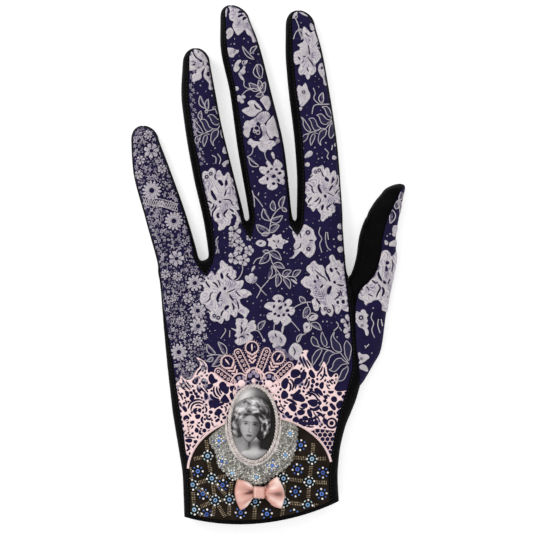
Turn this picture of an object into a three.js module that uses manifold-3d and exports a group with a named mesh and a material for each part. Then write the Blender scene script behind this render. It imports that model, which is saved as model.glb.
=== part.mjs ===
// A dress glove for the left hand, lying on its palm with the back of the hand up.
// Millimetres: +X runs from the little finger to the thumb, +Y from the hem to the fingertips,
// +Z up from the surface that it lies on. The origin is under the middle of its outline.
import * as THREE from 'three';
import { mergeVertices } from 'three/addons/utils/BufferGeometryUtils.js';
import Module from 'manifold-3d';

const wasm = await Module();
wasm.setup();

// Driving sizes
const WALL = 1.2; // cloth and leather thickness
const GAP = 0.3; // between pieces that meet or lie on each other
const FINGER_HEIGHT = 11.5; // a finger lying flattened
const THUMB_HEIGHT = 12;
const PALM_SEAM_HEIGHT = 3.2; // the seam that joins the palm leather to the side strips
const TIP_LENGTH = 10; // the stretch of a fingertip where the wall closes over its end
const TIP_BAND = 1.6; // leather left showing beyond a fingertip of the back
const HEM_WIDTH = 1.8; // the binding round the opening
const BINDING_FOLD = 0.3; // how much thicker than the wall it is
const LACE_THICKNESS = 0.6;
const COLLAR_THICKNESS = 1.2;
const PIPING_RADIUS = 0.6;
const TOP = 40; // above every surface
const FAR = 150; // beyond every outline
// Where a section's corners lie round its middle, in degrees from the thumb's side over the top
const OUTER_ANGLES = [0, 22, 52, 90, 128, 158, 180, 205, 240, 300, 335];
const INNER_ANGLES = [0, 32, 90, 148, 180, 240, 300];
const WIDEST = 0.42; // height of a section's widest line, as a share of its height
const ROUNDNESS = 0.8; // under 1 the upper half is fuller than an ellipse
const FLOOR_ROUNDNESS = 0.6;
const FLATTENING = 1.3; // over 1 the underside lies flat on the surface
const TIP_THICKNESS = 0.28; // of a fingertip's end, as a share of the finger's height
const TIP_STEPS = [76, 52, 26]; // degrees round a fingertip, from its end

// Turns rows of numbers into rows with named columns.
function table(columns, rows) {
  return rows.map((row) => Object.fromEntries(columns.map((name, k) => [name, row[k]])));
}

// Each finger: its tip, and sections from below the tip to inside the hand. left and right are
// the outline seen from above, and seamLeft and seamRight the edges of the back's cloth.
const FINGER_COLUMNS = ['y', 'left', 'seamLeft', 'seamRight', 'right'];
const little = {
  tip: { x: -62.6, y: 69.6 },
  rows: table(FINGER_COLUMNS, [
    [62, -68.7, -67.2, -56.2, -54.5],
    [49, -68.0, -66.5, -51.2, -49.5],
    [22, -61.4, -60.0, -42.8, -40.0],
    [0, -55.4, -54.0, -36.0, -34.0],
  ]),
  root: { y: -16, left: -52.6, right: -31, high: 12.4 },
};
const ring = {
  tip: { x: -36.2, y: 108.5 },
  rows: table(FINGER_COLUMNS, [
    [100, -42.8, -39.6, -30.3, -28.8],
    [86, -43.5, -40.0, -27.8, -26.2],
    [71, -42.0, -38.4, -25.0, -23.4],
    [44, -37.4, -33.4, -18.5, -16.8],
    [20, -32.0, -27.8, -13.2, -11.2],
  ]),
  root: { y: 4, left: -29.6, right: -9.5, high: 12.2 },
};
const middle = {
  tip: { x: -18.6, y: 130.0 },
  rows: table(FINGER_COLUMNS, [
    [122, -23.9, -21.3, -10.5, -9.0],
    [112, -24.0, -21.0, -6.5, -5.0],
    [85, -19.0, -16.0, 0.2, 2.0],
    [58, -15.3, -12.0, 6.4, 8.3],
    [20, -9.0, -6.0, 10.9, 12.6],
  ]),
  root: { y: 4, left: -7.5, right: 15, high: 12.2 },
};
const index = {
  tip: { x: 15.2, y: 127.4 },
  rows: table(FINGER_COLUMNS, [
    [119, 8.8, 12.0, 22.2, 23.7],
    [107, 8.7, 12.2, 25.5, 27.1],
    [94, 9.5, 13.4, 28.0, 29.6],
    [58, 13.5, 17.5, 33.4, 35.0],
    [40, 14.5, 18.4, 35.0, 36.5],
    [20, 14.3, 17.6, 36.0, 37.6],
  ]),
  root: { y: 4, left: 15.5, right: 37.5, high: 12.2 },
};

// The thumb: seam is the edge of its cloth, which wraps round its outer side.
const thumb = {
  tip: { x: 66.4, y: 40.4 },
  rows: table(['y', 'left', 'seam', 'right'], [
    [35.5, 57.0, 65.8, 68.2],
    [31, 53.2, 63.6, 67.2],
    [22, 48.2, 59.6, 65.4],
    [13, 45.4, 57.3, 64.0],
    [4, 44.2, 56.1, 64.2],
    [-5, 41.6, 53.2, 62.9],
    [-15, 37.0, 45.0, 60.8],
    [-24, 34.5, 43.5, 59.3],
    [-43, 33.5, 44.2, 56.6],
    [-51, 34.0, 45.2, 52.4],
    [-63, 35.0, 46.6, 45.4],
  ]),
};

// The hand from the webs between the fingers to below the hem.
const hand = table(['y', 'left', 'seamLeft', 'seamRight', 'right', 'high'], [
  [21.4, -31.6, -30, 36.0, 37.3, 7.5],
  [19, -31.4, -29, 36.2, 37.6, 10.8],
  [13, -30.8, -28, 36.6, 38.1, 12.2],
  [2.4, -29.8, -28, 37.2, 38.9, 12.9],
  [-2, -55.4, -54.0, 37.6, 39.3, 13.1],
  [-10, -54.3, -52.8, 39.0, 41.0, 13.9],
  [-22, -53.2, -51.5, 40.4, 43.2, 14.9],
  [-50, -50.6, -47.6, 42.2, 45.2, 15.6],
  [-60, -49.5, -46.2, 40.3, 46.0, 15.5],
  [-66, -48.8, -45.2, 38.4, 44.8, 15.5],
  [-73, -48.0, -44.2, 36.2, 42.2, 15.5],
  [-82, -46.6, -42.8, 34.2, 38.6, 15.5],
  [-95, -44.4, -41.0, 31.8, 35.8, 15.5],
  [-106, -42.8, -39.5, 30.5, 35.0, 15.5],
  [-134, -41.8, -39.0, 31.4, 37.0, 15.5],
]);
const HAND_SEAM_START = -10; // from here to the hem the back's edges follow the hand's rows

// The bottoms of the V between two fingers, where the back's cloth ends.
const BELOW_V = -12; // under the lowest V
const V_LITTLE_RING = { x: -30.6, y: -5.6 };
const V_RING_MIDDLE = { x: -8.7, y: 12.8 };
const V_MIDDLE_INDEX = { x: 14.7, y: 14.6 };
const THUMB_CROTCH = { x: 40.1, y: -7.6 };

// The hem is a shallow curve, lowest towards the little finger.
const HEM = { bend: 0.00452, slope: 0.131, middle: -128.85 };
const HEM_STEPS = 12;
const HEM_REACH = 56; // past both sides of the opening
const hemY = (x, raise = 0) => HEM.bend * x * x + HEM.slope * x + HEM.middle + raise;

// The cuff's domed panel and what is sewn on it.
const DOME = { x: -4, y: -103.5, halfWidth: 36, rise: 27.5 };
const CAMEO = { x: -7.3, y: -79.5, halfWidth: 11.2, halfLength: 18.4, thickness: 1.4, border: 0.6 };
const ROPE_RADIUS = 0.9;
const ROPE = {
  halfWidth: CAMEO.halfWidth + GAP + ROPE_RADIUS,
  halfLength: CAMEO.halfLength + GAP + ROPE_RADIUS,
};
const COLLAR = { x: -7.5, y: -83, halfWidth: 21.4, halfLength: 27, scallops: 26, scallopDepth: 0.5 };
const HUB = { x: -7.3, y: -66.4 }; // the lace fan's petals point away from here
const BOW = { x: -4.3, y: -113.7, knotWidth: 6.4, knotLength: 6.4, height: 4.6, roundOff: 0.8, crease: 0.8 };

// The relief's rounded forms, from the cameo's middle: shoulders, neck, head and hair
const BUST = table(['x', 'y', 'halfWidth', 'halfLength', 'relief'], [
  [0.3, -14.5, 9.5, 5.5, 1.2],
  [0.3, -7.5, 2.8, 6.0, 1.1],
  [0.2, 1.6, 4.4, 5.8, 1.9],
  [-0.2, 7.2, 7.2, 5.6, 1.7],
]);

const SEWN_FROM = 6; // under the back's seams, where columns that cut sewn pieces start
const LACE_MARGIN = 0.5; // from the lace to the back's edge seams
// Petals: degrees between two and off upright, and distances from the hub
const PETALS = {
  step: 18,
  lean: 1.5,
  middle: 19.6,
  shorter: 0.7,
  halfWidth: 3.1,
  halfLength: 8,
  eye: 3.6,
  eyeHalfWidth: 1.3,
  eyeHalfLength: 2,
  gapAt: 13.6,
  gapHalfWidth: 0.8,
};
const LEAF_HALF_WIDTH = 2.3;
const LACE_LEAVES = table(['tipX', 'tipY', 'footX', 'footY'], [
  [-43.3, -54.5, -38.0, -64.0],
  [-35.3, -47.2, -31.5, -58.5],
  [20.5, -43.6, 16.5, -56.0],
  [28.7, -50.1, 23.5, -60.0],
  [34.5, -55.5, 31.0, -65.0],
]);
// The lace's ground, from the left seam over the petals' feet to the right seam and down
const LACE_GROUND = table(['x', 'y'], [
  [-50, -62], [-40, -59.5], [-28, -57], [-18, -54], [-7, -51], [6, -54], [18, -55], [28, -59], [48, -66],
  [48, -104], [-50, -104],
]);
// The net's grid of holes, and its edges along the seams, the cameo and the dome
const NET = { left: -46.4, top: -64, rows: 7, columns: 16, pitch: 5.6, hole: 1.75, edge: 2.5, border: 4 };
const PIPING_STEPS = 12;
// In degrees round the dome, from its right foot
const PIPING_ENDS = { leftFoot: 172, leftRope: 119, rightRope: 72, rightFoot: 10 };
// A bow loop's sections from the knot outwards: its edges in Y from the knot's middle
const BOW_SECTIONS = table(['out', 'high', 'low', 'thick'], [
  [0, 2.6, -2.6, 2.0],
  [3.5, 4.0, -4.4, 3.0],
  [6.5, 6.2, -6.8, 3.8],
  [8.6, 6.6, -7.6, 4.0],
  [9.4, 4.0, -4.4, 3.2],
]);

const lerp = THREE.MathUtils.lerp;
const radians = THREE.MathUtils.degToRad;

// A finger's or thumb's sections, with rounded ones added up to its tip.
function digitSections(digit, high) {
  const first = digit.rows[0];
  const middleX = (first.left + first.right) / 2;
  const half = (first.right - first.left) / 2;
  const rounded = TIP_STEPS.map((degrees) => {
    const rise = Math.sin(radians(degrees));
    const shrink = Math.cos(radians(degrees));
    const x = lerp(middleX, digit.tip.x, rise ** 1.5);
    return {
      y: lerp(first.y, digit.tip.y, rise),
      left: x - half * shrink,
      right: x + half * shrink,
      high: high * lerp(TIP_THICKNESS, 1, shrink),
    };
  });
  const sections = [...rounded, ...digit.rows.map((row) => ({ high, ...row }))];
  return digit.root ? [...sections, { high, ...digit.root }] : sections;
}

// A hand column's value at a height of the plan.
function handAt(name, y) {
  const k = Math.min(hand.length - 2, Math.max(0, hand.findIndex((row) => row.y <= y) - 1));
  return lerp(hand[k][name], hand[k + 1][name], (y - hand[k].y) / (hand[k + 1].y - hand[k].y));
}

// A closed skin over rings of points, each ring turning the same way, with flat ends.
function skin(rings) {
  const sides = rings[0].length;
  const triangles = [];
  for (let row = 0; row < rings.length - 1; row += 1) {
    for (let k = 0; k < sides; k += 1) {
      const here = row * sides + k;
      const beside = row * sides + (k + 1) % sides;
      triangles.push(here, beside, here + sides, beside, beside + sides, here + sides);
    }
  }
  const last = (rings.length - 1) * sides;
  for (let k = 1; k < sides - 1; k += 1) {
    triangles.push(0, k + 1, k);
    triangles.push(last, last + k, last + k + 1);
  }
  const geometry = new THREE.BufferGeometry();
  geometry.setAttribute('position', new THREE.Float32BufferAttribute(rings.flat(2), 3));
  geometry.setIndex(triangles);
  return toSolid(geometry);
}

// A tube through sections that lie across Y, made smaller by inset all round.
function loft(sections, inset) {
  const topY = sections[0].y;
  const angles = inset > 0 ? INNER_ANGLES : OUTER_ANGLES;
  return skin(sections.map(({ y, left, right, high }) => {
    const middleX = (left + right) / 2;
    const half = (right - left) / 2 - inset;
    const floor = Math.max(inset, 0);
    const roof = high - inset;
    const widest = lerp(floor, roof, WIDEST);
    const drawnBack = Math.max(0, 1 - (topY - y) / TIP_LENGTH) * inset;
    return angles.map((degrees) => {
      const across = Math.cos(radians(degrees));
      const up = Math.sin(radians(degrees));
      const power = up < 0 ? FLOOR_ROUNDNESS : ROUNDNESS;
      const x = middleX + half * Math.sign(across) * Math.abs(across) ** power;
      const lift = Math.abs(up) ** ROUNDNESS;
      const z = up < 0
        ? widest - (widest - floor) * Math.min(1, FLATTENING * lift)
        : widest + (roof - widest) * lift;
      return [x, y - drawnBack, z];
    });
  }));
}

// The height of the back of the hand over a point of the plan.
function handTop(x, y) {
  const [left, right, high] = ['left', 'right', 'high'].map((name) => handAt(name, y));
  const off = Math.abs(x - (left + right) / 2) / ((right - left) / 2);
  const across = Math.min(1, off) ** (1 / ROUNDNESS);
  return high * lerp(WIDEST, 1, Math.sqrt(1 - across * across) ** ROUNDNESS);
}

function toSolid(geometry) {
  const bare = geometry.clone();
  bare.deleteAttribute('normal');
  bare.deleteAttribute('uv');
  const merged = mergeVertices(bare);
  return new wasm.Manifold(new wasm.Mesh({
    numProp: 3,
    vertProperties: merged.attributes.position.array,
    triVerts: merged.index.array,
  }));
}

function toGeometry(solid) {
  const { vertProperties, triVerts } = solid.getMesh();
  const geometry = new THREE.BufferGeometry();
  geometry.setAttribute('position', new THREE.BufferAttribute(vertProperties, 3));
  geometry.setIndex(new THREE.BufferAttribute(triVerts, 1));
  geometry.computeVertexNormals();
  return geometry;
}

const join = (solids) => solids.reduce((sum, solid) => sum.add(solid));

// The largest connected body of a cut, without the slivers beside it.
function largest(solid) {
  return solid.decompose().reduce((best, body) => (body.volume() > best.volume() ? body : best));
}

// An upright column over an outline of {x, y} points.
function column(outline, low = -1, high = TOP) {
  const shape = new THREE.Shape(outline.map((p) => new THREE.Vector2(p.x, p.y)));
  const geometry = new THREE.ExtrudeGeometry(shape, { depth: high - low, bevelEnabled: false });
  return toSolid(geometry.translate(0, 0, low));
}

// An outline moved outwards by a distance, or inwards by a negative one.
function grown(outline, distance) {
  const area = THREE.ShapeUtils.area(outline.map((p) => new THREE.Vector2(p.x, p.y)));
  const side = Math.sign(area) * distance;
  return outline.map((p, k) => {
    const before = outline[(k + outline.length - 1) % outline.length];
    const after = outline[(k + 1) % outline.length];
    const a = new THREE.Vector2(p.x - before.x, p.y - before.y).normalize();
    const b = new THREE.Vector2(after.x - p.x, after.y - p.y).normalize();
    const normal = new THREE.Vector2(a.y + b.y, -a.x - b.x).normalize();
    const reach = side / Math.max(0.45, normal.x * a.y - normal.y * a.x);
    return { x: p.x + normal.x * reach, y: p.y + normal.y * reach };
  });
}

function ellipse(centre, halfWidth, halfLength, steps, bulge = () => 0) {
  return Array.from({ length: steps }, (_, k) => {
    const turn = (k / steps) * 2 * Math.PI;
    return {
      x: centre.x + (halfWidth + bulge(turn)) * Math.cos(turn),
      y: centre.y + (halfLength + bulge(turn)) * Math.sin(turn),
    };
  });
}

// The whole glove as a filled form, smaller or larger than its outer face by inset.
function gloveForm(inset) {
  const fingers = [little, ring, middle, index].map((digit) => digitSections(digit, FINGER_HEIGHT));
  const forms = [hand, ...fingers, digitSections(thumb, THUMB_HEIGHT)];
  return join(forms.map((sections) => loft(sections, inset)));
}

// The back's cloth goes up one side of each finger, round its tip and down the other side.
function backFinger(digit) {
  const first = digit.rows[0];
  const middleX = (first.seamLeft + first.seamRight) / 2;
  const half = (first.seamRight - first.seamLeft) / 2;
  const rise = digit.tip.y - TIP_BAND - first.y;
  const tip = [150, 120, 90, 60, 30].map((degrees) => ({
    x: lerp(middleX, digit.tip.x, Math.sin(radians(degrees)) ** 1.5) + half * Math.cos(radians(degrees)),
    y: first.y + rise * Math.sin(radians(degrees)),
  }));
  const up = digit.rows.map(({ y, seamLeft }) => ({ x: seamLeft, y })).reverse();
  const down = digit.rows.map(({ y, seamRight }) => ({ x: seamRight, y }));
  return [...up, ...tip, ...down];
}

const handBelow = hand.filter((row) => row.y <= HAND_SEAM_START);
const backOutline = [
  ...handBelow.map(({ y, seamLeft }) => ({ x: seamLeft, y })).reverse(),
  ...backFinger(little),
  V_LITTLE_RING,
  ...backFinger(ring),
  V_RING_MIDDLE,
  ...backFinger(middle),
  V_MIDDLE_INDEX,
  ...backFinger(index),
  ...handBelow.map(({ y, seamRight }) => ({ x: seamRight, y })),
];

// Everything to the thumb's side of the crotch, split from the hand between index and thumb.
const thumbSeam = thumb.rows.map(({ y, seam }) => ({ x: seam, y }));
const thumbBase = thumbSeam.filter((p) => p.y < -20);
const OUTSIDE_THUMB = [{ x: 76, y: -64 }, { x: 76, y: 52 }];
const thumbRegion = [
  { x: 50, y: 52 }, { x: 45, y: 26 }, { x: 42.4, y: 10 }, { x: 41, y: -2 },
  THUMB_CROTCH,
  { x: 43.2, y: -17 },
  ...thumbBase,
  ...OUTSIDE_THUMB,
];
const thumbCloth = [{ x: 67.6, y: 38 }, ...thumbSeam, ...OUTSIDE_THUMB];

// The plan area of the sides between two fingers' middle lines.
function betweenFingers(from, to) {
  const edge = (digit) => {
    const root = digit.rows.at(-1);
    const foot = { x: (root.left + root.right) / 2, y: root.y };
    return [foot, digit.tip, { x: digit.tip.x, y: digit.tip.y + 10 }];
  };
  const base = [to, from].map((digit) => ({ x: edge(digit)[0].x, y: BELOW_V }));
  return [...edge(from), ...edge(to).reverse(), ...base];
}

const outer = gloveForm(0);
const hollow = gloveForm(WALL);
const hemStrip = (raise) => {
  const across = Array.from({ length: HEM_STEPS + 1 }, (_, k) => lerp(-HEM_REACH, HEM_REACH, k / HEM_STEPS));
  const below = [{ x: HEM_REACH, y: -FAR }, { x: -HEM_REACH, y: -FAR }];
  return [...across.map((x) => ({ x, y: hemY(x, raise) })), ...below];
};
const belowBinding = column(hemStrip(HEM_WIDTH + GAP));
const belowHem = column(hemStrip(0));
const shell = outer.subtract(hollow).subtract(belowBinding);
const plan = [{ x: -FAR, y: -FAR }, { x: FAR, y: -FAR }, { x: FAR, y: FAR }, { x: -FAR, y: FAR }];
const upperShell = shell.intersect(column(plan, PALM_SEAM_HEIGHT + GAP / 2));
const lowerShell = shell.intersect(column(plan, -1, PALM_SEAM_HEIGHT - GAP / 2));

// The back and the cuff's panel under it
const back = upperShell.intersect(column(grown(backOutline, -GAP / 2)));
const domeOutline = [
  ...ellipse(DOME, DOME.halfWidth, DOME.rise, 48).slice(0, 25),
  { x: DOME.x - DOME.halfWidth, y: -FAR },
  { x: DOME.x + DOME.halfWidth, y: -FAR },
];
const backPanel = largest(back.subtract(column(grown(domeOutline, GAP / 2))));
const cuffPanel = largest(back.intersect(column(grown(domeOutline, -GAP / 2))));

// The leather sides
const backOpening = column(grown(backOutline, GAP / 2));
const thumbSide = column(grown(thumbRegion, GAP / 2));
const sides = upperShell.subtract(backOpening).subtract(thumbSide);
const betweens = [[little, ring], [ring, middle], [middle, index]].map((pair) => betweenFingers(...pair));
const forks = betweens.map((outline) => largest(sides.intersect(column(grown(outline, -GAP / 2)))));
const rest = betweens.reduce((left, outline) => left.subtract(column(grown(outline, GAP / 2))), sides);
const [sideA, sideB] = rest.decompose().sort((a, b) => b.volume() - a.volume());
const [outerSide, thumbStrip] = sideA.boundingBox().min[0] < sideB.boundingBox().min[0]
  ? [sideA, sideB]
  : [sideB, sideA];

// The thumb
const thumbShell = upperShell.subtract(backOpening).intersect(column(grown(thumbRegion, -GAP / 2)));
const thumbBack = largest(thumbShell.intersect(column(grown(thumbCloth, -GAP / 2))));
const thumbInner = largest(thumbShell.subtract(column(grown(thumbCloth, GAP / 2))));
const thumbPalm = largest(lowerShell.intersect(column(grown(thumbRegion, -GAP / 2))));
const palm = largest(lowerShell.subtract(thumbSide));

// The binding round the opening
const binding = outer.subtract(gloveForm(WALL + BINDING_FOLD))
  .intersect(column(hemStrip(HEM_WIDTH)))
  .subtract(belowHem);

// What is sewn on lies over the back like a second skin, from low to high above it.
function applied(outline, low, high) {
  const slab = loft(hand, -high).subtract(loft(hand, -low));
  return slab.intersect(outline);
}

const awayFromHub = (degrees, distance) => ({
  x: HUB.x + distance * Math.sin(radians(degrees)),
  y: HUB.y + distance * Math.cos(radians(degrees)),
});

// An oval with its length along a direction, given in degrees from +Y towards +X.
function turnedOval(centre, halfWidth, halfLength, degrees, steps = 10) {
  const turn = radians(-degrees);
  return ellipse({ x: 0, y: 0 }, halfWidth, halfLength, steps).map(({ x, y }) => ({
    x: centre.x + x * Math.cos(turn) - y * Math.sin(turn),
    y: centre.y + x * Math.sin(turn) + y * Math.cos(turn),
  }));
}

// The pink lace: a fan of seven petals over the cameo, leaves beside it and net below.
const petalAngles = [-3, -2, -1, 0, 1, 2, 3].map((k) => k * PETALS.step - PETALS.lean);
const petals = petalAngles.map((degrees, k) => turnedOval(
  awayFromHub(degrees, PETALS.middle - Math.abs(k - 3) * PETALS.shorter),
  PETALS.halfWidth,
  PETALS.halfLength,
  degrees,
));
const leaves = LACE_LEAVES.map(({ tipX, tipY, footX, footY }) => {
  const centre = { x: (tipX + footX) / 2, y: (tipY + footY) / 2 };
  const reach = Math.hypot(tipX - footX, tipY - footY) / 2;
  const degrees = THREE.MathUtils.radToDeg(Math.atan2(tipX - footX, tipY - footY));
  return turnedOval(centre, LEAF_HALF_WIDTH, reach, degrees, 8);
});
const laceCloth = join([LACE_GROUND, ...petals, ...leaves].map((outline) => column(outline, SEWN_FROM)));

// Its pierced gaps: an eye in each petal, one between each two, and the open net at both sides.
const eyes = petals.map((_, k) => turnedOval(
  awayFromHub(petalAngles[k], PETALS.middle + PETALS.eye - Math.abs(k - 3) * PETALS.shorter),
  PETALS.eyeHalfWidth, PETALS.eyeHalfLength, petalAngles[k], 6,
));
const between = petalAngles.slice(1).map((degrees) => turnedOval(
  awayFromHub(degrees - PETALS.step / 2, PETALS.gapAt),
  PETALS.gapHalfWidth, PETALS.eyeHalfLength, degrees - PETALS.step / 2, 6,
));
const net = [];
for (let row = 0; row < NET.rows; row += 1) {
  for (let k = 0; k < NET.columns; k += 1) {
    const x = NET.left + (k + (row % 2) / 2) * NET.pitch;
    const y = NET.top - row * NET.pitch * Math.sin(radians(60));
    const offCameo = Math.hypot(
      (x - CAMEO.x) / (ROPE.halfWidth + NET.border + 2),
      (y - CAMEO.y) / (ROPE.halfLength + NET.border),
    );
    const offDome = Math.hypot(
      (x - DOME.x) / (DOME.halfWidth + NET.border),
      (y - DOME.y) / (DOME.rise + NET.border),
    );
    const inSeams = x > handAt('seamLeft', y) + NET.edge && x < handAt('seamRight', y) - NET.edge;
    if (offCameo > 1 && offDome > 1 && inSeams) {
      net.push(turnedOval({ x, y }, NET.hole, NET.hole, 30, 6));
    }
  }
}
const laceGaps = join([...eyes, ...between, ...net].map((outline) => column(outline, SEWN_FROM)));
const ropeOutline = grown(ellipse(CAMEO, ROPE.halfWidth, ROPE.halfLength, 36), ROPE_RADIUS + GAP);
const laceOutline = laceCloth
  .subtract(laceGaps)
  .subtract(column(ropeOutline, SEWN_FROM - 1))
  .subtract(column(grown(domeOutline, PIPING_RADIUS + GAP), SEWN_FROM - 1))
  .intersect(column(grown(backOutline, -LACE_MARGIN), SEWN_FROM - 1));
const lace = largest(applied(laceOutline, GAP, GAP + LACE_THICKNESS));

// The piping over the dome's seam, in two lengths that end at the cameo's rope
function piping(fromDegrees, toDegrees) {
  const route = Array.from({ length: PIPING_STEPS + 1 }, (_, k) => {
    const turn = radians(lerp(fromDegrees, toDegrees, k / PIPING_STEPS));
    const x = DOME.x + DOME.halfWidth * Math.cos(turn);
    const y = DOME.y + DOME.rise * Math.sin(turn);
    return new THREE.Vector3(x, y, handTop(x, y) + GAP + PIPING_RADIUS);
  });
  const section = new THREE.Shape(ellipse({ x: 0, y: 0 }, PIPING_RADIUS, PIPING_RADIUS, 6)
    .map((p) => new THREE.Vector2(p.x, p.y)));
  const path = new THREE.CatmullRomCurve3(route);
  return toSolid(new THREE.ExtrudeGeometry(section, { steps: PIPING_STEPS, extrudePath: path }));
}

// The rope that frames the cameo: a ring whose middle line is an oval
function ropeRing() {
  const geometry = new THREE.TorusGeometry(ROPE.halfLength, ROPE_RADIUS, 6, 30);
  const place = geometry.attributes.position;
  for (let k = 0; k < place.count; k += 1) {
    const turn = Math.atan2(place.getY(k), place.getX(k));
    const off = Math.hypot(place.getX(k), place.getY(k)) - ROPE.halfLength;
    const normal = new THREE.Vector2(Math.cos(turn) * ROPE.halfLength, Math.sin(turn) * ROPE.halfWidth)
      .normalize();
    const x = CAMEO.x + ROPE.halfWidth * Math.cos(turn) + normal.x * off;
    const y = CAMEO.y + ROPE.halfLength * Math.sin(turn) + normal.y * off;
    place.setXYZ(k, x, y, cameoBase + ROPE_RADIUS + place.getZ(k));
  }
  return toSolid(geometry);
}

// The cameo: an oval plate with a low bust in relief
function cameoSolid() {
  const rim = ellipse(CAMEO, CAMEO.halfWidth, CAMEO.halfLength, 24);
  const plate = column(rim, cameoBase, cameoBase + CAMEO.thickness);
  const forms = BUST.map(({ x, y, halfWidth, halfLength, relief }) => {
    const ball = new THREE.SphereGeometry(1, 10, 6);
    ball.scale(halfWidth, halfLength, relief);
    return toSolid(ball.translate(CAMEO.x + x, CAMEO.y + y, cameoBase + CAMEO.thickness));
  });
  const clip = column(grown(rim, -CAMEO.border), cameoBase + CAMEO.thickness / 2);
  return plate.add(join(forms).intersect(clip));
}

// It lies on the highest point of the back under it, which is at its upper end
const cameoBase = handTop(CAMEO.x, CAMEO.y + CAMEO.halfLength + 2 * ROPE_RADIUS) + GAP;

// The beaded collar: a crescent round the lower part of the cameo, inside the dome
const collarEdge = ellipse(COLLAR, COLLAR.halfWidth, COLLAR.halfLength, COLLAR.scallops * 3,
  (turn) => COLLAR.scallopDepth * Math.cos(turn * COLLAR.scallops));
const collarOutline = column(collarEdge, SEWN_FROM)
  .subtract(column(ropeOutline, SEWN_FROM - 1))
  .intersect(column(grown(domeOutline, -PIPING_RADIUS - GAP), SEWN_FROM - 1));
const collar = largest(applied(collarOutline, GAP, GAP + COLLAR_THICKNESS));

// The bow: two flared loops gathered into a knot, lying on the collar's lower edge
const bowBase = handTop(BOW.x, BOW.y) + GAP + COLLAR_THICKNESS + GAP;
function bowLoop(side) {
  const rings = BOW_SECTIONS.map(({ out, high, low, thick }) => {
    const x = BOW.x + side * (BOW.knotWidth / 2 + GAP + out);
    const middleY = BOW.y + (high + low) / 2;
    const half = (high - low) / 2;
    return [0, 40, 90, 140, 180, 220, 270, 320].map((degrees) => {
      const along = Math.cos(radians(degrees));
      const up = Math.sin(radians(degrees));
      const crease = degrees === 90 ? BOW.crease : 1;
      return [x, middleY + half * along, bowBase + thick / 2 + (thick / 2) * up * crease];
    });
  });
  return skin(side > 0 ? rings : rings.map((ring) => [...ring].reverse()));
}
const knotOutline = [[-1, -0.8], [-0.8, -1], [0.8, -1], [1, -0.8], [1, 0.8], [0.8, 1], [-0.8, 1], [-1, 0.8]]
  .map(([x, y]) => ({ x: BOW.x + (x * BOW.knotWidth) / 2, y: BOW.y + (y * BOW.knotLength) / 2 }));
const knotTop = bowBase + BOW.height;
const knot = column(knotOutline, bowBase, knotTop - BOW.roundOff)
  .add(column(grown(knotOutline, -BOW.roundOff), knotTop - 2 * BOW.roundOff, knotTop));

const COLOURS = {
  leather: { color: 0x0d0d0f, roughness: 0.5 },
  navyCloth: { color: 0x2a2452, roughness: 0.9 },
  cuffCloth: { color: 0x2d251e, roughness: 0.85 },
  pinkLace: { color: 0xf3d0cc, roughness: 0.85 },
  satin: { color: 0xe2b3a6, roughness: 0.4 },
  pearl: { color: 0xe8e0d8, roughness: 0.3 },
  silver: { color: 0xb3b2ac, roughness: 0.4 },
  print: { color: 0x77767a, roughness: 0.5 },
};

const glove = new THREE.Group();
function addPiece(name, solid, finish) {
  const mesh = new THREE.Mesh(toGeometry(solid), new THREE.MeshStandardMaterial(COLOURS[finish]));
  mesh.name = name;
  glove.add(mesh);
}

addPiece('back_panel', backPanel, 'navyCloth');
addPiece('cuff_panel', cuffPanel, 'cuffCloth');
addPiece('palm_panel', palm, 'leather');
addPiece('outer_side', outerSide, 'leather');
addPiece('fork_little_ring', forks[0], 'leather');
addPiece('fork_ring_middle', forks[1], 'leather');
addPiece('fork_middle_index', forks[2], 'leather');
addPiece('thumb_side_strip', thumbStrip, 'leather');
addPiece('thumb_back', thumbBack, 'navyCloth');
addPiece('thumb_inner', thumbInner, 'leather');
addPiece('thumb_palm', thumbPalm, 'leather');
addPiece('hem_binding', largest(binding), 'leather');
addPiece('lace_fan', lace, 'pinkLace');
addPiece('piping_left', piping(PIPING_ENDS.leftFoot, PIPING_ENDS.leftRope), 'pinkLace');
addPiece('piping_right', piping(PIPING_ENDS.rightRope, PIPING_ENDS.rightFoot), 'pinkLace');
addPiece('cameo', cameoSolid(), 'print');
addPiece('rope_frame', ropeRing(), 'pearl');
addPiece('beaded_collar', collar, 'silver');
addPiece('bow_left', bowLoop(-1), 'satin');
addPiece('bow_right', bowLoop(1), 'satin');
addPiece('bow_knot', knot, 'satin');

export default glove;
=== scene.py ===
# %% [markdown]
# # A dress glove of leather and lace
#
# This lesson builds one empty dress glove, lying on its palm. Its back is navy cloth under ivory
# floral lace, its sides and palm are black leather, and its cuff carries a pink lace fan, an oval
# cameo, a beaded collar and a satin bow. The CAD model gives the frame: every piece here lies
# where its solid lies, in the same coordinates, in metres. Sizes are written in millimetres.

import math
import random

import bpy
import numpy as np
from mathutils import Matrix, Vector
from mathutils.bvhtree import BVHTree
from mathutils.geometry import delaunay_2d_cdt


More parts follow.
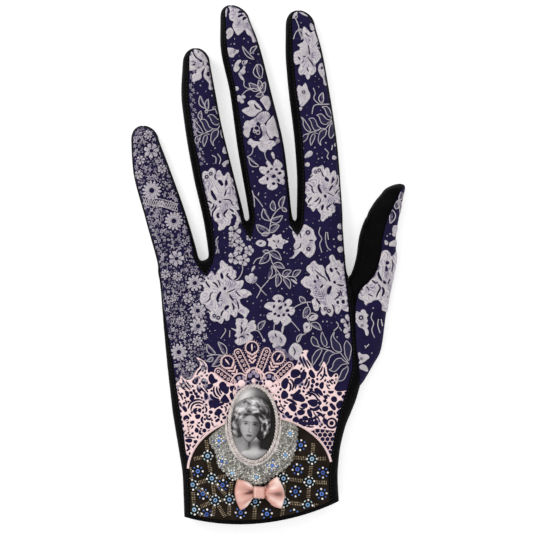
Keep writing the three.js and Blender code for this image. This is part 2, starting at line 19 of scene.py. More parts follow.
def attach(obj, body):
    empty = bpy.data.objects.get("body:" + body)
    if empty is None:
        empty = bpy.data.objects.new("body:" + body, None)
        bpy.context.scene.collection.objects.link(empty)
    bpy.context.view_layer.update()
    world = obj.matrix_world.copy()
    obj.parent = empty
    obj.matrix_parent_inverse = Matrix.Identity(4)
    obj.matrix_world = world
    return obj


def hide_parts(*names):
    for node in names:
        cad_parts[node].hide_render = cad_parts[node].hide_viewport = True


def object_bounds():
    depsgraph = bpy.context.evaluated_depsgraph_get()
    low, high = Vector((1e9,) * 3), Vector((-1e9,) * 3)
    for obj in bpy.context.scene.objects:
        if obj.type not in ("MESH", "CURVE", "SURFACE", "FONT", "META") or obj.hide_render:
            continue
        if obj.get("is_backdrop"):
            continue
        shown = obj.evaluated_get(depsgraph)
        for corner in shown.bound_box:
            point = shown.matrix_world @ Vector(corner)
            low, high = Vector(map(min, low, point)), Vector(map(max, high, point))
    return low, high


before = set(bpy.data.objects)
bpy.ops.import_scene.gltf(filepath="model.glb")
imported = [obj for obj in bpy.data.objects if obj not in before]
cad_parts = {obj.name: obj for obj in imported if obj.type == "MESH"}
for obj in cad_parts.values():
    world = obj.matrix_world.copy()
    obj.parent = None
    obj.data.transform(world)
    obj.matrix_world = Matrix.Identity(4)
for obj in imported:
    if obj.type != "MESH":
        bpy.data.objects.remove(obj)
cad_low, cad_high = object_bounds()
MM = 0.001
print("CAD box in mm:", [round(side / MM, 1) for side in cad_high - cad_low])

# %% [markdown]
# ## Camera, floor and light
#
# The photograph looks straight down on the glove. A long lens from over two metres up gives
# nearly parallel lines, as a product photograph has. The floor is plain and nearly white, and
# broad soft lights from above keep the shadow faint, with one stronger light from the upper left
# so that seams, beads and lace still show their relief.

# %% Camera, floor and lights
LENS = 300  # mm
FILM_WIDTH = 36  # mm
FRAME_WIDTH = 266.5  # mm of the floor across the picture
LOOK_AT = Vector((-0.75, -1.25, 8)) * MM

film = bpy.data.cameras.new("camera")
film.lens = LENS
film.sensor_width = FILM_WIDTH
film.clip_end = 20
camera = bpy.data.objects.new("camera", film)
camera.location = LOOK_AT + Vector((0, 0, FRAME_WIDTH * MM * LENS / FILM_WIDTH))
bpy.context.collection.objects.link(camera)
bpy.context.scene.camera = camera
bpy.context.scene.view_settings.view_transform = "Standard"


def area_light(name, place, size, power):
    """A soft square light at a place in metres that shines towards the origin."""
    lamp = bpy.data.lights.new(name, "AREA")
    lamp.size = size
    lamp.energy = power
    lamp_object = bpy.data.objects.new(name, lamp)
    lamp_object.location = place
    lamp_object.rotation_euler = (-Vector(place)).to_track_quat("-Z", "Y").to_euler()
    bpy.context.collection.objects.link(lamp_object)


area_light("key", (-0.75, 0.75, 0.95), 0.5, 8)
area_light("fill", (0.9, -0.5, 1.1), 1.0, 4)

WORLD_STRENGTH = 0.68
world = bpy.data.worlds.new("studio")
world.use_nodes = True
sky = world.node_tree.nodes["Background"].inputs
sky["Color"].default_value = (1.0, 1.0, 1.0, 1)
sky["Strength"].default_value = WORLD_STRENGTH
bpy.context.scene.world = world
print("camera", [round(v, 3) for v in camera.location])

# %% [markdown]
# ## Writing materials as sums
#
# A material is a net of nodes. Drawing it by hand is slow to read, so a small class wraps one
# socket and lets Python's own operators add the Math nodes. `1 - mask` then works as it reads.
# Colours go through Mix nodes, because a Math node would turn them grey.

# %% A material as Python expressions
class Value:
    """One number that varies over a surface: a socket with Python's operators."""

    def __init__(self, finish, socket):
        self.finish = finish
        self.socket = socket

    def math(self, operation, *others):
        places = {0: self} | {k + 1: other for k, other in enumerate(others)}
        return self.finish.value("Math", {"operation": operation}, places)

    def __add__(self, other):
        return self.math("ADD", other)

    def __sub__(self, other):
        return self.math("SUBTRACT", other)

    def __rsub__(self, other):
        return (self * -1) + other

    def __mul__(self, other):
        return self.math("MULTIPLY", other)

    __radd__ = __add__
    __rmul__ = __mul__

    def power(self, exponent):
        return self.math("POWER", exponent)

    def between(self, low, high):
        """0 up to low, 1 from high, and a soft step in between."""
        places = {0: self, 1: low, 2: high, 3: 0, 4: 1}
        return self.finish.value("MapRange", {"interpolation_type": "SMOOTHSTEP"}, places)


class Finish:
    """A material under construction, with one Principled shader."""

    def __init__(self, name, roughness=0.5, specular=0.5, **constants):
        self.material = bpy.data.materials.new(name)
        self.material.use_nodes = True
        self.tree = self.material.node_tree
        self.shader = self.tree.nodes["Principled BSDF"]
        self.shader.inputs["Roughness"].default_value = roughness
        self.shader.inputs["Specular IOR Level"].default_value = specular
        for socket_name, constant in constants.items():
            self.shader.inputs[socket_name.replace("_", " ")].default_value = constant
        self.place = self.node("TexCoord").outputs["Object"]

    def node(self, kind, settings=None, inputs=None):
        """Adds a node: first its settings, then what its sockets hold or are linked to."""
        made = self.tree.nodes.new("ShaderNode" + kind)
        for name, setting in (settings or {}).items():
            setattr(made, name, setting)
        for key, given in (inputs or {}).items():
            self.feed(made.inputs[key], given)
        return made

    def feed(self, socket, given):
        if isinstance(given, Value):
            given = given.socket
        if isinstance(given, bpy.types.NodeSocket):
            self.tree.links.new(given, socket)
        elif isinstance(given, tuple) and len(given) == 3 and socket.type == "RGBA":
            socket.default_value = (*given, 1)
        else:
            socket.default_value = given

    def value(self, kind, settings=None, inputs=None, output=0):
        return Value(self, self.node(kind, settings, inputs).outputs[output])

    def noise(self, scale, detail=2, roughness=0.5):
        inputs = {"Vector": self.place, "Scale": scale, "Detail": detail}
        return self.value("TexNoise", None, inputs | {"Roughness": roughness})

    def cells(self, scale, feature="F1"):
        inputs = {"Vector": self.place, "Scale": scale}
        return self.value("TexVoronoi", {"feature": feature}, inputs)

    def own(self, name):
        """A number stored on the piece's own vertices."""
        return self.value("Attribute", {"attribute_name": name}, output=2)

    def axes(self):
        """The three Object coordinates as values, in metres."""
        parts = self.node("SeparateXYZ", None, {0: self.place})
        return [Value(self, socket) for socket in parts.outputs]

    def mix(self, share, first, second):
        """A colour between two, by share."""
        made = self.node("Mix", {"data_type": "RGBA"}, {0: share, 6: first, 7: second})
        return made.outputs[2]

    def colour(self, given):
        self.feed(self.shader.inputs["Base Color"], given)

    def rough(self, given):
        self.feed(self.shader.inputs["Roughness"], given)

    def relief(self, height, distance, strength=1.0):
        """Fine relief, with its depth in metres."""
        inputs = {"Height": height, "Distance": distance, "Strength": strength}
        bump = self.node("Bump", None, inputs)
        self.feed(self.shader.inputs["Normal"], bump.outputs[0])


# %% The floor
# The floor shines a little by itself, so that it stays as white as the photograph's background.
FLOOR_GLOW = {"Emission_Color": (1, 1, 1, 1), "Emission_Strength": 0.45}
FLOOR_REACH = 3.0  # m from the middle to each edge
floor_finish = Finish("floor_paint", roughness=0.9, specular=0.1, **FLOOR_GLOW)
speckle = floor_finish.noise(40)
floor_finish.colour(floor_finish.mix(speckle, (0.88, 0.88, 0.88), (0.9, 0.9, 0.9)))
floor_mesh = bpy.data.meshes.new("floor")
corners = [(x * FLOOR_REACH, y * FLOOR_REACH, 0) for x, y in ((-1, -1), (1, -1), (1, 1), (-1, 1))]
floor_mesh.from_pydata(corners, [], [(0, 1, 2, 3)])
floor_mesh.materials.append(floor_finish.material)
floor = bpy.data.objects.new("floor", floor_mesh)
bpy.context.collection.objects.link(floor)
floor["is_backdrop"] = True

# %% [markdown]
# ## The glove's form
#
# A glove is cut from flat pieces, but worn cloth and leather keep a round form: each finger is a
# flattened tube, and the tubes run into the hand. The tables below hold the CAD model's sections,
# seen from above: the outline's left and right edge at each height of the plan, and the two seams
# of the back's cloth, some of them moved by up to a millimetre to where the photograph shows them.
# A smooth curve through them gives as many sections as needed.

# %% The sections
WALL = 1.1
FINGER_HEIGHT = 11.5
THUMB_HEIGHT = 12.0
SEAM_HEIGHT = 3.2  # where the palm's leather meets the sides
TIP_BAND = 0.9  # leather between a fingertip's cloth and its end
TIP_LENGTH = 10
WIDEST = 0.42  # the widest level of a section, as a share of its height
SECTION_STEP = 1.5


def table(names, rows):
    return [dict(zip(names.split(), row)) for row in rows]


FINGER = "y left seam_left seam_right right"
little = {
    "tip": (-62.6, 69.6),
    "rows": table(FINGER, [
        (62, -68.7, -68.0, -55.3, -54.5),
        (49, -68.0, -67.3, -50.3, -49.5),
        (22, -61.4, -60.7, -41.0, -40.0),
        (0, -55.4, -54.7, -35.4, -34.0),
    ]),
    "root": {"y": -16, "left": -52.6, "right": -31, "high": 12.4},
}
ring = {
    "tip": (-36.2, 108.5),
    "rows": table(FINGER, [
        (100, -42.8, -39.4, -29.5, -28.8),
        (86, -43.5, -39.9, -27.0, -26.2),
        (71, -42.0, -38.4, -24.2, -23.4),
        (44, -37.4, -33.4, -17.6, -16.8),
        (20, -32.0, -27.8, -12.6, -11.2),
    ]),
    "root": {"y": 4, "left": -29.6, "right": -9.5, "high": 12.2},
}
middle = {
    "tip": (-18.6, 130.0),
    "rows": table(FINGER, [
        (122, -23.9, -21.3, -9.7, -9.0),
        (112, -24.0, -21.0, -5.8, -5.0),
        (85, -19.0, -16.0, 1.2, 2.0),
        (58, -15.3, -12.0, 7.5, 8.3),
        (20, -9.0, -6.0, 11.4, 12.6),
    ]),
    "root": {"y": 4, "left": -7.5, "right": 15, "high": 12.2},
}
index = {
    "tip": (15.2, 127.4),
    "rows": table(FINGER, [
        (119, 8.8, 12.0, 23.0, 23.7),
        (107, 8.7, 12.2, 26.3, 27.1),
        (94, 9.5, 13.4, 28.8, 29.6),
        (58, 13.5, 17.5, 34.2, 35.0),
        (40, 14.5, 18.4, 35.8, 36.5),
        (20, 14.3, 17.6, 36.9, 37.6),
    ]),
    "root": {"y": 4, "left": 15.5, "right": 37.5, "high": 12.2},
}
thumb = {
    "tip": (66.4, 40.4),
    "rows": table("y left seam right", [
        (35.5, 57.0, 65.8, 68.2),
        (31, 53.2, 63.6, 67.2),
        (22, 48.2, 59.6, 65.4),
        (13, 45.4, 57.3, 64.0),
        (4, 44.2, 56.1, 64.2),
        (-5, 41.6, 53.2, 62.9),
        (-15, 37.0, 45.0, 60.8),
        (-24, 34.5, 43.5, 59.3),
        (-43, 33.5, 44.2, 56.6),
        (-51, 34.0, 45.2, 52.4),
        (-63, 35.0, 46.6, 45.4),
    ]),
}
hand = table("y left seam_left seam_right right high", [
    (21.4, -31.6, -30, 36.6, 37.3, 7.5),
    (19, -31.4, -29, 36.9, 37.6, 10.8),
    (13, -30.8, -28, 37.4, 38.1, 12.2),
    (2.4, -29.8, -28, 38.1, 38.9, 12.9),
    (-2, -55.4, -54.7, 38.3, 39.3, 13.1),
    (-10, -54.3, -53.5, 39.2, 41.0, 13.9),
    (-22, -53.2, -52.3, 40.4, 43.2, 14.9),
    (-50, -50.6, -47.6, 42.2, 45.2, 15.6),
    (-60, -49.5, -46.2, 40.3, 46.0, 15.5),
    (-66, -48.8, -45.2, 38.4, 44.8, 15.5),
    (-73, -48.0, -44.2, 36.2, 42.2, 15.5),
    (-82, -46.6, -42.8, 34.2, 38.6, 15.5),
    (-95, -44.4, -41.0, 31.8, 35.8, 15.5),
    (-106, -42.8, -39.5, 30.5, 35.0, 15.5),
    (-134, -41.8, -39.0, 31.4, 37.0, 15.5),
])
HAND_SEAM_START = -10
V_POINTS = {
    "little_ring": [(-37.1, 3.9), (-33.7, -3.1), (-30.6, -5.6), (-27.7, 0.7), (-26.6, 8.2)],
    "ring_middle": [(-13.1, 19.7), (-10.8, 15.3), (-8.6, 12.8), (-7.2, 17.8)],
    "middle_index": [(10.8, 21.6), (12.6, 17.1), (14.7, 14.6), (16.4, 17.1)],
}
THUMB_CROTCH = (40.1, -7.6)
DOME = {"x": -4, "y": -103.5, "half_width": 36, "rise": 27.5}
HEM = {"bend": 0.00452, "slope": 0.131, "middle": -128.85}
HEM_WIDTH = 1.8
fingers = (little, ring, middle, index)
print("sections:", sum(len(digit["rows"]) for digit in (*fingers, thumb)) + len(hand))


# %% A smooth curve through a table's values
def through(places, values):
    """A curve through points that doesn't swing past them between two."""
    order = np.argsort(places)
    places = np.array(places, float)[order]
    values = np.array(values, float)[order]
    gaps = np.diff(places)
    slopes = np.diff(values) / gaps
    tangents = np.zeros_like(values)
    tangents[0], tangents[-1] = slopes[0], slopes[-1]
    same_way = slopes[:-1] * slopes[1:] > 0
    before, after = slopes[:-1][same_way], slopes[1:][same_way]
    tangents[1:-1][same_way] = 2 * before * after / (before + after)

    def at(place):
        k = np.clip(np.searchsorted(places, place) - 1, 0, len(gaps) - 1)
        t = np.clip((place - places[k]) / gaps[k], 0, 1)
        rise = values[k] + (values[k + 1] - values[k]) * t * t * (3 - 2 * t)
        ease = t * (1 - t) * gaps[k]
        return rise + ease * ((1 - t) * tangents[k] - t * tangents[k + 1])

    return at


def polar(x, y, radius, turn):
    """The plan point at a distance from another, in the direction of an angle."""
    return x + radius * math.cos(turn), y + radius * math.sin(turn)


def hem_y(x, rise=0.0):
    """How far up the plan the hem, or a line above it, runs at x."""
    return HEM["bend"] * x * x + HEM["slope"] * x + HEM["middle"] + rise


# %% [markdown]
# Each section becomes a ring of points: fuller than an ellipse on top, flattened below where it
# lies. The rings are joined into closed tubes. Tubes that merely overlap would leave hard creases
# where the fingers meet the hand, so a voxel remesh melts them into one skin, and a little
# smoothing rounds the webs. The same is done a wall's thickness further in, and the inner form is
# taken out of the outer one, so that the glove is hollow and open at the hem, as a real one is.

# %% Tubes through the sections
AROUND = 44
TIP_ANGLES = (0, 12, 24, 36, 47, 57, 66, 74, 81, 86, 89)
TIP_FLOOR, TIP_RISE = 0.28, 0.72  # shares of the digit's height at a tip's end and below it


def fine_sections(digit, high):
    """A digit's rows at every step of its length, and rounded ones up to its tip."""
    known = digit["rows"] + ([digit["root"]] if "root" in digit else [])
    ys = [row["y"] for row in known]
    left = through(ys, [row["left"] for row in known])
    right = through(ys, [row["right"] for row in known])
    roof = through(ys, [row.get("high", high) for row in known])
    steps = np.arange(min(ys), max(ys), SECTION_STEP)
    body = [(y, float(left(y)), float(right(y)), float(roof(y))) for y in steps]
    first = digit["rows"][0]
    centre, half = (first["left"] + first["right"]) / 2, (first["right"] - first["left"]) / 2
    for degrees in TIP_ANGLES:
        rise, shrink = math.sin(math.radians(degrees)), math.cos(math.radians(degrees))
        x = centre + (digit["tip"][0] - centre) * rise**1.5
        y = first["y"] + (digit["tip"][1] - first["y"]) * rise
        roof_here = high * (TIP_FLOOR + TIP_RISE * shrink)
        body.append((y, x - half * shrink, x + half * shrink, roof_here))
    return body


def fine_hand():
    """The hand's rows at every step of its length."""
    ys = [row["y"] for row in hand]
    columns = [through(ys, [row[name] for row in hand]) for name in ("left", "right", "high")]
    steps = np.append(np.arange(min(ys), max(ys), SECTION_STEP), max(ys))
    return [(y, *(float(column(y)) for column in columns)) for y in steps]


def ring_of_points(section, inset, top_y):
    """A section as a closed ring: full on top, flat below, drawn in by the inset."""
    y, left, right, high = section
    centre, half = (left + right) / 2, (right - left) / 2 - inset
    floor_z, roof = max(inset, 0), high - inset
    widest = floor_z + (roof - floor_z) * WIDEST
    back_off = max(0.0, 1 - (top_y - y) / TIP_LENGTH) * inset
    points = []
    for k in range(AROUND):
        turn = 2 * math.pi * k / AROUND
        across, up = math.cos(turn), math.sin(turn)
        fullness = 0.6 if up < 0 else 0.8
        x = centre + max(half, 0.3) * math.copysign(abs(across) ** fullness, across)
        lift = abs(up) ** 0.8
        z = widest + (roof - widest) * lift
        if up < 0:
            z = widest - (widest - floor_z) * min(1, 1.3 * lift)
        points.append((x, y - back_off, z))
    return points


def mesh_from(name, points, faces):
    """A mesh in metres from points in millimetres."""
    made = bpy.data.meshes.new(name)
    made.from_pydata([tuple(v * MM for v in point) for point in points], [], faces)
    made.update()
    return made


def tube_faces(rows, size, closed=False):
    """Faces of a tube through rows of points, with a face at each end unless it closes."""
    faces = []
    for row in range(rows if closed else rows - 1):
        here, there = row * size, (row + 1) % rows * size
        for k in range(size):
            beside = (k + 1) % size
            faces.append((here + k, there + k, there + beside, here + beside))
    if not closed:
        faces.append(tuple(range(size)))
        faces.append(tuple(range((rows - 1) * size, rows * size))[::-1])
    return faces


def tube(rings):
    """Points and faces of a tube through rings that all turn the same way."""
    return [point for one in rings for point in one], tube_faces(len(rings), len(rings[0]))


def gather(parts):
    """Several (points, faces) as one."""
    points, faces = [], []
    for more_points, more_faces in parts:
        start = len(points)
        points.extend(more_points)
        faces.extend(tuple(start + k for k in face) for face in more_faces)
    return points, faces


# %% Melting the tubes into one skin
VOXEL = 0.9
scratch = bpy.data.collections.new("scratch")
bpy.context.scene.collection.children.link(scratch)


def evaluated(mesh, modifiers, tree_inputs=()):
    """A mesh after modifiers, given as (kind, settings), and a node tree's inputs."""
    worker = bpy.data.objects.new("worker", mesh)
    scratch.objects.link(worker)
    for kind, settings in modifiers:
        modifier = worker.modifiers.new(kind.lower(), kind)
        for name, setting in settings.items():
            setattr(modifier, name, setting)
        for identifier, given in tree_inputs:
            modifier[identifier] = given
    depsgraph = bpy.context.evaluated_depsgraph_get()
    made = bpy.data.meshes.new_from_object(worker.evaluated_get(depsgraph))
    bpy.data.objects.remove(worker)
    return made


def glove_form(inset):
    """The whole glove as one closed skin, drawn in by the inset."""
    forms = [fine_hand()]
    forms += [fine_sections(digit, FINGER_HEIGHT) for digit in fingers]
    forms.append(fine_sections(thumb, THUMB_HEIGHT))
    tubes = [tube([ring_of_points(row, inset, form[-1][0]) for row in form]) for form in forms]
    remesh = ("REMESH", {"mode": "VOXEL", "voxel_size": VOXEL * MM, "use_smooth_shade": True})
    smooth = ("SMOOTH", {"factor": 0.5, "iterations": 6})
    return evaluated(mesh_from("tubes", *gather(tubes)), [remesh, smooth])


outer = glove_form(0)
inner = glove_form(WALL)
print("outer skin:", len(outer.polygons), "faces; inner skin:", len(inner.polygons))

# %% [markdown]
# ## Cutting the skin into the glove's pieces
#
# A glover cuts the back, the strips between the fingers, the thumb and the palm apart and sews them
# together again. Here the hollow skin is cut by upright columns that stand on the seams' plan, as a
# cookie cutter would, which gives each piece a clean edge on exactly the same seam as its
# neighbour. Near a seam the surface then sinks a little, because the thread pulls it in.

# %% Outlines of the pieces in plan
FAR = 150
SEAM_GAP = 0.16
PLAN_STEP = 1.6


def joined_rows(name, *tables):
    """A curve through one column of one or more tables."""
    rows = [row for one in tables for row in one if name in row]
    return through([row["y"] for row in rows], [row[name] for row in rows])


hand_below = [row for row in hand if row["y"] <= HAND_SEAM_START]
left_seam = joined_rows("seam_left", hand_below, little["rows"])
right_seam = joined_rows("seam_right", hand[1:], index["rows"])


def edge_between(curve, low, high):
    """Plan points on a curve, from one height of the plan to another."""
    return [(float(curve(y)), float(y)) for y in np.arange(low, high, PLAN_STEP)]


def tip_arc(digit):
    """The cloth's rounded end at a fingertip, from its left seam to its right one."""
    first = digit["rows"][0]
    centre = (first["seam_left"] + first["seam_right"]) / 2
    half = (first["seam_right"] - first["seam_left"]) / 2
    rise = digit["tip"][1] - TIP_BAND - first["y"]
    arc = []
    for degrees in range(174, 0, -12):
        sine, cosine = math.sin(math.radians(degrees)), math.cos(math.radians(degrees))
        x = centre + (digit["tip"][0] - centre) * sine**1.5 + half * cosine
        arc.append((x, first["y"] + rise * sine))
    return arc


def seam_of(digit, name):
    return joined_rows(name, digit["rows"])


def dome_place(turn):
    """A plan point on the edge of the cuff's dome."""
    return (DOME["x"] + DOME["half_width"] * math.cos(turn),
            DOME["y"] + DOME["rise"] * math.sin(turn))


def finger_outline(digit, left, right):
    """Up a finger's left seam from one height, over its tip, and down its right seam to another."""
    top = digit["rows"][0]["y"]
    up, down = seam_of(digit, "seam_left"), seam_of(digit, "seam_right")
    return edge_between(up, left, top) + tip_arc(digit) + edge_between(down, right, top)[::-1]


back_outline = (
    edge_between(left_seam, -134, 62)
    + tip_arc(little)
    + edge_between(seam_of(little, "seam_right"), 7, 62)[::-1]
    + V_POINTS["little_ring"]
    + finger_outline(ring, 20, 23)
    + V_POINTS["ring_middle"]
    + finger_outline(middle, 23, 25)
    + V_POINTS["middle_index"]
    + edge_between(seam_of(index, "seam_left"), 20, 119)
    + tip_arc(index)
    + edge_between(right_seam, -134, 119)[::-1]
)
dome_arc = [dome_place(math.pi * k / 60) for k in range(61)]
dome_outline = dome_arc + [(dome_arc[-1][0], -FAR), (dome_arc[0][0], -FAR)]

thumb_seam = seam_of(thumb, "seam")
thumb_seam_line = edge_between(thumb_seam, -63, 36.5)[::-1]
OUTSIDE_THUMB = [(76, -64), (76, 52)]
thumb_region = (
    [(50, 52), (45, 26), (42.4, 10), (41, -2), THUMB_CROTCH, (43.2, -17)]
    + [p for p in thumb_seam_line if p[1] < -20]
    + OUTSIDE_THUMB
)
thumb_cloth_outline = [(67.6, 38)] + thumb_seam_line + OUTSIDE_THUMB


def between_fingers(one, other):
    """The plan area between two fingers' middle lines."""
    lines = []
    for digit in (one, other):
        root = digit["rows"][-1]
        foot = ((root["left"] + root["right"]) / 2, root["y"])
        lines.append([foot, digit["tip"], (digit["tip"][0], digit["tip"][1] + 10)])
    below = [(lines[1][0][0], -12), (lines[0][0][0], -12)]
    return lines[0] + lines[1][::-1] + below


HEM_REACH = 56
across_hem = np.linspace(-HEM_REACH, HEM_REACH, 57)


def hem_strip(rise):
    """The plan area below a line that runs above the hem."""
    return [(x, hem_y(x, rise)) for x in across_hem] + [(HEM_REACH, -FAR), (-HEM_REACH, -FAR)]


print("back outline:", len(back_outline), "points")


# %% Cutting
COLUMN = (-5.0, 60.0)  # from below the glove to above it
SHARPEST_MITRE = 0.45


def grown(outline, distance):
    """An outline moved outwards, or inwards by a negative distance."""
    points = np.array(outline, float)
    before, after = np.roll(points, 1, axis=0), np.roll(points, -1, axis=0)
    crossed = before[:, 0] * points[:, 1] - points[:, 0] * before[:, 1]
    way = math.copysign(1, crossed.sum())
    a = (points - before) / np.linalg.norm(points - before, axis=1)[:, None]
    b = (after - points) / np.linalg.norm(after - points, axis=1)[:, None]
    normal = np.stack([a[:, 1] + b[:, 1], -a[:, 0] - b[:, 0]], axis=1)
    normal /= np.linalg.norm(normal, axis=1)[:, None]
    lean = np.maximum(SHARPEST_MITRE, normal[:, 0] * a[:, 1] - normal[:, 1] * a[:, 0])
    return points + normal * (way * distance / lean)[:, None]


def column(outline):
    """A closed upright prism over an outline, as a mesh."""
    points = np.array(outline, float)
    following = np.roll(points, -1, axis=0)
    if (points[:, 0] * following[:, 1] - following[:, 0] * points[:, 1]).sum() < 0:
        points = points[::-1]
    count = len(points)
    corners = [(x, y, z) for z in COLUMN for x, y in points]
    faces = [tuple(range(count))[::-1], tuple(range(count, 2 * count))]
    faces += [(k, (k + 1) % count, (k + 1) % count + count, k + count) for k in range(count)]
    return mesh_from("column", corners, faces)


def boolean(mesh, other, operation):
    """Two closed meshes as one, by a boolean operation."""
    cutter = bpy.data.objects.new("cutter", other)
    scratch.objects.link(cutter)
    settings = {"operation": operation, "object": cutter, "solver": "MANIFOLD"}
    made = evaluated(mesh, [("BOOLEAN", settings)])
    bpy.data.objects.remove(cutter)
    return made


def within(mesh, outline):
    return boolean(mesh, column(outline), "INTERSECT")


def without(mesh, outline):
    return boolean(mesh, column(outline), "DIFFERENCE")


def corners_of(mesh):
    """A mesh's vertices in millimetres, as an array."""
    flat = np.empty(len(mesh.vertices) * 3)
    mesh.vertices.foreach_get("co", flat)
    return flat.reshape(-1, 3) / MM


def islands(mesh):
    """Which connected part each vertex belongs to."""
    edges = np.empty(len(mesh.edges) * 2, np.int64)
    mesh.edges.foreach_get("vertices", edges)
    edges = edges.reshape(-1, 2)
    label = np.arange(len(mesh.vertices))
    while True:
        lowest = np.minimum(label[edges[:, 0]], label[edges[:, 1]])
        after = label.copy()
        np.minimum.at(after, edges[:, 0], lowest)
        np.minimum.at(after, edges[:, 1], lowest)
        after = after[after]
        if (after == label).all():
            return label
        label = after[after]


def only(mesh, keep):
    """The mesh's faces whose corners are all among the vertices to keep."""
    points = corners_of(mesh)
    renumber = np.cumsum(keep) - 1
    kept_faces = [face.vertices for face in mesh.polygons if keep[face.vertices[0]]]
    faces = [tuple(int(renumber[k]) for k in face) for face in kept_faces]
    return mesh_from(mesh.name, points[keep], faces)


def largest(mesh):
    """The mesh's largest connected part, without the crumbs of a cut."""
    label = islands(mesh)
    names, counts = np.unique(label, return_counts=True)
    return mesh if len(names) == 1 else only(mesh, label == names[counts.argmax()])


def uneven_block(low, high):
    """A box over everything, with a slightly uneven floor and roof, so no cut makes a huge face."""
    cells = 60
    places = np.linspace(-FAR, FAR, cells + 1)
    plan = [(x, y, 0.02 * math.sin(37.0 * x + 53.0 * y)) for y in places for x in places]
    layers = [[(x, y, z + uneven) for x, y, uneven in plan] for z in (low, high)]
    count = (cells + 1) ** 2
    faces = []
    for row in range(cells):
        for k in range(cells):
            a = row * (cells + 1) + k
            square = (a, a + 1, a + cells + 2, a + cells + 1)
            faces += [square[::-1], tuple(v + count for v in square)]
    border = list(range(cells + 1)) + [(r + 1) * (cells + 1) + cells for r in range(cells)]
    border += [cells * (cells + 1) + k for k in range(cells - 1, -1, -1)]
    border += [r * (cells + 1) for r in range(cells - 1, 0, -1)]
    faces += [(a, b, b + count, a + count) for a, b in zip(border, border[1:] + border[:1])]
    return mesh_from("block", layers[0] + layers[1], faces)


half_gap = SEAM_GAP / 2
shell = without(boolean(outer, inner, "DIFFERENCE"), hem_strip(HEM_WIDTH + SEAM_GAP))
upper = boolean(shell, uneven_block(SEAM_HEIGHT + half_gap, COLUMN[1]), "INTERSECT")
lower = boolean(shell, uneven_block(COLUMN[0], SEAM_HEIGHT - half_gap), "INTERSECT")

back = within(upper, grown(back_outline, -half_gap))
round_back = without(upper, grown(back_outline, half_gap))
sides = without(round_back, grown(thumb_region, half_gap))
thumb_shell = within(round_back, grown(thumb_region, -half_gap))
spans = [between_fingers(*pair) for pair in zip(fingers, fingers[1:])]
rest = sides
for span in spans:
    rest = without(rest, grown(span, half_gap))
rest_label = islands(rest)
rest_names, rest_counts = np.unique(rest_label, return_counts=True)
two_largest = [only(rest, rest_label == name) for name in rest_names[np.argsort(rest_counts)[-2:]]]
little_side, thumb_side = sorted(two_largest, key=lambda part: corners_of(part)[:, 0].min())

cut_pieces = {
    "back_cloth": largest(without(back, grown(dome_outline, half_gap))),
    "cuff_cloth": largest(within(back, grown(dome_outline, -half_gap))),
    "outer_side_leather": little_side,
    "thumb_side_leather": thumb_side,
    "fork_leather_little": largest(within(sides, grown(spans[0], -half_gap))),
    "fork_leather_middle": largest(within(sides, grown(spans[1], -half_gap))),
    "fork_leather_index": largest(within(sides, grown(spans[2], -half_gap))),
    "thumb_cloth": largest(within(thumb_shell, grown(thumb_cloth_outline, -half_gap))),
    "thumb_inner_leather": largest(without(thumb_shell, grown(thumb_cloth_outline, half_gap))),
    "palm_leather": largest(without(lower, grown(thumb_region, half_gap))),
    "thumb_palm_leather": largest(within(lower, grown(thumb_region, -half_gap))),
}
BINDING_FOLD = 0.35  # the binding is thicker than the wall, towards the inside
bound = boolean(outer, glove_form(WALL + BINDING_FOLD), "DIFFERENCE")
bound = without(within(bound, hem_strip(HEM_WIDTH)), hem_strip(0))
cut_pieces["hem_leather"] = largest(bound)
for name, mesh in cut_pieces.items():
    print(f"{name}: {len(mesh.polygons)} faces")

# %% [markdown]
# ## Seams that sink, and a height to sew on
#
# Thread pulls the edges of both pieces down, so every seam is a shallow groove. Each outer point
# near a seam moves inwards along the skin's own normal, most at the edge. The same skin also
# answers how high the glove is above any point of the plan. Everything sewn on later asks it.

# %% Sinking the edges
SINK_WIDTH = 1.5
SINK_DEPTH = 0.42
ON_SKIN = 0.12  # how near the outer skin a point counts as one of it
outer_faces = [face.vertices[:] for face in outer.polygons]
skin_tree = BVHTree.FromPolygons([vertex.co[:] for vertex in outer.vertices], outer_faces)


def distance_to(points, line):
    """Each plan point's distance to a line of plan points."""
    line = np.array(line, float)
    start, along = line[:-1], np.diff(line, axis=0)
    nearest = np.full(len(points), 1e9)
    for a, d in zip(start, along):
        t = np.clip(((points - a) @ d) / (d @ d), 0, 1)
        nearest = np.minimum(nearest, np.linalg.norm(points - a - t[:, None] * d, axis=1))
    return nearest


def off_lines(points, lines):
    """Each plan point's distance to the nearest of several lines."""
    return np.min([distance_to(points, line) for line in lines], axis=0)


seam_lines = [
    back_outline + back_outline[:1],
    dome_arc,
    thumb_seam_line + [thumb_region[0]],
    thumb_region[:7],
]
for digit in fingers:
    x, y = digit["tip"]
    seam_lines.append([(x, y - 9), (x, y + 10)])


def move_corners(mesh, points):
    """Gives a mesh new places for its vertices, in millimetres."""
    mesh.vertices.foreach_set("co", (points * MM).ravel())
    mesh.update()


def sink_seams(mesh):
    """Draws a piece's outer skin in beside its seams."""
    points = corners_of(mesh)
    off_seam = np.minimum(off_lines(points[:, :2], seam_lines), np.abs(points[:, 2] - SEAM_HEIGHT))
    for k in np.flatnonzero(off_seam < SINK_WIDTH):
        place, normal, _, off_skin = skin_tree.find_nearest(Vector(points[k]) * MM)
        if off_skin < ON_SKIN * MM:
            share = (1 - off_seam[k] / SINK_WIDTH) ** 2
            points[k] -= np.array(normal) * SINK_DEPTH * share
    move_corners(mesh, points)


for name, mesh in cut_pieces.items():
    if name != "hem_leather":
        sink_seams(mesh)

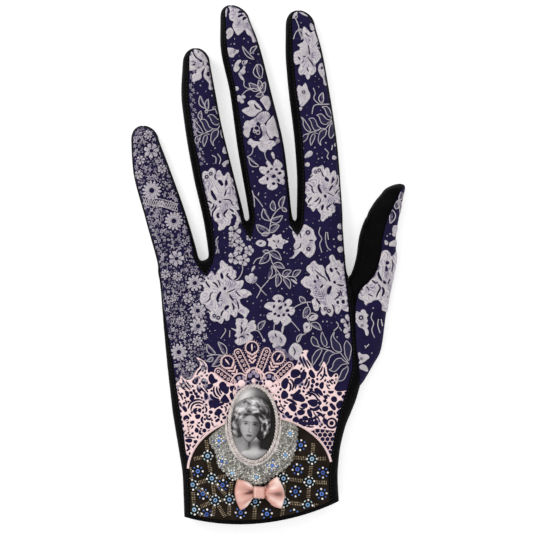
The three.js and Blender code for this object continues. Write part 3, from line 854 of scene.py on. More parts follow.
# %% How high the glove is
GRID = 0.5
grid_x = np.arange(-71, 71 + GRID, GRID)
grid_y = np.arange(-133, 132 + GRID, GRID)
heights = np.zeros((len(grid_y), len(grid_x)))
for row, y in enumerate(grid_y):
    for k, x in enumerate(grid_x):
        hit = skin_tree.ray_cast(Vector((x, y, COLUMN[1])) * MM, Vector((0, 0, -1)))[0]
        heights[row, k] = hit.z / MM if hit else 0


def height_at(x, y):
    """The skin's height over plan points, between the grid's points."""
    u = np.clip((np.asarray(x, float) - grid_x[0]) / GRID, 0, len(grid_x) - 1.001)
    v = np.clip((np.asarray(y, float) - grid_y[0]) / GRID, 0, len(grid_y) - 1.001)
    k, row = u.astype(int), v.astype(int)
    s, t = u - k, v - row
    low = heights[row, k] * (1 - s) + heights[row, k + 1] * s
    high = heights[row + 1, k] * (1 - s) + heights[row + 1, k + 1] * s
    return low * (1 - t) + high * t


SLOPE_REACH = 0.6


def normal_at(x, y):
    """The skin's upward normals over plan points."""
    reach = SLOPE_REACH
    across = (height_at(x + reach, y) - height_at(x - reach, y)) / (2 * reach)
    along = (height_at(x, y + reach) - height_at(x, y - reach)) / (2 * reach)
    normal = np.stack([-across, -along, np.ones_like(across)], axis=-1)
    return normal / np.linalg.norm(normal, axis=-1, keepdims=True)


print("highest point of the skin:", round(float(heights.max()), 2), "mm")


# %% [markdown]
# ## Making a piece
#
# Each finished mesh becomes one object at the origin, with its place in its vertices. It rides on
# the glove's only body and takes its finish, and where it stands for a CAD solid, that solid is
# hidden.

# %% One piece
def piece(name, mesh, finish, slot_name, *stands_for, crease=40):
    """An object of the scene, smooth up to an angle of crease in degrees, or all over at 0."""
    mesh.materials.clear()
    mesh.materials.append(finish.material)
    mesh.shade_smooth()
    if crease:
        mesh.set_sharp_from_angle(angle=math.radians(crease))
    mesh.name = name
    made = bpy.data.objects.new(name, mesh)
    bpy.context.collection.objects.link(made)
    if stands_for:
        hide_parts(*stands_for)
    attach(made, "root")


def rgb(red, green, blue):
    """A colour as it looks on a screen, 0 to 255, as the shader's light values."""
    parts = [channel / 255 for channel in (red, green, blue)]
    return tuple(c / 12.92 if c <= 0.04045 else ((c + 0.055) / 1.055) ** 2.4 for c in parts)


# %% [markdown]
# ## Leather
#
# Glove leather is thin, dyed through and finished semi-matt. Its grain is a net of tiny cells,
# under a millimetre wide, on top of slow creases where the skin gives. Voronoi cells make the
# grain, stretched noise makes the creases, and both feed one Bump node. Edges and high creases
# wear slightly shinier, so the same noise lowers the roughness there.

# %% Black leather
leather = Finish("black_glove_leather", roughness=0.5, specular=0.05)
grain = leather.cells(1300, "DISTANCE_TO_EDGE").between(0.0, 0.35)
fine = leather.noise(2600, detail=3)
creases = leather.noise(120, detail=5, roughness=0.6)
folds = leather.noise(45, detail=2)
leather.colour(leather.mix(creases.between(0.35, 0.75), rgb(1, 1, 2), rgb(6, 6, 7)))
leather.rough(0.62 - creases * 0.18 + (1 - grain) * 0.1)
leather.relief(grain * 0.5 + fine * 0.25 + creases * 1.6 + folds * 2.0, 0.0003, 0.8)

LEATHER_PIECES = {
    "outer_side_leather": "outer_side",
    "thumb_side_leather": "thumb_side_strip",
    "fork_leather_little": "fork_little_ring",
    "fork_leather_middle": "fork_ring_middle",
    "fork_leather_index": "fork_middle_index",
    "thumb_inner_leather": "thumb_inner",
    "thumb_palm_leather": "thumb_palm",
    "palm_leather": "palm_panel",
    "hem_leather": "hem_binding",
}
for name, node in LEATHER_PIECES.items():
    piece(name, cut_pieces[name], leather, "leather", node)
print(len(LEATHER_PIECES), "pieces of leather")

# %% [markdown]
# ## Navy cloth
#
# Under the floral lace lies a navy net cloth: crossed threads about half a millimetre apart that
# catch a little light. Two sine waves over the object's own coordinates make the threads, and
# slow noise keeps the dye from looking printed.

# %% Navy net cloth
THREAD = 0.62  # mm between two threads


def threads(finish, spacing):
    """Two crossed sets of threads, 1 on a thread and 0 in the gaps."""
    x, y, _ = finish.axes()
    turns = 2 * math.pi / (spacing * MM)
    warp = ((x + y) * turns).math("SINE") * 0.5 + 0.5
    weft = ((x - y) * turns).math("SINE") * 0.5 + 0.5
    return warp.math("MAXIMUM", weft)


navy = Finish("navy_net_cloth", 0.85, 0.06, Sheen_Weight=0.03, Sheen_Roughness=0.5)
net_threads = threads(navy, THREAD)
dye = navy.noise(220, detail=4)
lightness = (net_threads * 0.45 + dye * 0.55).between(0.3, 0.95)
navy.colour(navy.mix(lightness, rgb(18, 14, 41), rgb(37, 31, 72)))
navy.relief(net_threads + dye * 0.4, 0.00012, 0.6)
piece("back_cloth", cut_pieces["back_cloth"], navy, "lace_cloth", "back_panel")
piece("thumb_cloth", cut_pieces["thumb_cloth"], navy, "lace_cloth", "thumb_back")

# %% [markdown]
# ## The cuff's brown cloth
#
# The domed part of the cuff is dark brown cloth. Its ground is a close ribbed weave, a little
# lighter on the ribs.

# %% Brown cuff cloth
cuff = Finish("brown_cuff_cloth", roughness=0.9, specular=0.06)
ribs = threads(cuff, 0.5)
shade = cuff.noise(160, detail=4)
lightness = (ribs * 0.4 + shade * 0.6).between(0.3, 0.9)
cuff.colour(cuff.mix(lightness, rgb(20, 15, 11), rgb(46, 37, 30)))
cuff.relief(ribs + shade * 0.5, 0.00012, 0.6)
piece("cuff_cloth", cut_pieces["cuff_cloth"], cuff, "cuff_cloth", "cuff_panel")

# %% [markdown]
# ## A builder for needlework
#
# Everything sewn on the glove is made of the same few shapes: a raised petal, a cord and a knot.
# The builder gathers them as plan points with a lift above the skin, and only at the end asks the
# height of the skin under each point, so the work follows every curve. Each vertex also keeps a
# tone, from dark thread to light, and how far along its petal it lies, for the material to use.
# Each shape is a small closed body that reaches a little into the cloth.

# %% Petals, cords and knots
ROOT = -0.35  # how far needlework reaches into the cloth, in mm
RIM_STEP, RIM_WIDTH = 0.8, 0.42
CLOTH_STEP, CLOTH_LIFT = 1.5, 0.55
HOLE_STEP, HOLE_GROWTH = 0.5, 0.3
SLIT_GROWTH = 1.5
RAYS = 3.4  # how closely thread lines fan out from a patch's middle


def store(mesh, label, numbers):
    """Keeps a number for each vertex, for a material or a node tree to read."""
    attribute = mesh.attributes.new(label, "FLOAT", "POINT")
    attribute.data.foreach_set("value", np.array(numbers, np.float32))


class Needlework:
    """Raised shapes over plan points in millimetres, gathered into one mesh."""

    def __init__(self):
        self.points, self.faces, self.tones, self.alongs = [], [], [], []

    def add(self, points, faces, tones, alongs=None):
        start = len(self.points)
        self.points.extend(points)
        self.faces.extend(tuple(start + k for k in face) for face in faces)
        self.tones.extend(tones)
        self.alongs.extend(alongs or [0.0] * len(points))

    def petal(self, x0, y0, x1, y1, width, tone=0.95, lift=0.5, sides=12, base_lift=0.0):
        """A rounded petal from its narrow foot to its tip, highest inside its rim."""
        length = math.hypot(x1 - x0, y1 - y0)
        ux, uy = (x1 - x0) / length, (y1 - y0) / length
        shoulder, top = base_lift + lift * 0.45, base_lift + lift
        layers = [(1.0, ROOT, 0.0), (1.0, shoulder, 0.0), (0.66, top, -0.05)]
        points, tones, alongs = [], [], []
        for scale, height, shade in layers:
            for k in range(sides):
                turn = 2 * math.pi * k / sides
                a = 0.5 - 0.5 * math.cos(turn)
                wave = 1 + 0.06 * math.sin(5 * turn + x0 * 7 + y0 * 3)
                half = 0.5 * width * math.sin(turn) * (0.62 + 0.5 * a) * wave * scale
                reach = length * (0.5 + (a - 0.5) * scale)
                points.append((x0 + ux * reach - uy * half, y0 + uy * reach + ux * half, height))
                tones.append(max(0.0, tone + shade - (0.22 * (1 - a) if tone > 0.3 else 0)))
                alongs.append(reach)
        points.append((x0 + ux * length * 0.5, y0 + uy * length * 0.5, base_lift + lift * 0.86))
        tones.append(max(0.0, tone - 0.16 if tone > 0.3 else tone))
        alongs.append(length * 0.5)
        self.add(points, disc_faces(sides, len(layers)), tones, alongs)

    def knot(self, x, y, radius, tone=0.95, lift=0.5, sides=8, base_lift=0.0):
        """A round knot or seed."""
        layers = [(1.0, ROOT), (1.0, base_lift + lift * 0.4), (0.6, base_lift + lift * 0.9)]
        points = []
        for scale, height in layers:
            for k in range(sides):
                points.append((*polar(x, y, radius * scale, 2 * math.pi * k / sides), height))
        points.append((x, y, base_lift + lift))
        self.add(points, disc_faces(sides, len(layers)), [tone] * len(points))

    def star(self, x, y, radius, rays, turn0=0.0, tone=0.95, lift=0.45, core=0.5):
        """A small flower with pointed petals and a sunk middle."""
        points, tones = [], []
        for scale, height, share in ((1.0, ROOT, 1), (1.0, lift * 0.5, 1), (0.45, lift, 0.8)):
            for k in range(2 * rays):
                turn = math.pi * k / rays + turn0
                reach = radius * scale * (1 if k % 2 == 0 else core)
                points.append((*polar(x, y, reach, turn), height))
                tones.append(tone * share)
        points.append((x, y, lift * 0.35))
        tones.append(tone * 0.3)
        self.add(points, disc_faces(2 * rays, 3), tones)

    def cord(self, path, width=0.55, lift=0.45, tone=0.9, closed=False, step=0.9, base_lift=0.0):
        """A cord laid along a smooth line through plan points."""
        line = smooth_line(path, step, closed)
        after, before = np.roll(line, -1, axis=0), np.roll(line, 1, axis=0)
        if not closed:
            after[-1], before[0] = line[-1], line[0]
        side = directions(after - before)[1]
        shoulder, top = base_lift + lift * 0.55, base_lift + lift
        profile = [(-0.5, ROOT), (-0.46, shoulder), (0, top), (0.46, shoulder), (0.5, ROOT)]
        points = []
        for (x, y), (across_x, across_y) in zip(line, side):
            for share, height in profile:
                points.append((x + across_x * share * width, y + across_y * share * width, height))
        faces = tube_faces(len(line), len(profile), closed)
        alongs = [float(v) for v in np.repeat(lengths_along(line), len(profile))]
        self.add(points, faces, [tone] * len(points), alongs)

    def ring(self, x, y, radius, width=0.5, lift=0.5, tone=0.9, base_lift=0.0):
        """A closed round cord."""
        self.cord(oval(x, y, radius, radius, 0.0, 14), width, lift, tone, True, 0.7, base_lift)

    def cutwork(self, rim, slits=(), eyes=(), tints=()):
        """A patch of close thread with a raised rim, cut through by slits.

        A slit of width 0 is a hole with that outline. Tints are greyer spots."""
        edge = smooth_line(rim, RIM_STEP, True)
        holes = [hole_outline(path, width) for width, path in slits]
        closed = [np.vstack([line, line[:1]]) for line in (edge, *holes)]
        corners, cells = cut_cells(edge, holes, closed)
        cells, border = unpinched(cells, len(corners))
        used = np.unique(cells)
        number = np.zeros(len(corners), int)
        number[used] = np.arange(len(used))
        corners, cells, border = corners[used], number[cells].tolist(), number[border].tolist()
        count = len(used)
        off_rim = off_lines(corners, closed)
        on_rim = np.clip(off_rim / RIM_WIDTH, 0, 1)
        rise = 0.55 + 0.45 * on_rim - 0.16 * np.clip(off_rim - RIM_WIDTH, 0, 1)
        tones = 0.72 + 0.26 * on_rim - 0.13 * np.clip(off_rim / RIM_WIDTH - 1, 0, 1)
        for x, y, wide, high in tints:
            far = ((corners[:, 0] - x) / wide) ** 2 + ((corners[:, 1] - y) / high) ** 2
            tones -= 0.36 * np.exp(-far)
        points = [(x, y, ROOT) for x, y in corners]
        points += [(x, y, CLOTH_LIFT * share) for (x, y), share in zip(corners, rise)]
        faces = [tuple(cell[::-1]) for cell in cells]
        faces += [tuple(k + count for k in cell) for cell in cells]
        faces += [(a, b, b + count, a + count) for a, b in border]
        middle = edge.mean(axis=0)
        swing = np.arctan2(corners[:, 1] - middle[1], corners[:, 0] - middle[0])
        alongs = [float(v) for v in np.abs(swing) * RAYS + off_rim * 0.55]
        self.add(points, faces, list(tones) * 2, alongs * 2)
        for x, y, radius in eyes:
            self.knot(x, y, radius, 0.0, 0.3, 12, CLOTH_LIFT * 0.8)
            self.ring(x, y, radius * 0.98, 0.3, 0.4, 0.9, base_lift=CLOTH_LIFT * 0.7)
            self.knot(x, y, radius * 0.36, 1.0, 0.5, 8, CLOTH_LIFT + 0.1)

    def mesh(self, name):
        """The whole work as one mesh in metres, still flat, with its lifts as heights."""
        made = mesh_from(name, np.array(self.points), self.faces)
        store(made, "tone", self.tones)
        store(made, "along", self.alongs)
        return made


def cut_cells(edge, holes, closed):
    """A patch's cloth as triangles: its corners, and three of them for each triangle."""
    low, high = edge.min(axis=0), edge.max(axis=0)
    columns = np.arange(low[0], high[0], CLOTH_STEP)
    across, up = np.meshgrid(columns, np.arange(low[1], high[1], CLOTH_STEP * 0.87))
    across[1::2] += CLOTH_STEP / 2
    free = np.column_stack([across.ravel(), up.ravel()])
    free = free[inside(free, edge)]
    if len(free):
        free = free[off_lines(free, closed) > RIM_WIDTH + 0.35]
    near_rim = [grown(edge, -RIM_WIDTH)] + [grown(hole, RIM_WIDTH) for hole in holes]
    near_rim = np.vstack(near_rim)
    near_rim = near_rim[inside(near_rim, edge)]
    near_rim = near_rim[off_lines(near_rim, closed) > RIM_WIDTH * 0.8]
    flat, links = [*near_rim, *free], []
    for line in (edge, *holes):
        start = len(flat)
        flat += list(line)
        links += [(start + k, start + (k + 1) % len(line)) for k in range(len(line))]
    found = delaunay_2d_cdt([Vector(point) for point in flat], links, [], 1, 1e-4)
    corners, cells = np.array([tuple(corner) for corner in found[0]]), np.array(found[2])
    middles = corners[cells].mean(axis=1)
    in_cloth = inside(middles, edge)
    for hole in holes:
        in_cloth &= ~inside(middles, hole)
    return corners, cells[in_cloth]


def unpinched(cells, count):
    """Triangles without those that only touch at a corner, and the edges of what is left."""
    while True:
        sides = {(a, b): 1 for cell in cells.tolist() for a, b in zip(cell, cell[1:] + cell[:1])}
        border = [(a, b) for a, b in sides if (b, a) not in sides]
        starts = np.bincount([a for a, _ in border], minlength=count)
        pinched = np.flatnonzero(starts > 1)
        if not len(pinched):
            return cells, np.array(border)
        cells = cells[~np.isin(cells, pinched[:1]).any(axis=1)]


def draped(mesh, wrap=None):
    """A flat mesh laid on the skin; wrap may carry points round a digit's side first."""
    places = corners_of(mesh)
    lifts = places[:, 2].copy()
    places[:, 2] += height_at(places[:, 0], places[:, 1])
    if wrap:
        for k in np.flatnonzero(wrap(places[:, 0], places[:, 1]) > 0):
            x, y = places[k, :2]
            past = float(wrap(x, y))
            guess = Vector((x - past, y, float(height_at(x - past, y)) - past)) * MM
            spot, normal = skin_tree.find_nearest(guess)[:2]
            places[k] = np.array(spot) / MM + np.array(normal) * lifts[k]
    move_corners(mesh, places)
    return mesh


def directions(steps):
    """Unit vectors along a line's steps, and the same turned to the left."""
    along = steps / np.maximum(np.linalg.norm(steps, axis=1), 1e-9)[:, None]
    return along, np.stack([-along[:, 1], along[:, 0]], axis=1)


def lengths_along(line):
    """How far along a line each of its points lies."""
    steps = np.linalg.norm(np.diff(line, axis=0), axis=1)
    return np.concatenate([[0], np.cumsum(steps)])


def hole_outline(path, width):
    """A slit's outline, a narrow strip drawn in at both ends, or at width 0 a hole's own."""
    if not width:
        return grown(smooth_line(path, HOLE_STEP, True), HOLE_GROWTH)
    line = smooth_line(path, HOLE_STEP)
    side = directions(np.gradient(line, axis=0))[1]
    ends = np.sin(np.linspace(0.25, math.pi - 0.25, len(line))) ** 0.5
    half = (SLIT_GROWTH * 0.5 * width * ends)[:, None] * side
    return np.vstack([line + half, (line - half)[::-1]])


def pairs(numbers):
    """Plan points in millimetres from a flat list of tenths of a millimetre."""
    return [(x / 10, y / 10) for x, y in zip(numbers[::2], numbers[1::2])]


def inside(points, outline):
    """Which plan points lie inside an outline, by counting crossings."""
    points, edge = np.atleast_2d(points), np.array(outline, float)
    found = np.zeros(len(points), bool)
    for (x0, y0), (x1, y1) in zip(edge, np.roll(edge, -1, axis=0)):
        spans = (y0 > points[:, 1]) != (y1 > points[:, 1])
        if y0 != y1:
            found ^= spans & (points[:, 0] < x0 + (points[:, 1] - y0) / (y1 - y0) * (x1 - x0))
    return found


def disc_faces(sides, layers):
    """Faces of a low closed mound: a floor, rings of sides and a fan on top."""
    faces = [tuple(range(sides))[::-1]]
    for layer in range(layers - 1):
        for k in range(sides):
            a, b = layer * sides + k, layer * sides + (k + 1) % sides
            faces.append((a, b, b + sides, a + sides))
    top = (layers - 1) * sides
    faces += [(top + k, top + (k + 1) % sides, layers * sides) for k in range(sides)]
    return faces


def turned(x, y, u, v, turn):
    """A point at u, v from another, with both turned round it."""
    cosine, sine = math.cos(turn), math.sin(turn)
    return x + u * cosine - v * sine, y + u * sine + v * cosine


def oval(x, y, half_width, half_length, turn=0.0, count=24):
    """The closed outline of an ellipse."""
    points = []
    for k in range(count):
        angle = 2 * math.pi * k / count
        u, v = half_width * math.cos(angle), half_length * math.sin(angle)
        points.append(turned(x, y, u, v, turn))
    return points


def smooth_line(path, step, closed=False):
    """Evenly spaced plan points on a smooth curve through a path's points."""
    knots = np.array(path, float)
    if closed:
        knots = np.vstack([knots[-1], knots, knots[0], knots[1]])
    else:
        knots = np.vstack([2 * knots[0] - knots[1], knots, 2 * knots[-1] - knots[-2]])
    fine = []
    for a, b, c, d in zip(knots[:-3], knots[1:-2], knots[2:-1], knots[3:]):
        parts = max(2, int(np.linalg.norm(c - b) / step * 2))
        t = np.linspace(0, 1, parts, endpoint=False)[:, None]
        squares, cubes = 2 * a - 5 * b + 4 * c - d, 3 * b - a - 3 * c + d
        fine.append(0.5 * (2 * b + (c - a) * t + squares * t**2 + cubes * t**3))
    fine = np.vstack(fine + [knots[-2][None]])
    lengths = lengths_along(fine)
    count = max(3, round(lengths[-1] / step) + 1)
    places = np.linspace(0, lengths[-1], count)
    line = np.stack([np.interp(places, lengths, fine[:, k]) for k in (0, 1)], axis=1)
    return line[:-1] if closed else line


def leaf_outline(x0, y0, x1, y1, width, bend):
    """The closed outline of a leaf that bends to one side on its way to a sharp tip."""
    length = math.hypot(x1 - x0, y1 - y0)
    ux, uy = (x1 - x0) / length, (y1 - y0) / length
    right, left = [], []
    for a in (0.0, 0.12, 0.3, 0.5, 0.7, 0.88, 1.0):
        half = 0.5 * width * math.sin(math.pi * a**0.8) ** 0.9 if 0 < a < 1 else 0.0
        spine = bend * length * math.sin(math.pi * a)
        reach = length * a
        for side, edge in ((1, right), (-1, left)):
            off = spine + side * half
            edge.append((x0 + ux * reach - uy * off, y0 + uy * reach + ux * off))
    return right + left[-2:0:-1]


# %% [markdown]
# ## Floral lace
#
# The lace on the back is a traditional floral one: large roses with slit petals, small open
# blossoms, sprays of outlined leaves on curling stems, and dots between them. Along the little
# finger the flowers are small and crowded. Each large flower is a patch of its own, with a rim,
# slits, eyes and greyer tints, written as x and y by turns in tenths of a millimetre. One spray is
# written once around its middle and laid three times. Flowers are laid one by one, because a random
# scatter never fills the fingers as a lace maker would. Only the crowd of tiny flowers and the
# specks of the ground net are scattered, from fixed seeds.

# %% Where the flowers lie
SPRAY_LEAVES = [
    [-33, -3, -46, -1, -58, 7, -68, 22, -73, 37, -72, 52, -83, 72, -68, 59, -56, 42, -43, 22,
     -36, 7],
    [17, 15, 4, 22, -3, 32, -6, 43, -11, 54, -21, 65, -36, 65, -46, 61, -41, 57, -33, 44, -28, 27,
     -21, 12, -13, 4, 2, 4],
    [74, 55, 57, 57, 44, 61, 34, 72, 24, 82, 14, 87, -7, 79, 2, 77, 9, 67, 12, 54, 19, 42, 29, 35,
     44, 34, 54, 44],
    [69, 64, 62, 72, 52, 77, 44, 89, 37, 107, 29, 117, 19, 122, 44, 124, 57, 114, 64, 99, 71, 82],
    [-43, -16, -63, -16, -73, -26, -77, -38, -72, -53, -63, -48, -53, -38, -49, -23],
    [-21, -13, -31, -23, -36, -36, -38, -51, -33, -73, -28, -61, -21, -48, -16, -36, -13, -23],
    [27, 7, 14, -1, 7, -13, 4, -31, 2, -43, 7, -58, 17, -73, 13, -53, 24, -36, 37, -23, 42, -8,
     44, 7],
    [74, 44, 67, 34, 59, 19, 57, 2, 56, -18, 65, -36, 77, -23, 84, -8, 82, 12],
]
SPRAY_STEMS = [
    [74, 55, 49, 24, 39, 12, 17, 14, -3, 3, -23, -3, -48, -12, -68, -18],
    [-18, -8, -1, -12],
]
CUTWORK = [
    {"rim": [-258, -45, -248, -30, -238, -18, -241, 0, -238, 12, -228, 20, -218, 12, -210, 3,
         -200, -2, -198, -12, -185, -9, -176, -18, -176, -29, -165, -30, -156, -39, -161, -52,
         -158, -65, -162, -85, -140, -82, -122, -82, -123, -100, -130, -115, -138, -127, -118, -125,
         -100, -132, -88, -140, -78, -154, -95, -157, -106, -168, -125, -170, -140, -177,
         -138, -192, -125, -208, -105, -220, -92, -234, -100, -248, -108, -265, -116, -270,
         -125, -255, -138, -248, -150, -239, -154, -255, -162, -270, -172, -263, -182, -251,
         -188, -255, -192, -275, -203, -284, -213, -280, -221, -268, -221, -282, -232, -298,
         -245, -292, -255, -285, -268, -287, -280, -282, -290, -268, -290, -252, -298, -238,
         -308, -220, -315, -202, -332, -198, -340, -180, -338, -155, -332, -140, -318, -132,
         -320, -115, -328, -100, -318, -85, -310, -75, -318, -65, -300, -60, -290, -42, -282, -35,
         -272, -45, -265, -60],
     "slits": [(10, [-233, -45, -230, -60, -226, -75]), (6, [-198, -45, -205, -58, -192, -70,
         -182, -80]), (5, [-150, -67, -162, -72, -172, -88]), (6, [-275, -90, -260, -100,
         -248, -118]), (4, [-252, -78, -242, -95, -238, -110]), (6, [-310, -85, -302, -102,
         -290, -118]), (4, [-302, -68, -295, -75]), (10, [-211, -115, -218, -130]), (10,
         [-235, -138, -245, -155, -252, -175, -248, -190]), (6, [-192, -152, -182, -170,
         -172, -182]), (6, [-180, -195, -172, -210, -171, -230]), (12, [-195, -208, -208, -218,
         -215, -229]), (5, [-308, -220, -295, -232, -285, -240]), (6, [-235, -260, -228, -240,
         -220, -232]), (4, [-202, -142, -185, -135, -165, -125]), (4, [-160, -135, -148, -152,
         -135, -162]), (5, [-155, -185, -148, -205, -146, -225]), (4, [-275, -138, -288, -155,
         -290, -175, -305, -190])],
     "eyes": [(-268, -258, 11), (-248, -268, 12)],
     "tints": [(-185, -100, 30, 25), (-302, -200, 20, 18), (-165, -190, 13, 45),
         (-230, -180, 20, 25)]},
    {"rim": [248, 269, 257, 256, 265, 244, 262, 229, 265, 218, 274, 211, 283, 218, 290, 226,
         299, 231, 301, 240, 312, 237, 320, 244, 320, 255, 330, 256, 338, 264, 334, 276, 337, 287,
         332, 305, 353, 302, 368, 302, 367, 318, 361, 331, 355, 342, 373, 340, 388, 347, 399, 354,
         408, 366, 393, 369, 383, 378, 366, 381, 353, 386, 355, 401, 366, 414, 384, 425, 395, 438,
         388, 450, 382, 465, 374, 470, 366, 456, 355, 450, 344, 442, 340, 456, 333, 470, 323, 464,
         315, 453, 309, 456, 306, 474, 296, 482, 287, 479, 280, 468, 280, 481, 270, 495, 259, 489,
         250, 483, 239, 485, 228, 481, 219, 468, 219, 453, 212, 441, 203, 425, 196, 410, 181, 405,
         174, 390, 175, 367, 181, 354, 194, 346, 192, 331, 185, 318, 194, 305, 201, 296, 194, 287,
         210, 282, 219, 267, 225, 260, 234, 269, 241, 282],
     "slits": [(9, [269, 269, 272, 282, 276, 296]), (5, [301, 269, 294, 280, 306, 291, 315, 300]),
         (4, [344, 288, 332, 294, 323, 307]), (5, [232, 309, 245, 318, 257, 334]), (4, [252, 298,
         261, 314, 265, 327]), (5, [201, 305, 207, 320, 219, 334]), (4, [207, 289, 214, 296]), (9,
         [289, 331, 283, 345]), (8, [268, 352, 259, 367, 252, 385, 257, 398]), (6, [306, 365,
         315, 381, 323, 392]), (6, [317, 403, 323, 416, 325, 434]), (11, [303, 414, 292, 423,
         286, 433]), (4, [203, 425, 214, 436, 223, 443]), (5, [268, 461, 274, 443, 281, 436]), (3,
         [297, 356, 312, 349, 330, 340]), (4, [335, 349, 346, 365, 357, 374]), (4, [339, 394,
         346, 412, 347, 430]), (4, [232, 352, 221, 367, 219, 385, 205, 398])],
     "eyes": [(238, 459, 10), (256, 468, 11)],
     "tints": [(312, 318, 30, 25), (207, 407, 20, 18), (330, 398, 13, 45), (272, 390, 20, 25)]},
    {"rim": [-330, 430, -328, 452, -315, 465, -300, 462, -290, 475, -275, 481, -262, 470, -260, 455,
         -252, 465, -245, 470, -235, 465, -230, 450, -220, 438, -212, 448, -202, 460, -192, 452,
         -188, 438, -175, 425, -165, 405, -158, 380, -152, 355, -148, 330, -142, 305, -140, 285,
         -138, 272, -158, 269, -152, 260, -145, 240, -138, 220, -145, 200, -155, 190, -165, 200,
         -160, 215, -156, 230, -162, 242, -175, 250, -182, 252, -180, 240, -172, 232, -185, 225,
         -185, 210, -190, 195, -205, 192, -212, 185, -220, 175, -230, 170, -245, 165, -250, 180,
         -245, 192, -252, 205, -265, 215, -272, 230, -278, 248, -282, 240, -285, 222, -295, 240,
         -305, 270, -315, 305, -325, 340, -335, 380, -335, 410],
     "slits": [(12, [-248, 418, -235, 405, -226, 392]), (9, [-208, 420, -208, 405, -210, 390]), (11,
         [-282, 368, -278, 352, -268, 335, -258, 318]), (5, [-208, 372, -212, 355, -218, 340]), (9,
         [-245, 315, -235, 305]), (4, [-222, 322, -205, 322, -188, 318, -180, 302, -170, 292]), (5,
         [-270, 302, -272, 288, -285, 272]), (6, [-258, 295, -262, 278, -275, 260, -278, 235]), (6,
         [-192, 275, -180, 268, -170, 260]), (9, [-248, 255, -252, 240, -242, 230]), (6, [-200, 272,
         -212, 260, -220, 245, -212, 235]), (6, [-305, 315, -292, 310, -280, 302]), (4,
         [-178, 385, -172, 370]), (5, [-262, 450, -265, 432, -258, 420])],
     "eyes": [(-306, 435, 12), (-286, 451, 11)],
     "tints": [(-300, 390, 20, 25), (-200, 300, 30, 20), (-230, 260, 25, 25), (-190, 370, 15, 30)]},
    {"rim": [210, 0, 220, 10, 230, 18, 238, 15, 244, 2, 255, -5, 270, -5, 280, -20, 287, -42,
         290, -15, 300, -5, 312, 10, 305, 28, 308, 40, 322, 48, 332, 35, 342, 18, 358, 20, 365, 5,
         380, 0, 390, -25, 390, -50, 395, -75, 398, -100, 400, -130, 405, -160, 408, -190,
         405, -215, 402, -238, 378, -232, 368, -225, 358, -240, 348, -252, 335, -240, 330, -228,
         325, -242, 320, -260, 310, -262, 300, -250, 292, -245, 280, -258, 268, -248, 262, -230,
         265, -215, 255, -215, 252, -230, 238, -235, 228, -228, 225, -212, 220, -195, 218, -180,
         230, -172, 222, -160, 208, -152, 215, -140, 210, -125, 192, -120, 178, -110, 165, -95,
         165, -82, 178, -70, 188, -60, 202, -62, 212, -52, 198, -40, 190, -28, 195, -12],
     "slits": [(8, [285, -30, 292, -50, 302, -68, 310, -88]), (4, [235, -28, 250, -45, 265, -58,
         282, -68, 295, -85]), (6, [242, -55, 252, -75]), (10, [312, -20, 320, -40]), (10,
         [342, -18, 338, -28]), (5, [345, -35, 358, -55]), (12, [328, -95, 338, -88]), (13,
         [315, -110, 305, -130, 300, -152]), (6, [242, -172, 252, -190, 262, -202]), (12,
         [342, -192, 355, -190]), (11, [375, -178, 377, -198]), (4, [360, -130, 370, -160]), (8,
         [228, -85, 240, -90]), (6, [275, -102, 262, -120]), (5, [345, -102, 365, -108, 380, -105]),
         (5, [345, -140, 358, -150, 348, -165, 332, -178]), (5, [320, -202, 328, -218, 330, -235])],
     "eyes": [(286, -223, 11), (304, -234, 12)],
     "tints": [(240, -140, 15, 40), (270, -160, 20, 30), (365, -140, 15, 40), (250, -100, 20, 20)]},
    {"rim": [568, 60, 580, 68, 598, 68, 610, 55, 615, 38, 630, 48, 650, 62, 670, 45, 670, 10,
         665, -30, 658, -65, 650, -100, 642, -135, 638, -165, 635, -190, 625, -215, 610, -238,
         580, -235, 568, -228, 570, -208, 562, -192, 550, -180, 530, -182, 515, -192, 500, -195,
         490, -208, 482, -200, 480, -185, 465, -180, 452, -168, 450, -142, 455, -125, 470, -115,
         485, -100, 500, -80, 515, -60, 530, -35, 545, -10, 555, 20, 560, 40],
     "slits": [(13, [590, 12, 602, 0]), (7, [592, -10, 590, -35]), (5, [620, 20, 625, -10,
         618, -40]), (9, [550, -40, 555, -60, 568, -85]), (9, [575, -85, 588, -98]), (5, [520, -80,
         535, -95, 550, -92]), (4, [492, -112, 505, -130]), (6, [550, -100, 560, -120, 548, -145,
         542, -165]), (8, [570, -115, 578, -135, 570, -160]), (9, [598, -158, 602, -168]), (4,
         [500, -150, 520, -160]), (4, [608, -75, 600, -100])],
     "tints": [(595, -30, 20, 30), (615, -105, 15, 45), (520, -120, 20, 20)]},
    {"rim": [625, 190, 645, 195, 665, 190, 660, 160, 630, 155, 620, 162]},
    {"rim": [605, 105, 620, 115, 635, 120, 660, 120, 660, 90, 618, 88, 605, 90]},
    {"rim": [433, -251, 444, -234, 458, -242, 470, -226, 486, -231, 491, -246, 502, -254, 493, -268,
         499, -283, 492, -297, 503, -308, 495, -320, 503, -338, 499, -358, 488, -355, 482, -332,
         468, -320, 453, -314, 444, -297, 434, -286, 438, -268],
     "eyes": [(464, -268, 14), (470, -307, 8)]},
    {"rim": [449, -446, 457, -438, 462, -446, 474, -451, 490, -450, 504, -458, 506, -469, 494, -478,
         484, -487, 472, -493, 459, -499, 452, -493, 459, -482, 453, -469],
     "eyes": [(466, -472, 8)]},
    {"rim": [455, -511, 466, -502, 481, -502, 494, -513, 500, -527, 494, -538, 481, -533, 466, -527,
         457, -521]},
    {"rim": [-372, 1070, -355, 1080, -338, 1080, -320, 1070, -310, 1050, -300, 1030, -290, 1005,
         -305, 1008, -315, 1012, -330, 1022, -350, 1032, -360, 1050, -368, 1060],
     "slits": [(4, [-350, 1065, -345, 1055])]},
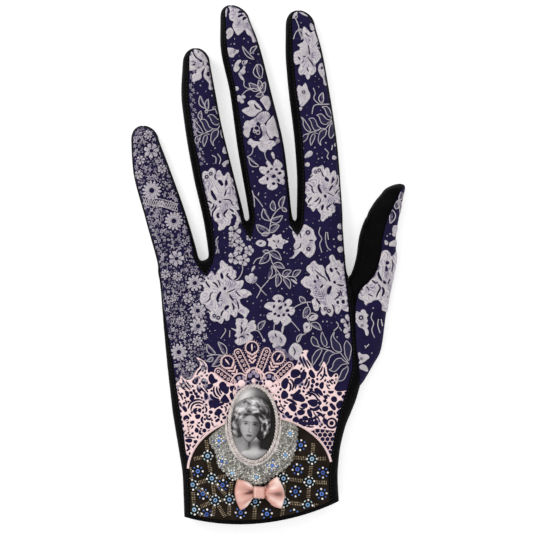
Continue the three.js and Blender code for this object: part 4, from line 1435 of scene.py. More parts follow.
    {"rim": [-395, 1060, -380, 1062, -372, 1045, -362, 1030, -345, 1018, -325, 1012, -308, 1010,
         -305, 1000, -312, 985, -322, 972, -332, 960, -332, 945, -330, 935, -338, 922, -355, 915,
         -372, 908, -380, 918, -378, 940, -365, 958, -355, 970, -372, 968, -392, 965, -395, 985,
         -395, 1020],
     "slits": [(6, [-342, 1016, -335, 1012, -325, 1015]), (6, [-325, 1008, -320, 1000, -325, 990]),
         (4, [-352, 980, -340, 980, -328, 988]), (6, [-382, 1010, -372, 1012, -365, 1005, -368, 995,
         -380, 995]), (5, [-358, 962, -366, 950])],
     "tints": [(-350, 1000, 15, 20)]},
    {"rim": [-312, 985, -305, 995, -290, 980, -282, 960, -278, 940, -275, 925, -272, 900, -270, 880,
         -285, 868, -298, 878, -295, 890, -294, 900, -308, 918, -320, 930, -322, 945, -318, 965],
     "slits": [(10, [-297, 960, -299, 948, -294, 938])]},
    {"rim": [-205, 1300, -180, 1305, -150, 1300, -125, 1280, -110, 1255, -95, 1232, -82, 1215,
         -72, 1195, -62, 1170, -52, 1145, -50, 1120, -68, 1105, -78, 1110, -82, 1128, -92, 1140,
         -105, 1148, -110, 1162, -118, 1170, -125, 1160, -138, 1150, -148, 1140, -158, 1148,
         -165, 1160, -172, 1172, -178, 1188, -175, 1202, -172, 1212, -182, 1215, -192, 1222,
         -193, 1235, -196, 1245, -190, 1258, -192, 1272],
     "slits": [(9, [-150, 1256, -138, 1260, -125, 1258]), (8, [-150, 1232, -138, 1241, -122, 1244]),
         (9, [-125, 1218, -118, 1228, -108, 1231])],
     "tints": [(-170, 1255, 15, 20), (-150, 1200, 15, 20), (-105, 1185, 20, 25)]},
    {"rim": [-215, 1280, -203, 1275, -205, 1255, -208, 1232, -215, 1235]},
    {"rim": [-208, 1162, -200, 1175, -185, 1180, -175, 1170, -172, 1155, -178, 1140, -190, 1128,
         -202, 1122, -212, 1135, -215, 1150]},
    {"rim": [-205, 1080, -188, 1080, -175, 1078, -162, 1070, -145, 1068, -148, 1055, -160, 1048,
         -168, 1040, -172, 1032, -188, 1032, -198, 1040, -202, 1058],
     "slits": [(4, [-168, 1066, -163, 1064]), (4, [-171, 1057, -168, 1054])]},
    {"rim": [-135, 1020, -150, 1018, -160, 1008, -168, 992, -173, 975, -170, 962, -160, 958,
         -148, 965, -140, 980, -148, 990, -142, 1002, -132, 1010]},
    {"rim": [-125, 985, -132, 970, -135, 960, -125, 960, -115, 972, -112, 988, -120, 990]},
    {"rim": [-103, 802, -92, 815, -75, 818, -60, 812, -45, 798, -32, 778, -28, 768, -40, 760,
         -55, 750, -62, 740, -75, 735, -95, 738, -110, 748, -125, 758, -132, 766, -122, 775,
         -105, 782, -90, 788],
     "slits": [(6, [-68, 798, -58, 780, -40, 772]), (6, [-58, 812, -40, 798, -28, 780])]},
    {"rim": [-40, 818, -30, 832, -18, 840, 2, 838, 10, 820, 14, 800, 8, 780, 0, 765, -8, 770,
         -20, 790, -30, 805]},
    {"rim": [-92, 712, -80, 722, -60, 735, -40, 755, -20, 762, 0, 760, 12, 740, 2, 725, -10, 710,
         -25, 698, -38, 700, -50, 712, -60, 700, -80, 698],
     "tints": [(-40, 730, 45, 35)]},
    {"rim": [-122, 690, -110, 698, -92, 698, -85, 690, -86, 670, -92, 655, -92, 640, -100, 630,
         -112, 635, -123, 650, -125, 662, -118, 672, -125, 680]},
    {"rim": [-40, 692, -20, 700, -8, 685, -11, 665, -5, 645, 8, 625, -10, 612, -30, 612, -45, 620,
         -30, 635, -28, 660],
     "tints": [(-20, 655, 15, 25)]},
    {"rim": [15, 730, 25, 742, 35, 720, 45, 680, 52, 655, 55, 628, 42, 635, 30, 640, 22, 625,
         12, 628, 0, 645, -8, 665, -8, 695, 0, 715]},
    {"rim": [-102, 610, -95, 622, -85, 628, -70, 615, -50, 612, -30, 612, -10, 615, 10, 618,
         28, 615, 40, 605, 40, 595, 22, 585, 18, 570, 5, 571, -8, 568, -12, 555, -30, 562, -42, 570,
         -50, 585, -52, 595, -68, 580, -78, 580, -88, 595, -102, 598]},
    {"rim": [178, 1185, 190, 1180, 205, 1162, 215, 1155, 232, 1165, 240, 1140, 255, 1120, 245, 1110,
         238, 1095, 250, 1075, 258, 1060, 262, 1050, 265, 1035, 250, 1010, 235, 995, 240, 980,
         238, 960, 220, 942, 212, 945, 210, 930, 198, 920, 188, 935, 182, 948, 165, 941, 155, 952,
         150, 970, 160, 990, 160, 1000, 140, 995, 130, 1010, 128, 1035, 130, 1055, 140, 1062,
         158, 1070, 158, 1085, 145, 1092, 162, 1102, 178, 1112, 172, 1135, 172, 1160],
     "slits": [(4, [185, 1152, 195, 1145, 205, 1135]), (4, [200, 1095, 205, 1070, 208, 1045]), (4,
         [175, 1035, 188, 1035]), (4, [200, 1030, 215, 1010, 230, 985]), (4, [195, 980, 202, 960]),
         (5, [150, 1035, 160, 1020])],
     "tints": [(205, 1120, 15, 20), (180, 1020, 20, 20), (220, 1040, 15, 30)]},
    {"rim": [252, 990, 265, 1005, 278, 995, 280, 970, 292, 940, 295, 895, 280, 895, 275, 925,
         260, 945, 250, 970],
     "slits": [(7, [268, 985, 270, 972])]},
    {"rim": [145, 880, 155, 895, 170, 885, 185, 905, 195, 890, 200, 870, 210, 850, 210, 830,
         200, 815, 188, 800, 170, 785, 158, 795, 155, 815, 148, 830, 145, 860],
     "eyes": [(178, 858, 10)]},
    {"rim": [121, 170, 138, 187, 160, 181, 182, 198, 204, 187, 227, 170, 232, 148, 243, 125,
         232, 109, 238, 81, 227, 48, 204, 31, 182, 48, 165, 65, 149, 48, 127, 28, 115, 31, 130, 48,
         135, 70, 127, 92, 138, 115, 127, 137],
     "slits": [(4, [145, 160, 160, 150, 165, 130]), (4, [145, 75, 160, 85, 165, 105]), (4,
         [205, 118, 225, 118])],
     "eyes": [(199, 157, 14), (202, 75, 13)]},
    {"rim": [-5, 125, 15, 131, 27, 150, 43, 142, 65, 150, 71, 128, 104, 112, 77, 98, 71, 75, 49, 81,
         27, 70, 15, 87, -1, 90, 4, 109],
     "slits": [(4, [25, 120, 35, 110]), (4, [55, 120, 50, 108]), (4, [40, 95, 45, 85])]},
    {"rim": [-62, 102, -50, 118, -30, 120, -10, 110, -15, 90, -40, 87],
     "slits": [(4, [-45, 102, -30, 105])]},
    {"rim": [-185, -319, -157, -324, -162, -291, -145, -280, -129, -302, -123, -269, -101, -280,
         -101, -308, -68, -297, -58, -310, -62, -330, -90, -341, -73, -363, -90, -385, -118, -397,
         -146, -405, -168, -385, -151, -369, -168, -358, -157, -341],
     "slits": [(6, [-135, -310, -130, -330, -135, -345]), (4, [-105, -315, -118, -335]), (4,
         [-145, -370, -130, -360, -115, -370]), (4, [-95, -355, -108, -350])],
     "tints": [(-125, -355, 20, 20)]},
    {"rim": [0, -350, 10, -335, 30, -330, 55, -335, 70, -345, 88, -365, 90, -385, 75, -410,
         55, -405, 40, -385, 25, -395, 10, -385],
     "slits": [(4, [35, -345, 42, -365]), (4, [60, -365, 70, -380])],
     "tints": [(20, -365, 15, 15), (65, -390, 15, 15)]},
    {"rim": [120, -400, 135, -392, 150, -398, 165, -410, 172, -430, 165, -450, 155, -468, 140, -480,
         125, -465, 110, -455, 102, -435, 110, -415],
     "slits": [(4, [125, -415, 135, -435, 130, -455])]},
    {"rim": [-12, 505, -2, 516, 10, 508, 18, 495, 24, 488, 27, 503, 35, 520, 48, 522, 60, 512,
         72, 499, 73, 485, 62, 475, 70, 470, 81, 465, 83, 445, 81, 435, 72, 428, 83, 423, 81, 397,
         65, 398, 50, 406, 42, 404, 50, 390, 43, 378, 20, 368, -2, 376, -5, 391, -2, 400, -11, 398,
         -32, 399, -48, 412, -46, 420, -33, 430, -25, 438, -12, 443, -30, 451, -44, 470, -40, 485,
         -22, 487, -5, 482, 0, 488],
     "slits": [(13, [-3, 464, 3, 456]), (11, [14, 478, 19, 470]), (14, [-8, 425, 3, 425]), (12,
         [28, 408, 28, 394]), (16, [25, 445, 32, 431]), (13, [48, 415, 58, 421]), (13,
         [57, 460, 61, 447]), (11, [42, 478, 43, 466])],
     "tints": [(10, 445, 15, 15), (40, 425, 15, 15)]},
    {"rim": [22, -170, 32, -158, 52, -152, 72, -160, 79, -172, 70, -189, 80, -191, 91, -178,
         108, -174, 120, -185, 118, -199, 103, -212, 110, -214, 124, -214, 135, -228, 128, -249,
         114, -258, 103, -245, 95, -253, 112, -270, 116, -285, 95, -303, 80, -310, 70, -299,
         64, -285, 62, -280, 53, -295, 39, -303, 28, -291, 27, -278, 24, -278, 5, -280, -7, -266,
         -5, -249, 10, -241, 22, -241, 22, -235, 8, -230, -11, -220, -20, -212, -11, -197, 8, -189,
         28, -191, 39, -189, 32, -182],
     "slits": [(14, [25, -210, 35, -213]), (12, [55, -179, 58, -191]), (15, [58, -213, 66, -223]),
         (12, [82, -202, 92, -205]), (14, [95, -225, 99, -239]), (12, [74, -250, 83, -258]), (12,
         [52, -252, 55, -264]), (12, [32, -244, 38, -254])],
     "tints": [(50, -230, 15, 15), (75, -200, 12, 12)]},
    {"rim": [175, -305, 188, -290, 205, -295, 210, -310, 208, -330, 195, -340, 180, -342,
         178, -325],
     "slits": [(6, [193, -310, 194, -320])]},
    {"rim": [205, -270, 220, -255, 240, -253, 250, -262, 240, -278, 220, -284, 208, -282],
     "slits": [(3, [215, -272, 230, -262])]},
]
PETALS = table("x0 y0 x1 y1 width tone", [
    (-14.4, 95.1, -11.4, 96.7, 3, 0.95), (-12.4, 98.9, -10.3, 101.7, 1.6, 0.8),
    (-14.7, 94.8, -12, 91.7, 1.5, 0.95), (-16.6, 86.5, -15, 88.5, 2.5, 0.95),
    (-12.7, 82.2, -15.5, 83.8, 2.4, 0.95), (-12.7, 82.2, -13.3, 80.3, 2.5, 0.95),
    (-12.7, 82.5, -11.7, 84.1, 2.3, 0.95), (-13.9, 82.2, -15.5, 81.6, 1.9, 0.95),
    (-5.7, 69.9, -12, 69.6, 4.4, 0.95), (3.7, 60, 5.6, 62.5, 2.5, 0.6),
    (3.2, 52.3, 2, 55.9, 1.8, 0.95),
    (11.3, -7.5, 14.6, -9.8, 1.4, 0.95), (-8.3, -3.9, -6.6, -0.9, 1.5, 0.95),
    (11.9, 122.5, 14.6, 126.2, 1.8, 0.95), (15.4, 126.2, 20.2, 123.9, 1.5, 0.95),
    (21.2, 120.3, 22.8, 116.6, 2.5, 0.95), (16.3, 76.5, 16.3, 78.4, 1.9, 0.95),
    (18.3, 53, 22.1, 56.2, 3, 0.95), (18.1, 49.6, 20.9, 49.7, 2.5, 0.95),
    (34.3, 53.1, 32, 53.2, 2.5, 0.95), (34.6, 59.4, 33.2, 60, 2.5, 0.95),
    (37.9, 17.8, 34.8, 19.5, 3.2, 0.95), (38, 13.7, 34.8, 12.7, 3.4, 0.95),
    (38.1, 8, 34.8, 6.7, 3.4, 0.95), (-21.7, 58.8, -21.4, 55, 2.8, 0.95),
    (-23, 49.6, -19.2, 51.5, 2.1, 0.95), (-21.8, 50.6, -21.7, 48.4, 1.9, 0.95),
    (-33.7, 53.1, -34.1, 54.2, 1.5, 0.95), (-24.8, 11.8, -26, 9, 1.3, 0.6),
    (-25.2, 8.3, -24.5, 5.2, 1.3, 0.6), (-9.5, -9.4, -10.9, -5.7, 2.5, 0.95),
    (-8.9, -9.8, -7.9, -4.5, 3.2, 0.95), (-7.9, -9.8, -5.7, -6.3, 2.3, 0.8),
    (-11.1, -28.3, -16.1, -28, 2.5, 0.95), (-11.1, -31.5, -6.5, -28.3, 2.5, 0.95),
    (5, -41, 2.5, -39.7, 3.8, 0.95), (5.6, -40.3, 5, -43.8, 3.5, 0.55),
    (10, -46.6, 6.2, -42.8, 3.8, 0.5), (10, -44.7, 12.5, -47.9, 2.5, 0.5),
    (6.9, -35, 7.6, -30.6, 1.4, 0.95), (-2.8, -38.4, -1.2, -37.9, 1.9, 0.95),
    (39, -29, 36.2, -28, 2.5, 0.95), (40, -28.3, 39.3, -25.2, 2.5, 0.95),
    (40.9, -29, 40, -25.8, 1.9, 0.95), (40.6, -32.1, 37.8, -34.3, 2.5, 0.95),
    (40.6, -33.4, 40.9, -31.5, 2.5, 0.8), (64, 16, 62.5, 14, 2.6, 0.95),
    (58.5, 12, 59.5, 9.5, 2, 0.95),
    (40, -32, 38, -29.8, 2, 0.95), (40.5, -33, 37.8, -33, 2.2, 0.95),
    (40.5, -34.5, 39, -37, 2.6, 0.95),
    (41, -32, 41, -29, 1.8, 0.95),
])
LEAVES = table("x0 y0 x1 y1 width bend", [
    (-6.9, 102.2, -12.8, 108.8, 1.6, 0.1), (-8.7, 105, -5.4, 109, 1.9, 0.1),
    (-3.6, 92.4, -5.2, 100, 2.1, 0.25), (-4.1, 86.9, -9.5, 90.4, 3.3, 0.1),
    (-4.1, 86.9, -4.6, 92, 2.5, -0.1), (-2.6, 85.2, -1.2, 91, 2.6, 0.1),
    (-2.7, 85.5, -6.1, 83.8, 2.1, 0.1), (-4.6, 48.9, -9.5, 53.2, 2.1, 0.2),
    (3.2, 26.5, 2.5, 31.7, 2.6, 0.1), (6.2, 27.7, 8.5, 34, 2.3, 0.1), (7, 27.9, 9.5, 26.2, 1.8, 0),
    (0.7, 21.6, -2.1, 27.9, 2.6, 0.2), (0.9, 21.6, 7.4, 24.2, 2.9, -0.15),
    (0.6, 15.8, -5.9, 19.7, 3.5, 0.1), (0.9, 15.8, 5.7, 19.4, 3.3, 0.1),
    (0.3, 15.3, -3.3, 14.5, 1.9, 0), (0.7, 5.9, -2.6, 6.4, 1.8, 0), (0.6, 5.8, -4.4, 0.1, 3.5, 0.1),
    (0.7, 6.1, 6.7, 1.9, 3.2, 0.1), (2.6, -0.2, 8.3, -2.2, 2.6, 0.1),
    (1.8, -0.7, 0.1, -7.7, 2, 0.3),
    (5, -4.9, 4.2, -11.5, 2.9, 0.1), (7.5, -6.4, 11.7, -3.1, 2.9, 0.1),
    (12.5, -6.4, 16.5, -3.1, 2.6, 0.1), (7.8, -6.8, 11, -12.5, 2.5, 0.1),
    (26.8, 80.2, 27.4, 85.7, 2.5, 0.1), (15.4, 117.4, 17.1, 112.3, 2.5, 0.2),
    (-31.2, 77.7, -33.8, 84.1, 2.1, 0.15), (-30.2, 77, -29.8, 82.5, 2, 0.1),
    (-33.5, 72, -33.5, 76.5, 2, 0.1), (-30.5, 75.3, -31.2, 76.8, 1.3, 0),
    (18.6, -18.9, 15.8, -16.1, 2.5, 0.1), (20.2, -21.4, 17.7, -27, 3.4, 0.05),
    (19.8, -27.2, 25, -25.8, 3.2, 0.1), (20.6, -29.5, 18.8, -34.3, 3.3, 0.05),
    (21.4, -29.6, 26.7, -33.1, 2.8, 0.1), (-4.6, -32.9, -1.2, -28.3, 2.6, 0.1),
    (14.6, -39.2, 17.1, -34.7, 1.9, 0.1), (-26.1, -45.1, -30.4, -39.8, 2.6, 0.15),
    (-21.1, -45.4, -25, -38.8, 2.9, -0.1), (-23.6, -45.7, -28, -51, 3.2, 0.2),
    (-27.4, -46.6, -30.4, -48.5, 1.9, 0.1), (67.2, 36.2, 65.5, 32, 2.6, 0.1),
    (65.2, 32, 67.2, 25.5, 2.6, 0.1), (62, 27, 61, 20.2, 3, 0.1), (63.8, 27.5, 65.5, 32, 2.6, 0),
])
RINGS = table("x y radius", [
    (-11.9, 100.5, 1), (-13.6, 82.8, 0.8), (-5.7, 67.6, 1.4), (-5, 65.7, 1), (-6.6, 66.3, 0.8),
    (13.7, 123.7, 1), (25.5, 109.2, 1.3), (-6.9, -8, 1),
])
FLORETS = table("x y radius petals", [
    (-16.7, 16.4, 3.3, 5), (-15.2, 12.7, 1.9, 6), (-14.4, 9.5, 2.9, 6), (-14.8, 6.6, 1.9, 6),
    (-9.6, 6.9, 2.5, 5), (-16.8, 3, 3.3, 5), (-12.1, 2, 3, 5), (-9.4, 13.1, 1.6, 5),
    (-18.2, 9.9, 1.6, 5), (-17.9, 13.1, 1.9, 5), (-16.8, 3, 3.2, 5), (-12.2, 1.9, 2.5, 5),
    (-9.4, 6.5, 2.4, 5),
])
SPRAYS = table("x y scale turn mirror", [
    (24.8, 66.3, 1, 0, 1), (-29.1, 65.9, 1, 4, 1), (31.1, -42.8, 1.25, 0, -1),
])
PICOTS = table("x y", [
    (-12, 112.5), (-16.8, 109.9), (-4.8, 104.8), (-7.3, 105.2), (-17.7, 99.2), (-7.6, 46.2),
    (-6.7, 38.9), (-1.3, 33.4), (4.2, 34.3), (7.8, 16.2), (8.8, 22.1), (8.1, 5.8), (17.6, 57.8),
    (23.4, 58.1), (25.2, 52.5), (28.9, 60.5), (25.5, 21.6), (32.8, 12.4), (27, 53.1), (33.2, 8.6),
    (-33.7, 89.1), (-35.2, 85.3), (-28, 84.1), (-26.4, 57.8), (-32.3, 55.1), (-34.2, 53.2),
    (-30.4, 49.9), (-21.7, 13.1), (-21.4, 5.7), (-27.4, 17.2), (1.2, -12.3), (6.9, -12.3),
    (-10.3, -18.6), (-3.3, -18.3), (-3.7, -25.5), (9.9, 0), (16.8, 0.3), (23.9, -18.3),
    (27.4, -28.7),
    (22.5, -34.7), (34.5, -36.5), (29.4, -28.7), (26.4, 2.2), (33, 8.8), (52.5, -22), (51.8, -44.5),
    (48.5, -41), (59.5, 14), (61, 15),
])
STEMS = [
    [(-14.9, 95.4), (-13.3, 94), (-12, 91.7), (-12, 89.1), (-10.2, 87.7), (-6.4, 87.5),
     (-3.2, 85.9)],
    [(-13.2, 84), (-10.8, 86.5), (-7, 87.7)],
    [(-5, 99.8), (-3.5, 99.2), (-2.6, 96.7), (-3.1, 92.9)],
    [(-17.7, 106.2), (-18.7, 104.3)],
    [(-2.6, 85), (-1.3, 82.8), (-0.4, 81.6)],
    [(-7.3, 58.6), (-8.1, 55.1), (-10.5, 53.4), (-9.2, 52.9)],
    [(-1.8, 56.1), (-1, 52.6), (0.3, 51.1)],
    [(-7.1, 34.2), (-4.8, 31.7), (-2.6, 28.5)],
    [(-5, 34.2), (-4.5, 35.7)],
    [(0.6, 14.9), (1.7, 22.2), (4.3, 26.5), (7, 28.5)],
    [(-7.9, 36.7), (-7, 32.9), (-6.7, 28.5)],
    [(0.6, 6), (2.1, 0.7), (5.6, -4.5), (7.6, -6.3), (12.5, -6.3), (14.4, -8.3)],
    [(-2.6, 3.5), (-5.7, 2.4), (-7.3, 0.1)],
    [(13.8, 122.5), (15.1, 119.4), (15.4, 117.4), (13.8, 115.5), (12.7, 112.3)],
    [(15.4, 117.5), (17.6, 115), (16.6, 112)],
    [(22.6, 87.9), (23.6, 85.2), (22.8, 82.7), (25, 80.2), (26.7, 79.5)],
    [(22, 74.9), (22.6, 78.3), (24, 79.5), (31, 79.9)],
    [(28.3, 57.6), (30.2, 55.5), (29.4, 53.6), (30.3, 52.3)],
    [(31.8, 56.9), (32.2, 59.4)],
    [(26.1, 18.4), (25.4, 15.3), (26.9, 12.6), (25.8, 9.9), (26.9, 5.7)],
    [(28.9, 16), (28.7, 12.1), (29.7, 8.3), (31.3, 6.9)],
    [(29.7, 15.9), (30.2, 12.1)],
    [(10.5, 18.9), (12.5, 17), (12.9, 14.9)],
    [(12.9, 7.1), (13.6, 4.2), (10.8, 2.8)],
    [(-37, 106), (-35.2, 103.3), (-32.4, 101.6), (-31.9, 99.2), (-34.3, 98)],
    [(-31.2, 77.2), (-30.4, 76.5), (-29.9, 76.5), (-26, 77.5)],
    [(-28, 54.3), (-26, 53.1), (-26.1, 50.2)],
    [(-25.2, 55.1), (-23.6, 52.5), (-24.3, 49.9)],
    [(-17.2, 25.5), (-14.4, 23.8), (-13.8, 21.6), (-12.9, 19.7)],
    [(-24.8, 13.7), (-26, 11.5), (-25.2, 8.3), (-26, 5.2)],
    [(-12.9, 0), (-12.7, -3.1), (-14.4, -6.9), (-17.2, -8.7)],
    [(10.8, -23.3), (15.1, -20.5), (19.5, -19), (21.6, -19.1)],
    [(19.5, -19.2), (20.2, -21.4)],
    [(19.2, -26.5), (20.9, -29.3)],
    [(3.7, -28.3), (3, -31.5), (3.2, -35)],
    [(7.2, -28.3), (7.6, -30.9)],
    [(11.4, -28.3), (13.8, -30.9), (15.8, -33.4)],
    [(-8.9, -32.9), (-5, -33.4), (-3.2, -35.9), (-2.1, -38.4)],
    [(-6.1, -9.6), (-3.7, -12.6), (-5.7, -17)],
    [(-3.7, -12.6), (-0.7, -15.7)],
    [(-3.7, -12.6), (0.3, -8)],
    [(18.8, -34.7), (16.3, -35.9), (14.6, -39.2)],
    [(34, -28.7), (35.2, -30.9), (32.8, -33.4)],
    [(35.6, -31.5), (36.8, -33.4)],
    [(-30.5, -46), (-26.1, -45.2), (-20.7, -45.9)],
    [(-23.6, -37.2), (-21.1, -33.4), (-21.6, -32.1)],
    [(-19.2, -36.5), (-19, -33.1)],
    [(52.2, -24.2), (51.5, -27), (52.8, -29.5), (51.8, -33), (53.2, -36.8)],
    [(55.2, -27.5), (54.8, -30.5), (56, -34.5)],
    [(56.5, -27.5), (57.2, -31)],
    [(50.5, -40), (48.5, -42)],
]
MEDALLIONS = table("x y radius petals", [
    (-58, 36.7, 4.9, 14), (-47, 21.5, 4.7, 14), (-45.7, 2.7, 3.9, 7), (-58.2, 56.5, 3.9, 7),
    (-59.9, 64.6, 2.2, 7), (-63.6, 51.9, 2.3, 6), (-45, -6.3, 2.4, 8), (-36.5, -9.5, 4.1, 10),
    (-35, -23.3, 4.1, 10), (-34.8, -31, 4.2, 9), (-43.8, -28.4, 2.3, 8), (-35.2, -38.5, 2.6, 8),
    (-44.5, -44, 4.4, 11), (-38.7, -51, 2.6, 7), (-40, -17, 2.5, 6), (-47, -17, 1.8, 6),
    (-42.6, -35.5, 2.0, 6), (-51.3, -4.9, 2.2, 7), (-64.6, 44.6, 2.2, 6), (-52.8, 47.5, 2.3, 7),
])
print(len(CUTWORK), "patches,", len(PETALS), "petals,", len(LEAVES), "leaves")


# %% Sewing the motifs
CROWD_TOP = 8  # below it, the crowd of tiny flowers reaches beyond the little finger
CROWD_RIGHT = -30.0
SPECK_TRIES = 5200
SPECK_SPACING = 1.15
STITCH_SHARE = 0.3  # of the specks are short stitches, the others are round
FULL_TURN = 6.3


def placed(x, y, at):
    """A spray's own point, mirrored, scaled, turned and moved to where the spray lies."""
    u, v = x * at["scale"], y * at["scale"] * at["mirror"]
    return turned(at["x"], at["y"], u, v, math.radians(at["turn"]))


def sew_small_flower(work, x, y, radius, petals, turn=0.0, tone=0.95):
    """A small flower: round petals and a dark middle in a ring."""
    width = min(radius * 0.95, radius * 4.2 / petals)
    for k in range(petals):
        angle = turn + 2 * math.pi * k / petals
        foot, tip = polar(x, y, 0.3 * radius, angle), polar(x, y, radius, angle)
        work.petal(*foot, *tip, width, tone, 0.42, 8)
    work.ring(x, y, radius * 0.3, 0.3, 0.45, 0.9)


def sew_spray(work, at):
    """A stem with outlined leaves on both sides."""
    for stem in SPRAY_STEMS:
        work.cord([placed(x, y, at) for x, y in pairs(stem)], 0.46, 0.45, 0.85)
    for leaf in SPRAY_LEAVES:
        outline = [placed(x, y, at) for x, y in pairs(leaf)]
        work.cord(outline, 0.46, 0.45, 0.85, True, 0.7)
        net = grown(smooth_line(outline, 0.9, True), -0.35)
        rows = [(x, y, height) for height in (ROOT, 0.12) for x, y in net]
        rows.append((*net.mean(axis=0), 0.14))
        work.add(rows, disc_faces(len(net), 2), [0.22] * len(rows))


def sew_leaf(work, x0, y0, x1, y1, width, bend):
    """An outlined leaf with a thin filling of net."""
    work.cord(leaf_outline(x0, y0, x1, y1, width, bend), 0.5, 0.45, 0.92, True, 0.8)
    work.petal(x0, y0, x1, y1, width * 0.66, 0.2, 0.14, 8)


def tenths(rows):
    return [tuple(number / 10 for number in row) for row in rows]


big_flowers, small_flowers = Needlework(), Needlework()
for row in PETALS:
    big_flowers.petal(*row.values())
for patch in CUTWORK:
    slits = [(width / 10, pairs(path)) for width, path in patch.get("slits", [])]
    eyes, tints = tenths(patch.get("eyes", [])), tenths(patch.get("tints", []))
    big_flowers.cutwork(pairs(patch["rim"]), slits, eyes, tints)
for row in LEAVES:
    sew_leaf(big_flowers, *row.values())
for at in SPRAYS:
    sew_spray(big_flowers, at)
for line in STEMS:
    big_flowers.cord(line, 0.5)
for row in RINGS:
    big_flowers.ring(*row.values())
for row in PICOTS:
    big_flowers.knot(*row.values(), 0.45, 0.8, 0.4, 6)
for row in FLORETS:
    sew_small_flower(big_flowers, *row.values())
print("large flowers:", len(big_flowers.faces), "faces")

# %% The specks of the ground net
ground = random.Random(9)
sewn_points = np.array(big_flowers.points)[:, :2]
free_ground = grown(back_outline, -1.6)
for _ in range(SPECK_TRIES):
    x, y = ground.uniform(-45, 43), ground.uniform(-50, 128)
    in_crowd = y < CROWD_TOP and x < CROWD_RIGHT
    if in_crowd or np.abs(sewn_points - (x, y)).max(axis=1).min() < SPECK_SPACING:
        continue
    if inside((x, y), free_ground)[0]:
        if ground.random() < STITCH_SHARE:
            tip = polar(x, y, 1.1, ground.uniform(0, FULL_TURN))
            big_flowers.petal(x, y, *tip, 0.5, ground.choice((0.75, 0.5)), 0.3, 6)
        else:
            radius, tone = ground.uniform(0.22, 0.36), ground.choice((0.7, 0.55, 0.4))
            big_flowers.knot(x, y, radius, tone, 0.35, 6)
        own = [(x, y)] * 3 + [(x + 1.2, y), (x - 1.2, y), (x, y + 1.2), (x, y - 1.2)]
        sewn_points = np.vstack([sewn_points, own])
print("large flowers and specks:", len(big_flowers.faces), "faces")

# %% The crowd of tiny flowers along the little finger
CROWD_AREA = (-68, -31.0, -62.0, 69)  # left, right, bottom and top
RING_FINGER = -36.5  # above CROWD_TOP, the ring finger begins here
FLOWER_TRIES, DASH_TRIES = 9000, 1500
FLOWER_ROOM = 0.65
LARGE_RING = 8  # a flower with more petals than this has a second ring of them
BAND = [(-62.6, 32.2), (-58, 31.2), (-53, 30.6), (-48, 29.2), (-45.2, 28.2)]

for x, y, radius, petals in (row.values() for row in MEDALLIONS):
    sew_small_flower(small_flowers, x, y, radius, petals, x, 0.85)
    turns = [2 * math.pi * (k + 0.5) / petals + x for k in range(petals)]
    for turn in turns:
        small_flowers.knot(*polar(x, y, radius * 1.16, turn), 0.36, 0.8, 0.35, 6)
    for turn in turns if petals > LARGE_RING else ():
        foot, tip = polar(x, y, 0.25 * radius, turn), polar(x, y, 0.66 * radius, turn)
        small_flowers.petal(*foot, *tip, radius * 0.22, 0.95, 0.4, 6, 0.3)
for offset in (1.7, -1.9):
    small_flowers.cord([(x, y + offset) for x, y in BAND], 0.5, 0.45, 0.85)
for k in range(15):
    x = -61.8 + k * 1.15
    middle_y = 31.5 - (x + 62) * 0.17
    for lean in (-0.7, 0.7):
        cross = [(x - lean, middle_y - 1.6), (x, middle_y), (x + lean, middle_y + 1.5)]
        small_flowers.cord(cross, 0.36, 0.4, 0.9)
sew_small_flower(small_flowers, -53.4, 30.1, 1.9, 6)

chance = random.Random(4)
taken = [(row["x"], row["y"], row["radius"] + 0.5) for row in MEDALLIONS]
taken += [(x, y, 2.2) for x, y in BAND + [(-55.5, 30.9), (-50.5, 29.9)]]
left, right, bottom, top = CROWD_AREA
crowd_cloth = grown(back_outline, -0.9)


def scattered(tries):
    """Random places of the crowd's area, some of them off the cloth."""
    return [(chance.uniform(left, right), chance.uniform(bottom, top)) for _ in range(tries)]


def on_ring_finger(x, y):
    return y > CROWD_TOP and x > RING_FINGER


places = scattered(FLOWER_TRIES)
crowd = 0
for x, y in (place for place, ok in zip(places, inside(places, crowd_cloth)) if ok):
    radius = chance.uniform(0.7, 1.7)
    near = any(math.hypot(x - u, y - v) < room + radius * 0.75 for u, v, room in taken)
    if near or on_ring_finger(x, y):
        continue
    taken.append((x, y, FLOWER_ROOM))
    tone = chance.choice((1.0, 1.0, 0.95, 0.85, 0.6))
    rays, turn = chance.choice((4, 5, 6)), chance.uniform(0, 3)
    small_flowers.star(x, y, radius, rays, turn, tone, 0.4, 0.42)
    crowd += 1
places = scattered(DASH_TRIES)
for (x, y), ok in zip(places, inside(places, crowd_cloth)):
    if not ok or on_ring_finger(x, y):
        continue
    if all(math.hypot(x - u, y - v) > min(room, 2.4) * 0.62 for u, v, room in taken):
        tip = polar(x, y, 0.9, chance.uniform(0, FULL_TURN))
        small_flowers.petal(x, y, *tip, 0.46, 1.0, 0.32, 6)
ring_seam = seam_of(ring, "seam_left")
for k in range(22):
    y = 101.5 - k * 2.45
    x = float(ring_seam(y)) + (1.3 if k % 2 else 2.4)
    small_flowers.star(x, y, 1.15, 5, k, 0.9, 0.4, 0.45)
    small_flowers.knot(x + (1.7 if k % 2 else -1.2), y + 1.1, 0.4, 0.8, 0.35, 6)
print(crowd, "tiny flowers scattered;", len(small_flowers.faces), "faces")

# %% [markdown]
# The back and the lace are cut out together, so where a flower meets a seam it ends there. The
# same column that cut the cloth trims the lace. Ivory thread is matt: a fine ripple runs along
# each petal, and the tone that each vertex carries shades it from ivory to lilac and to navy,
# where the thread is dark.

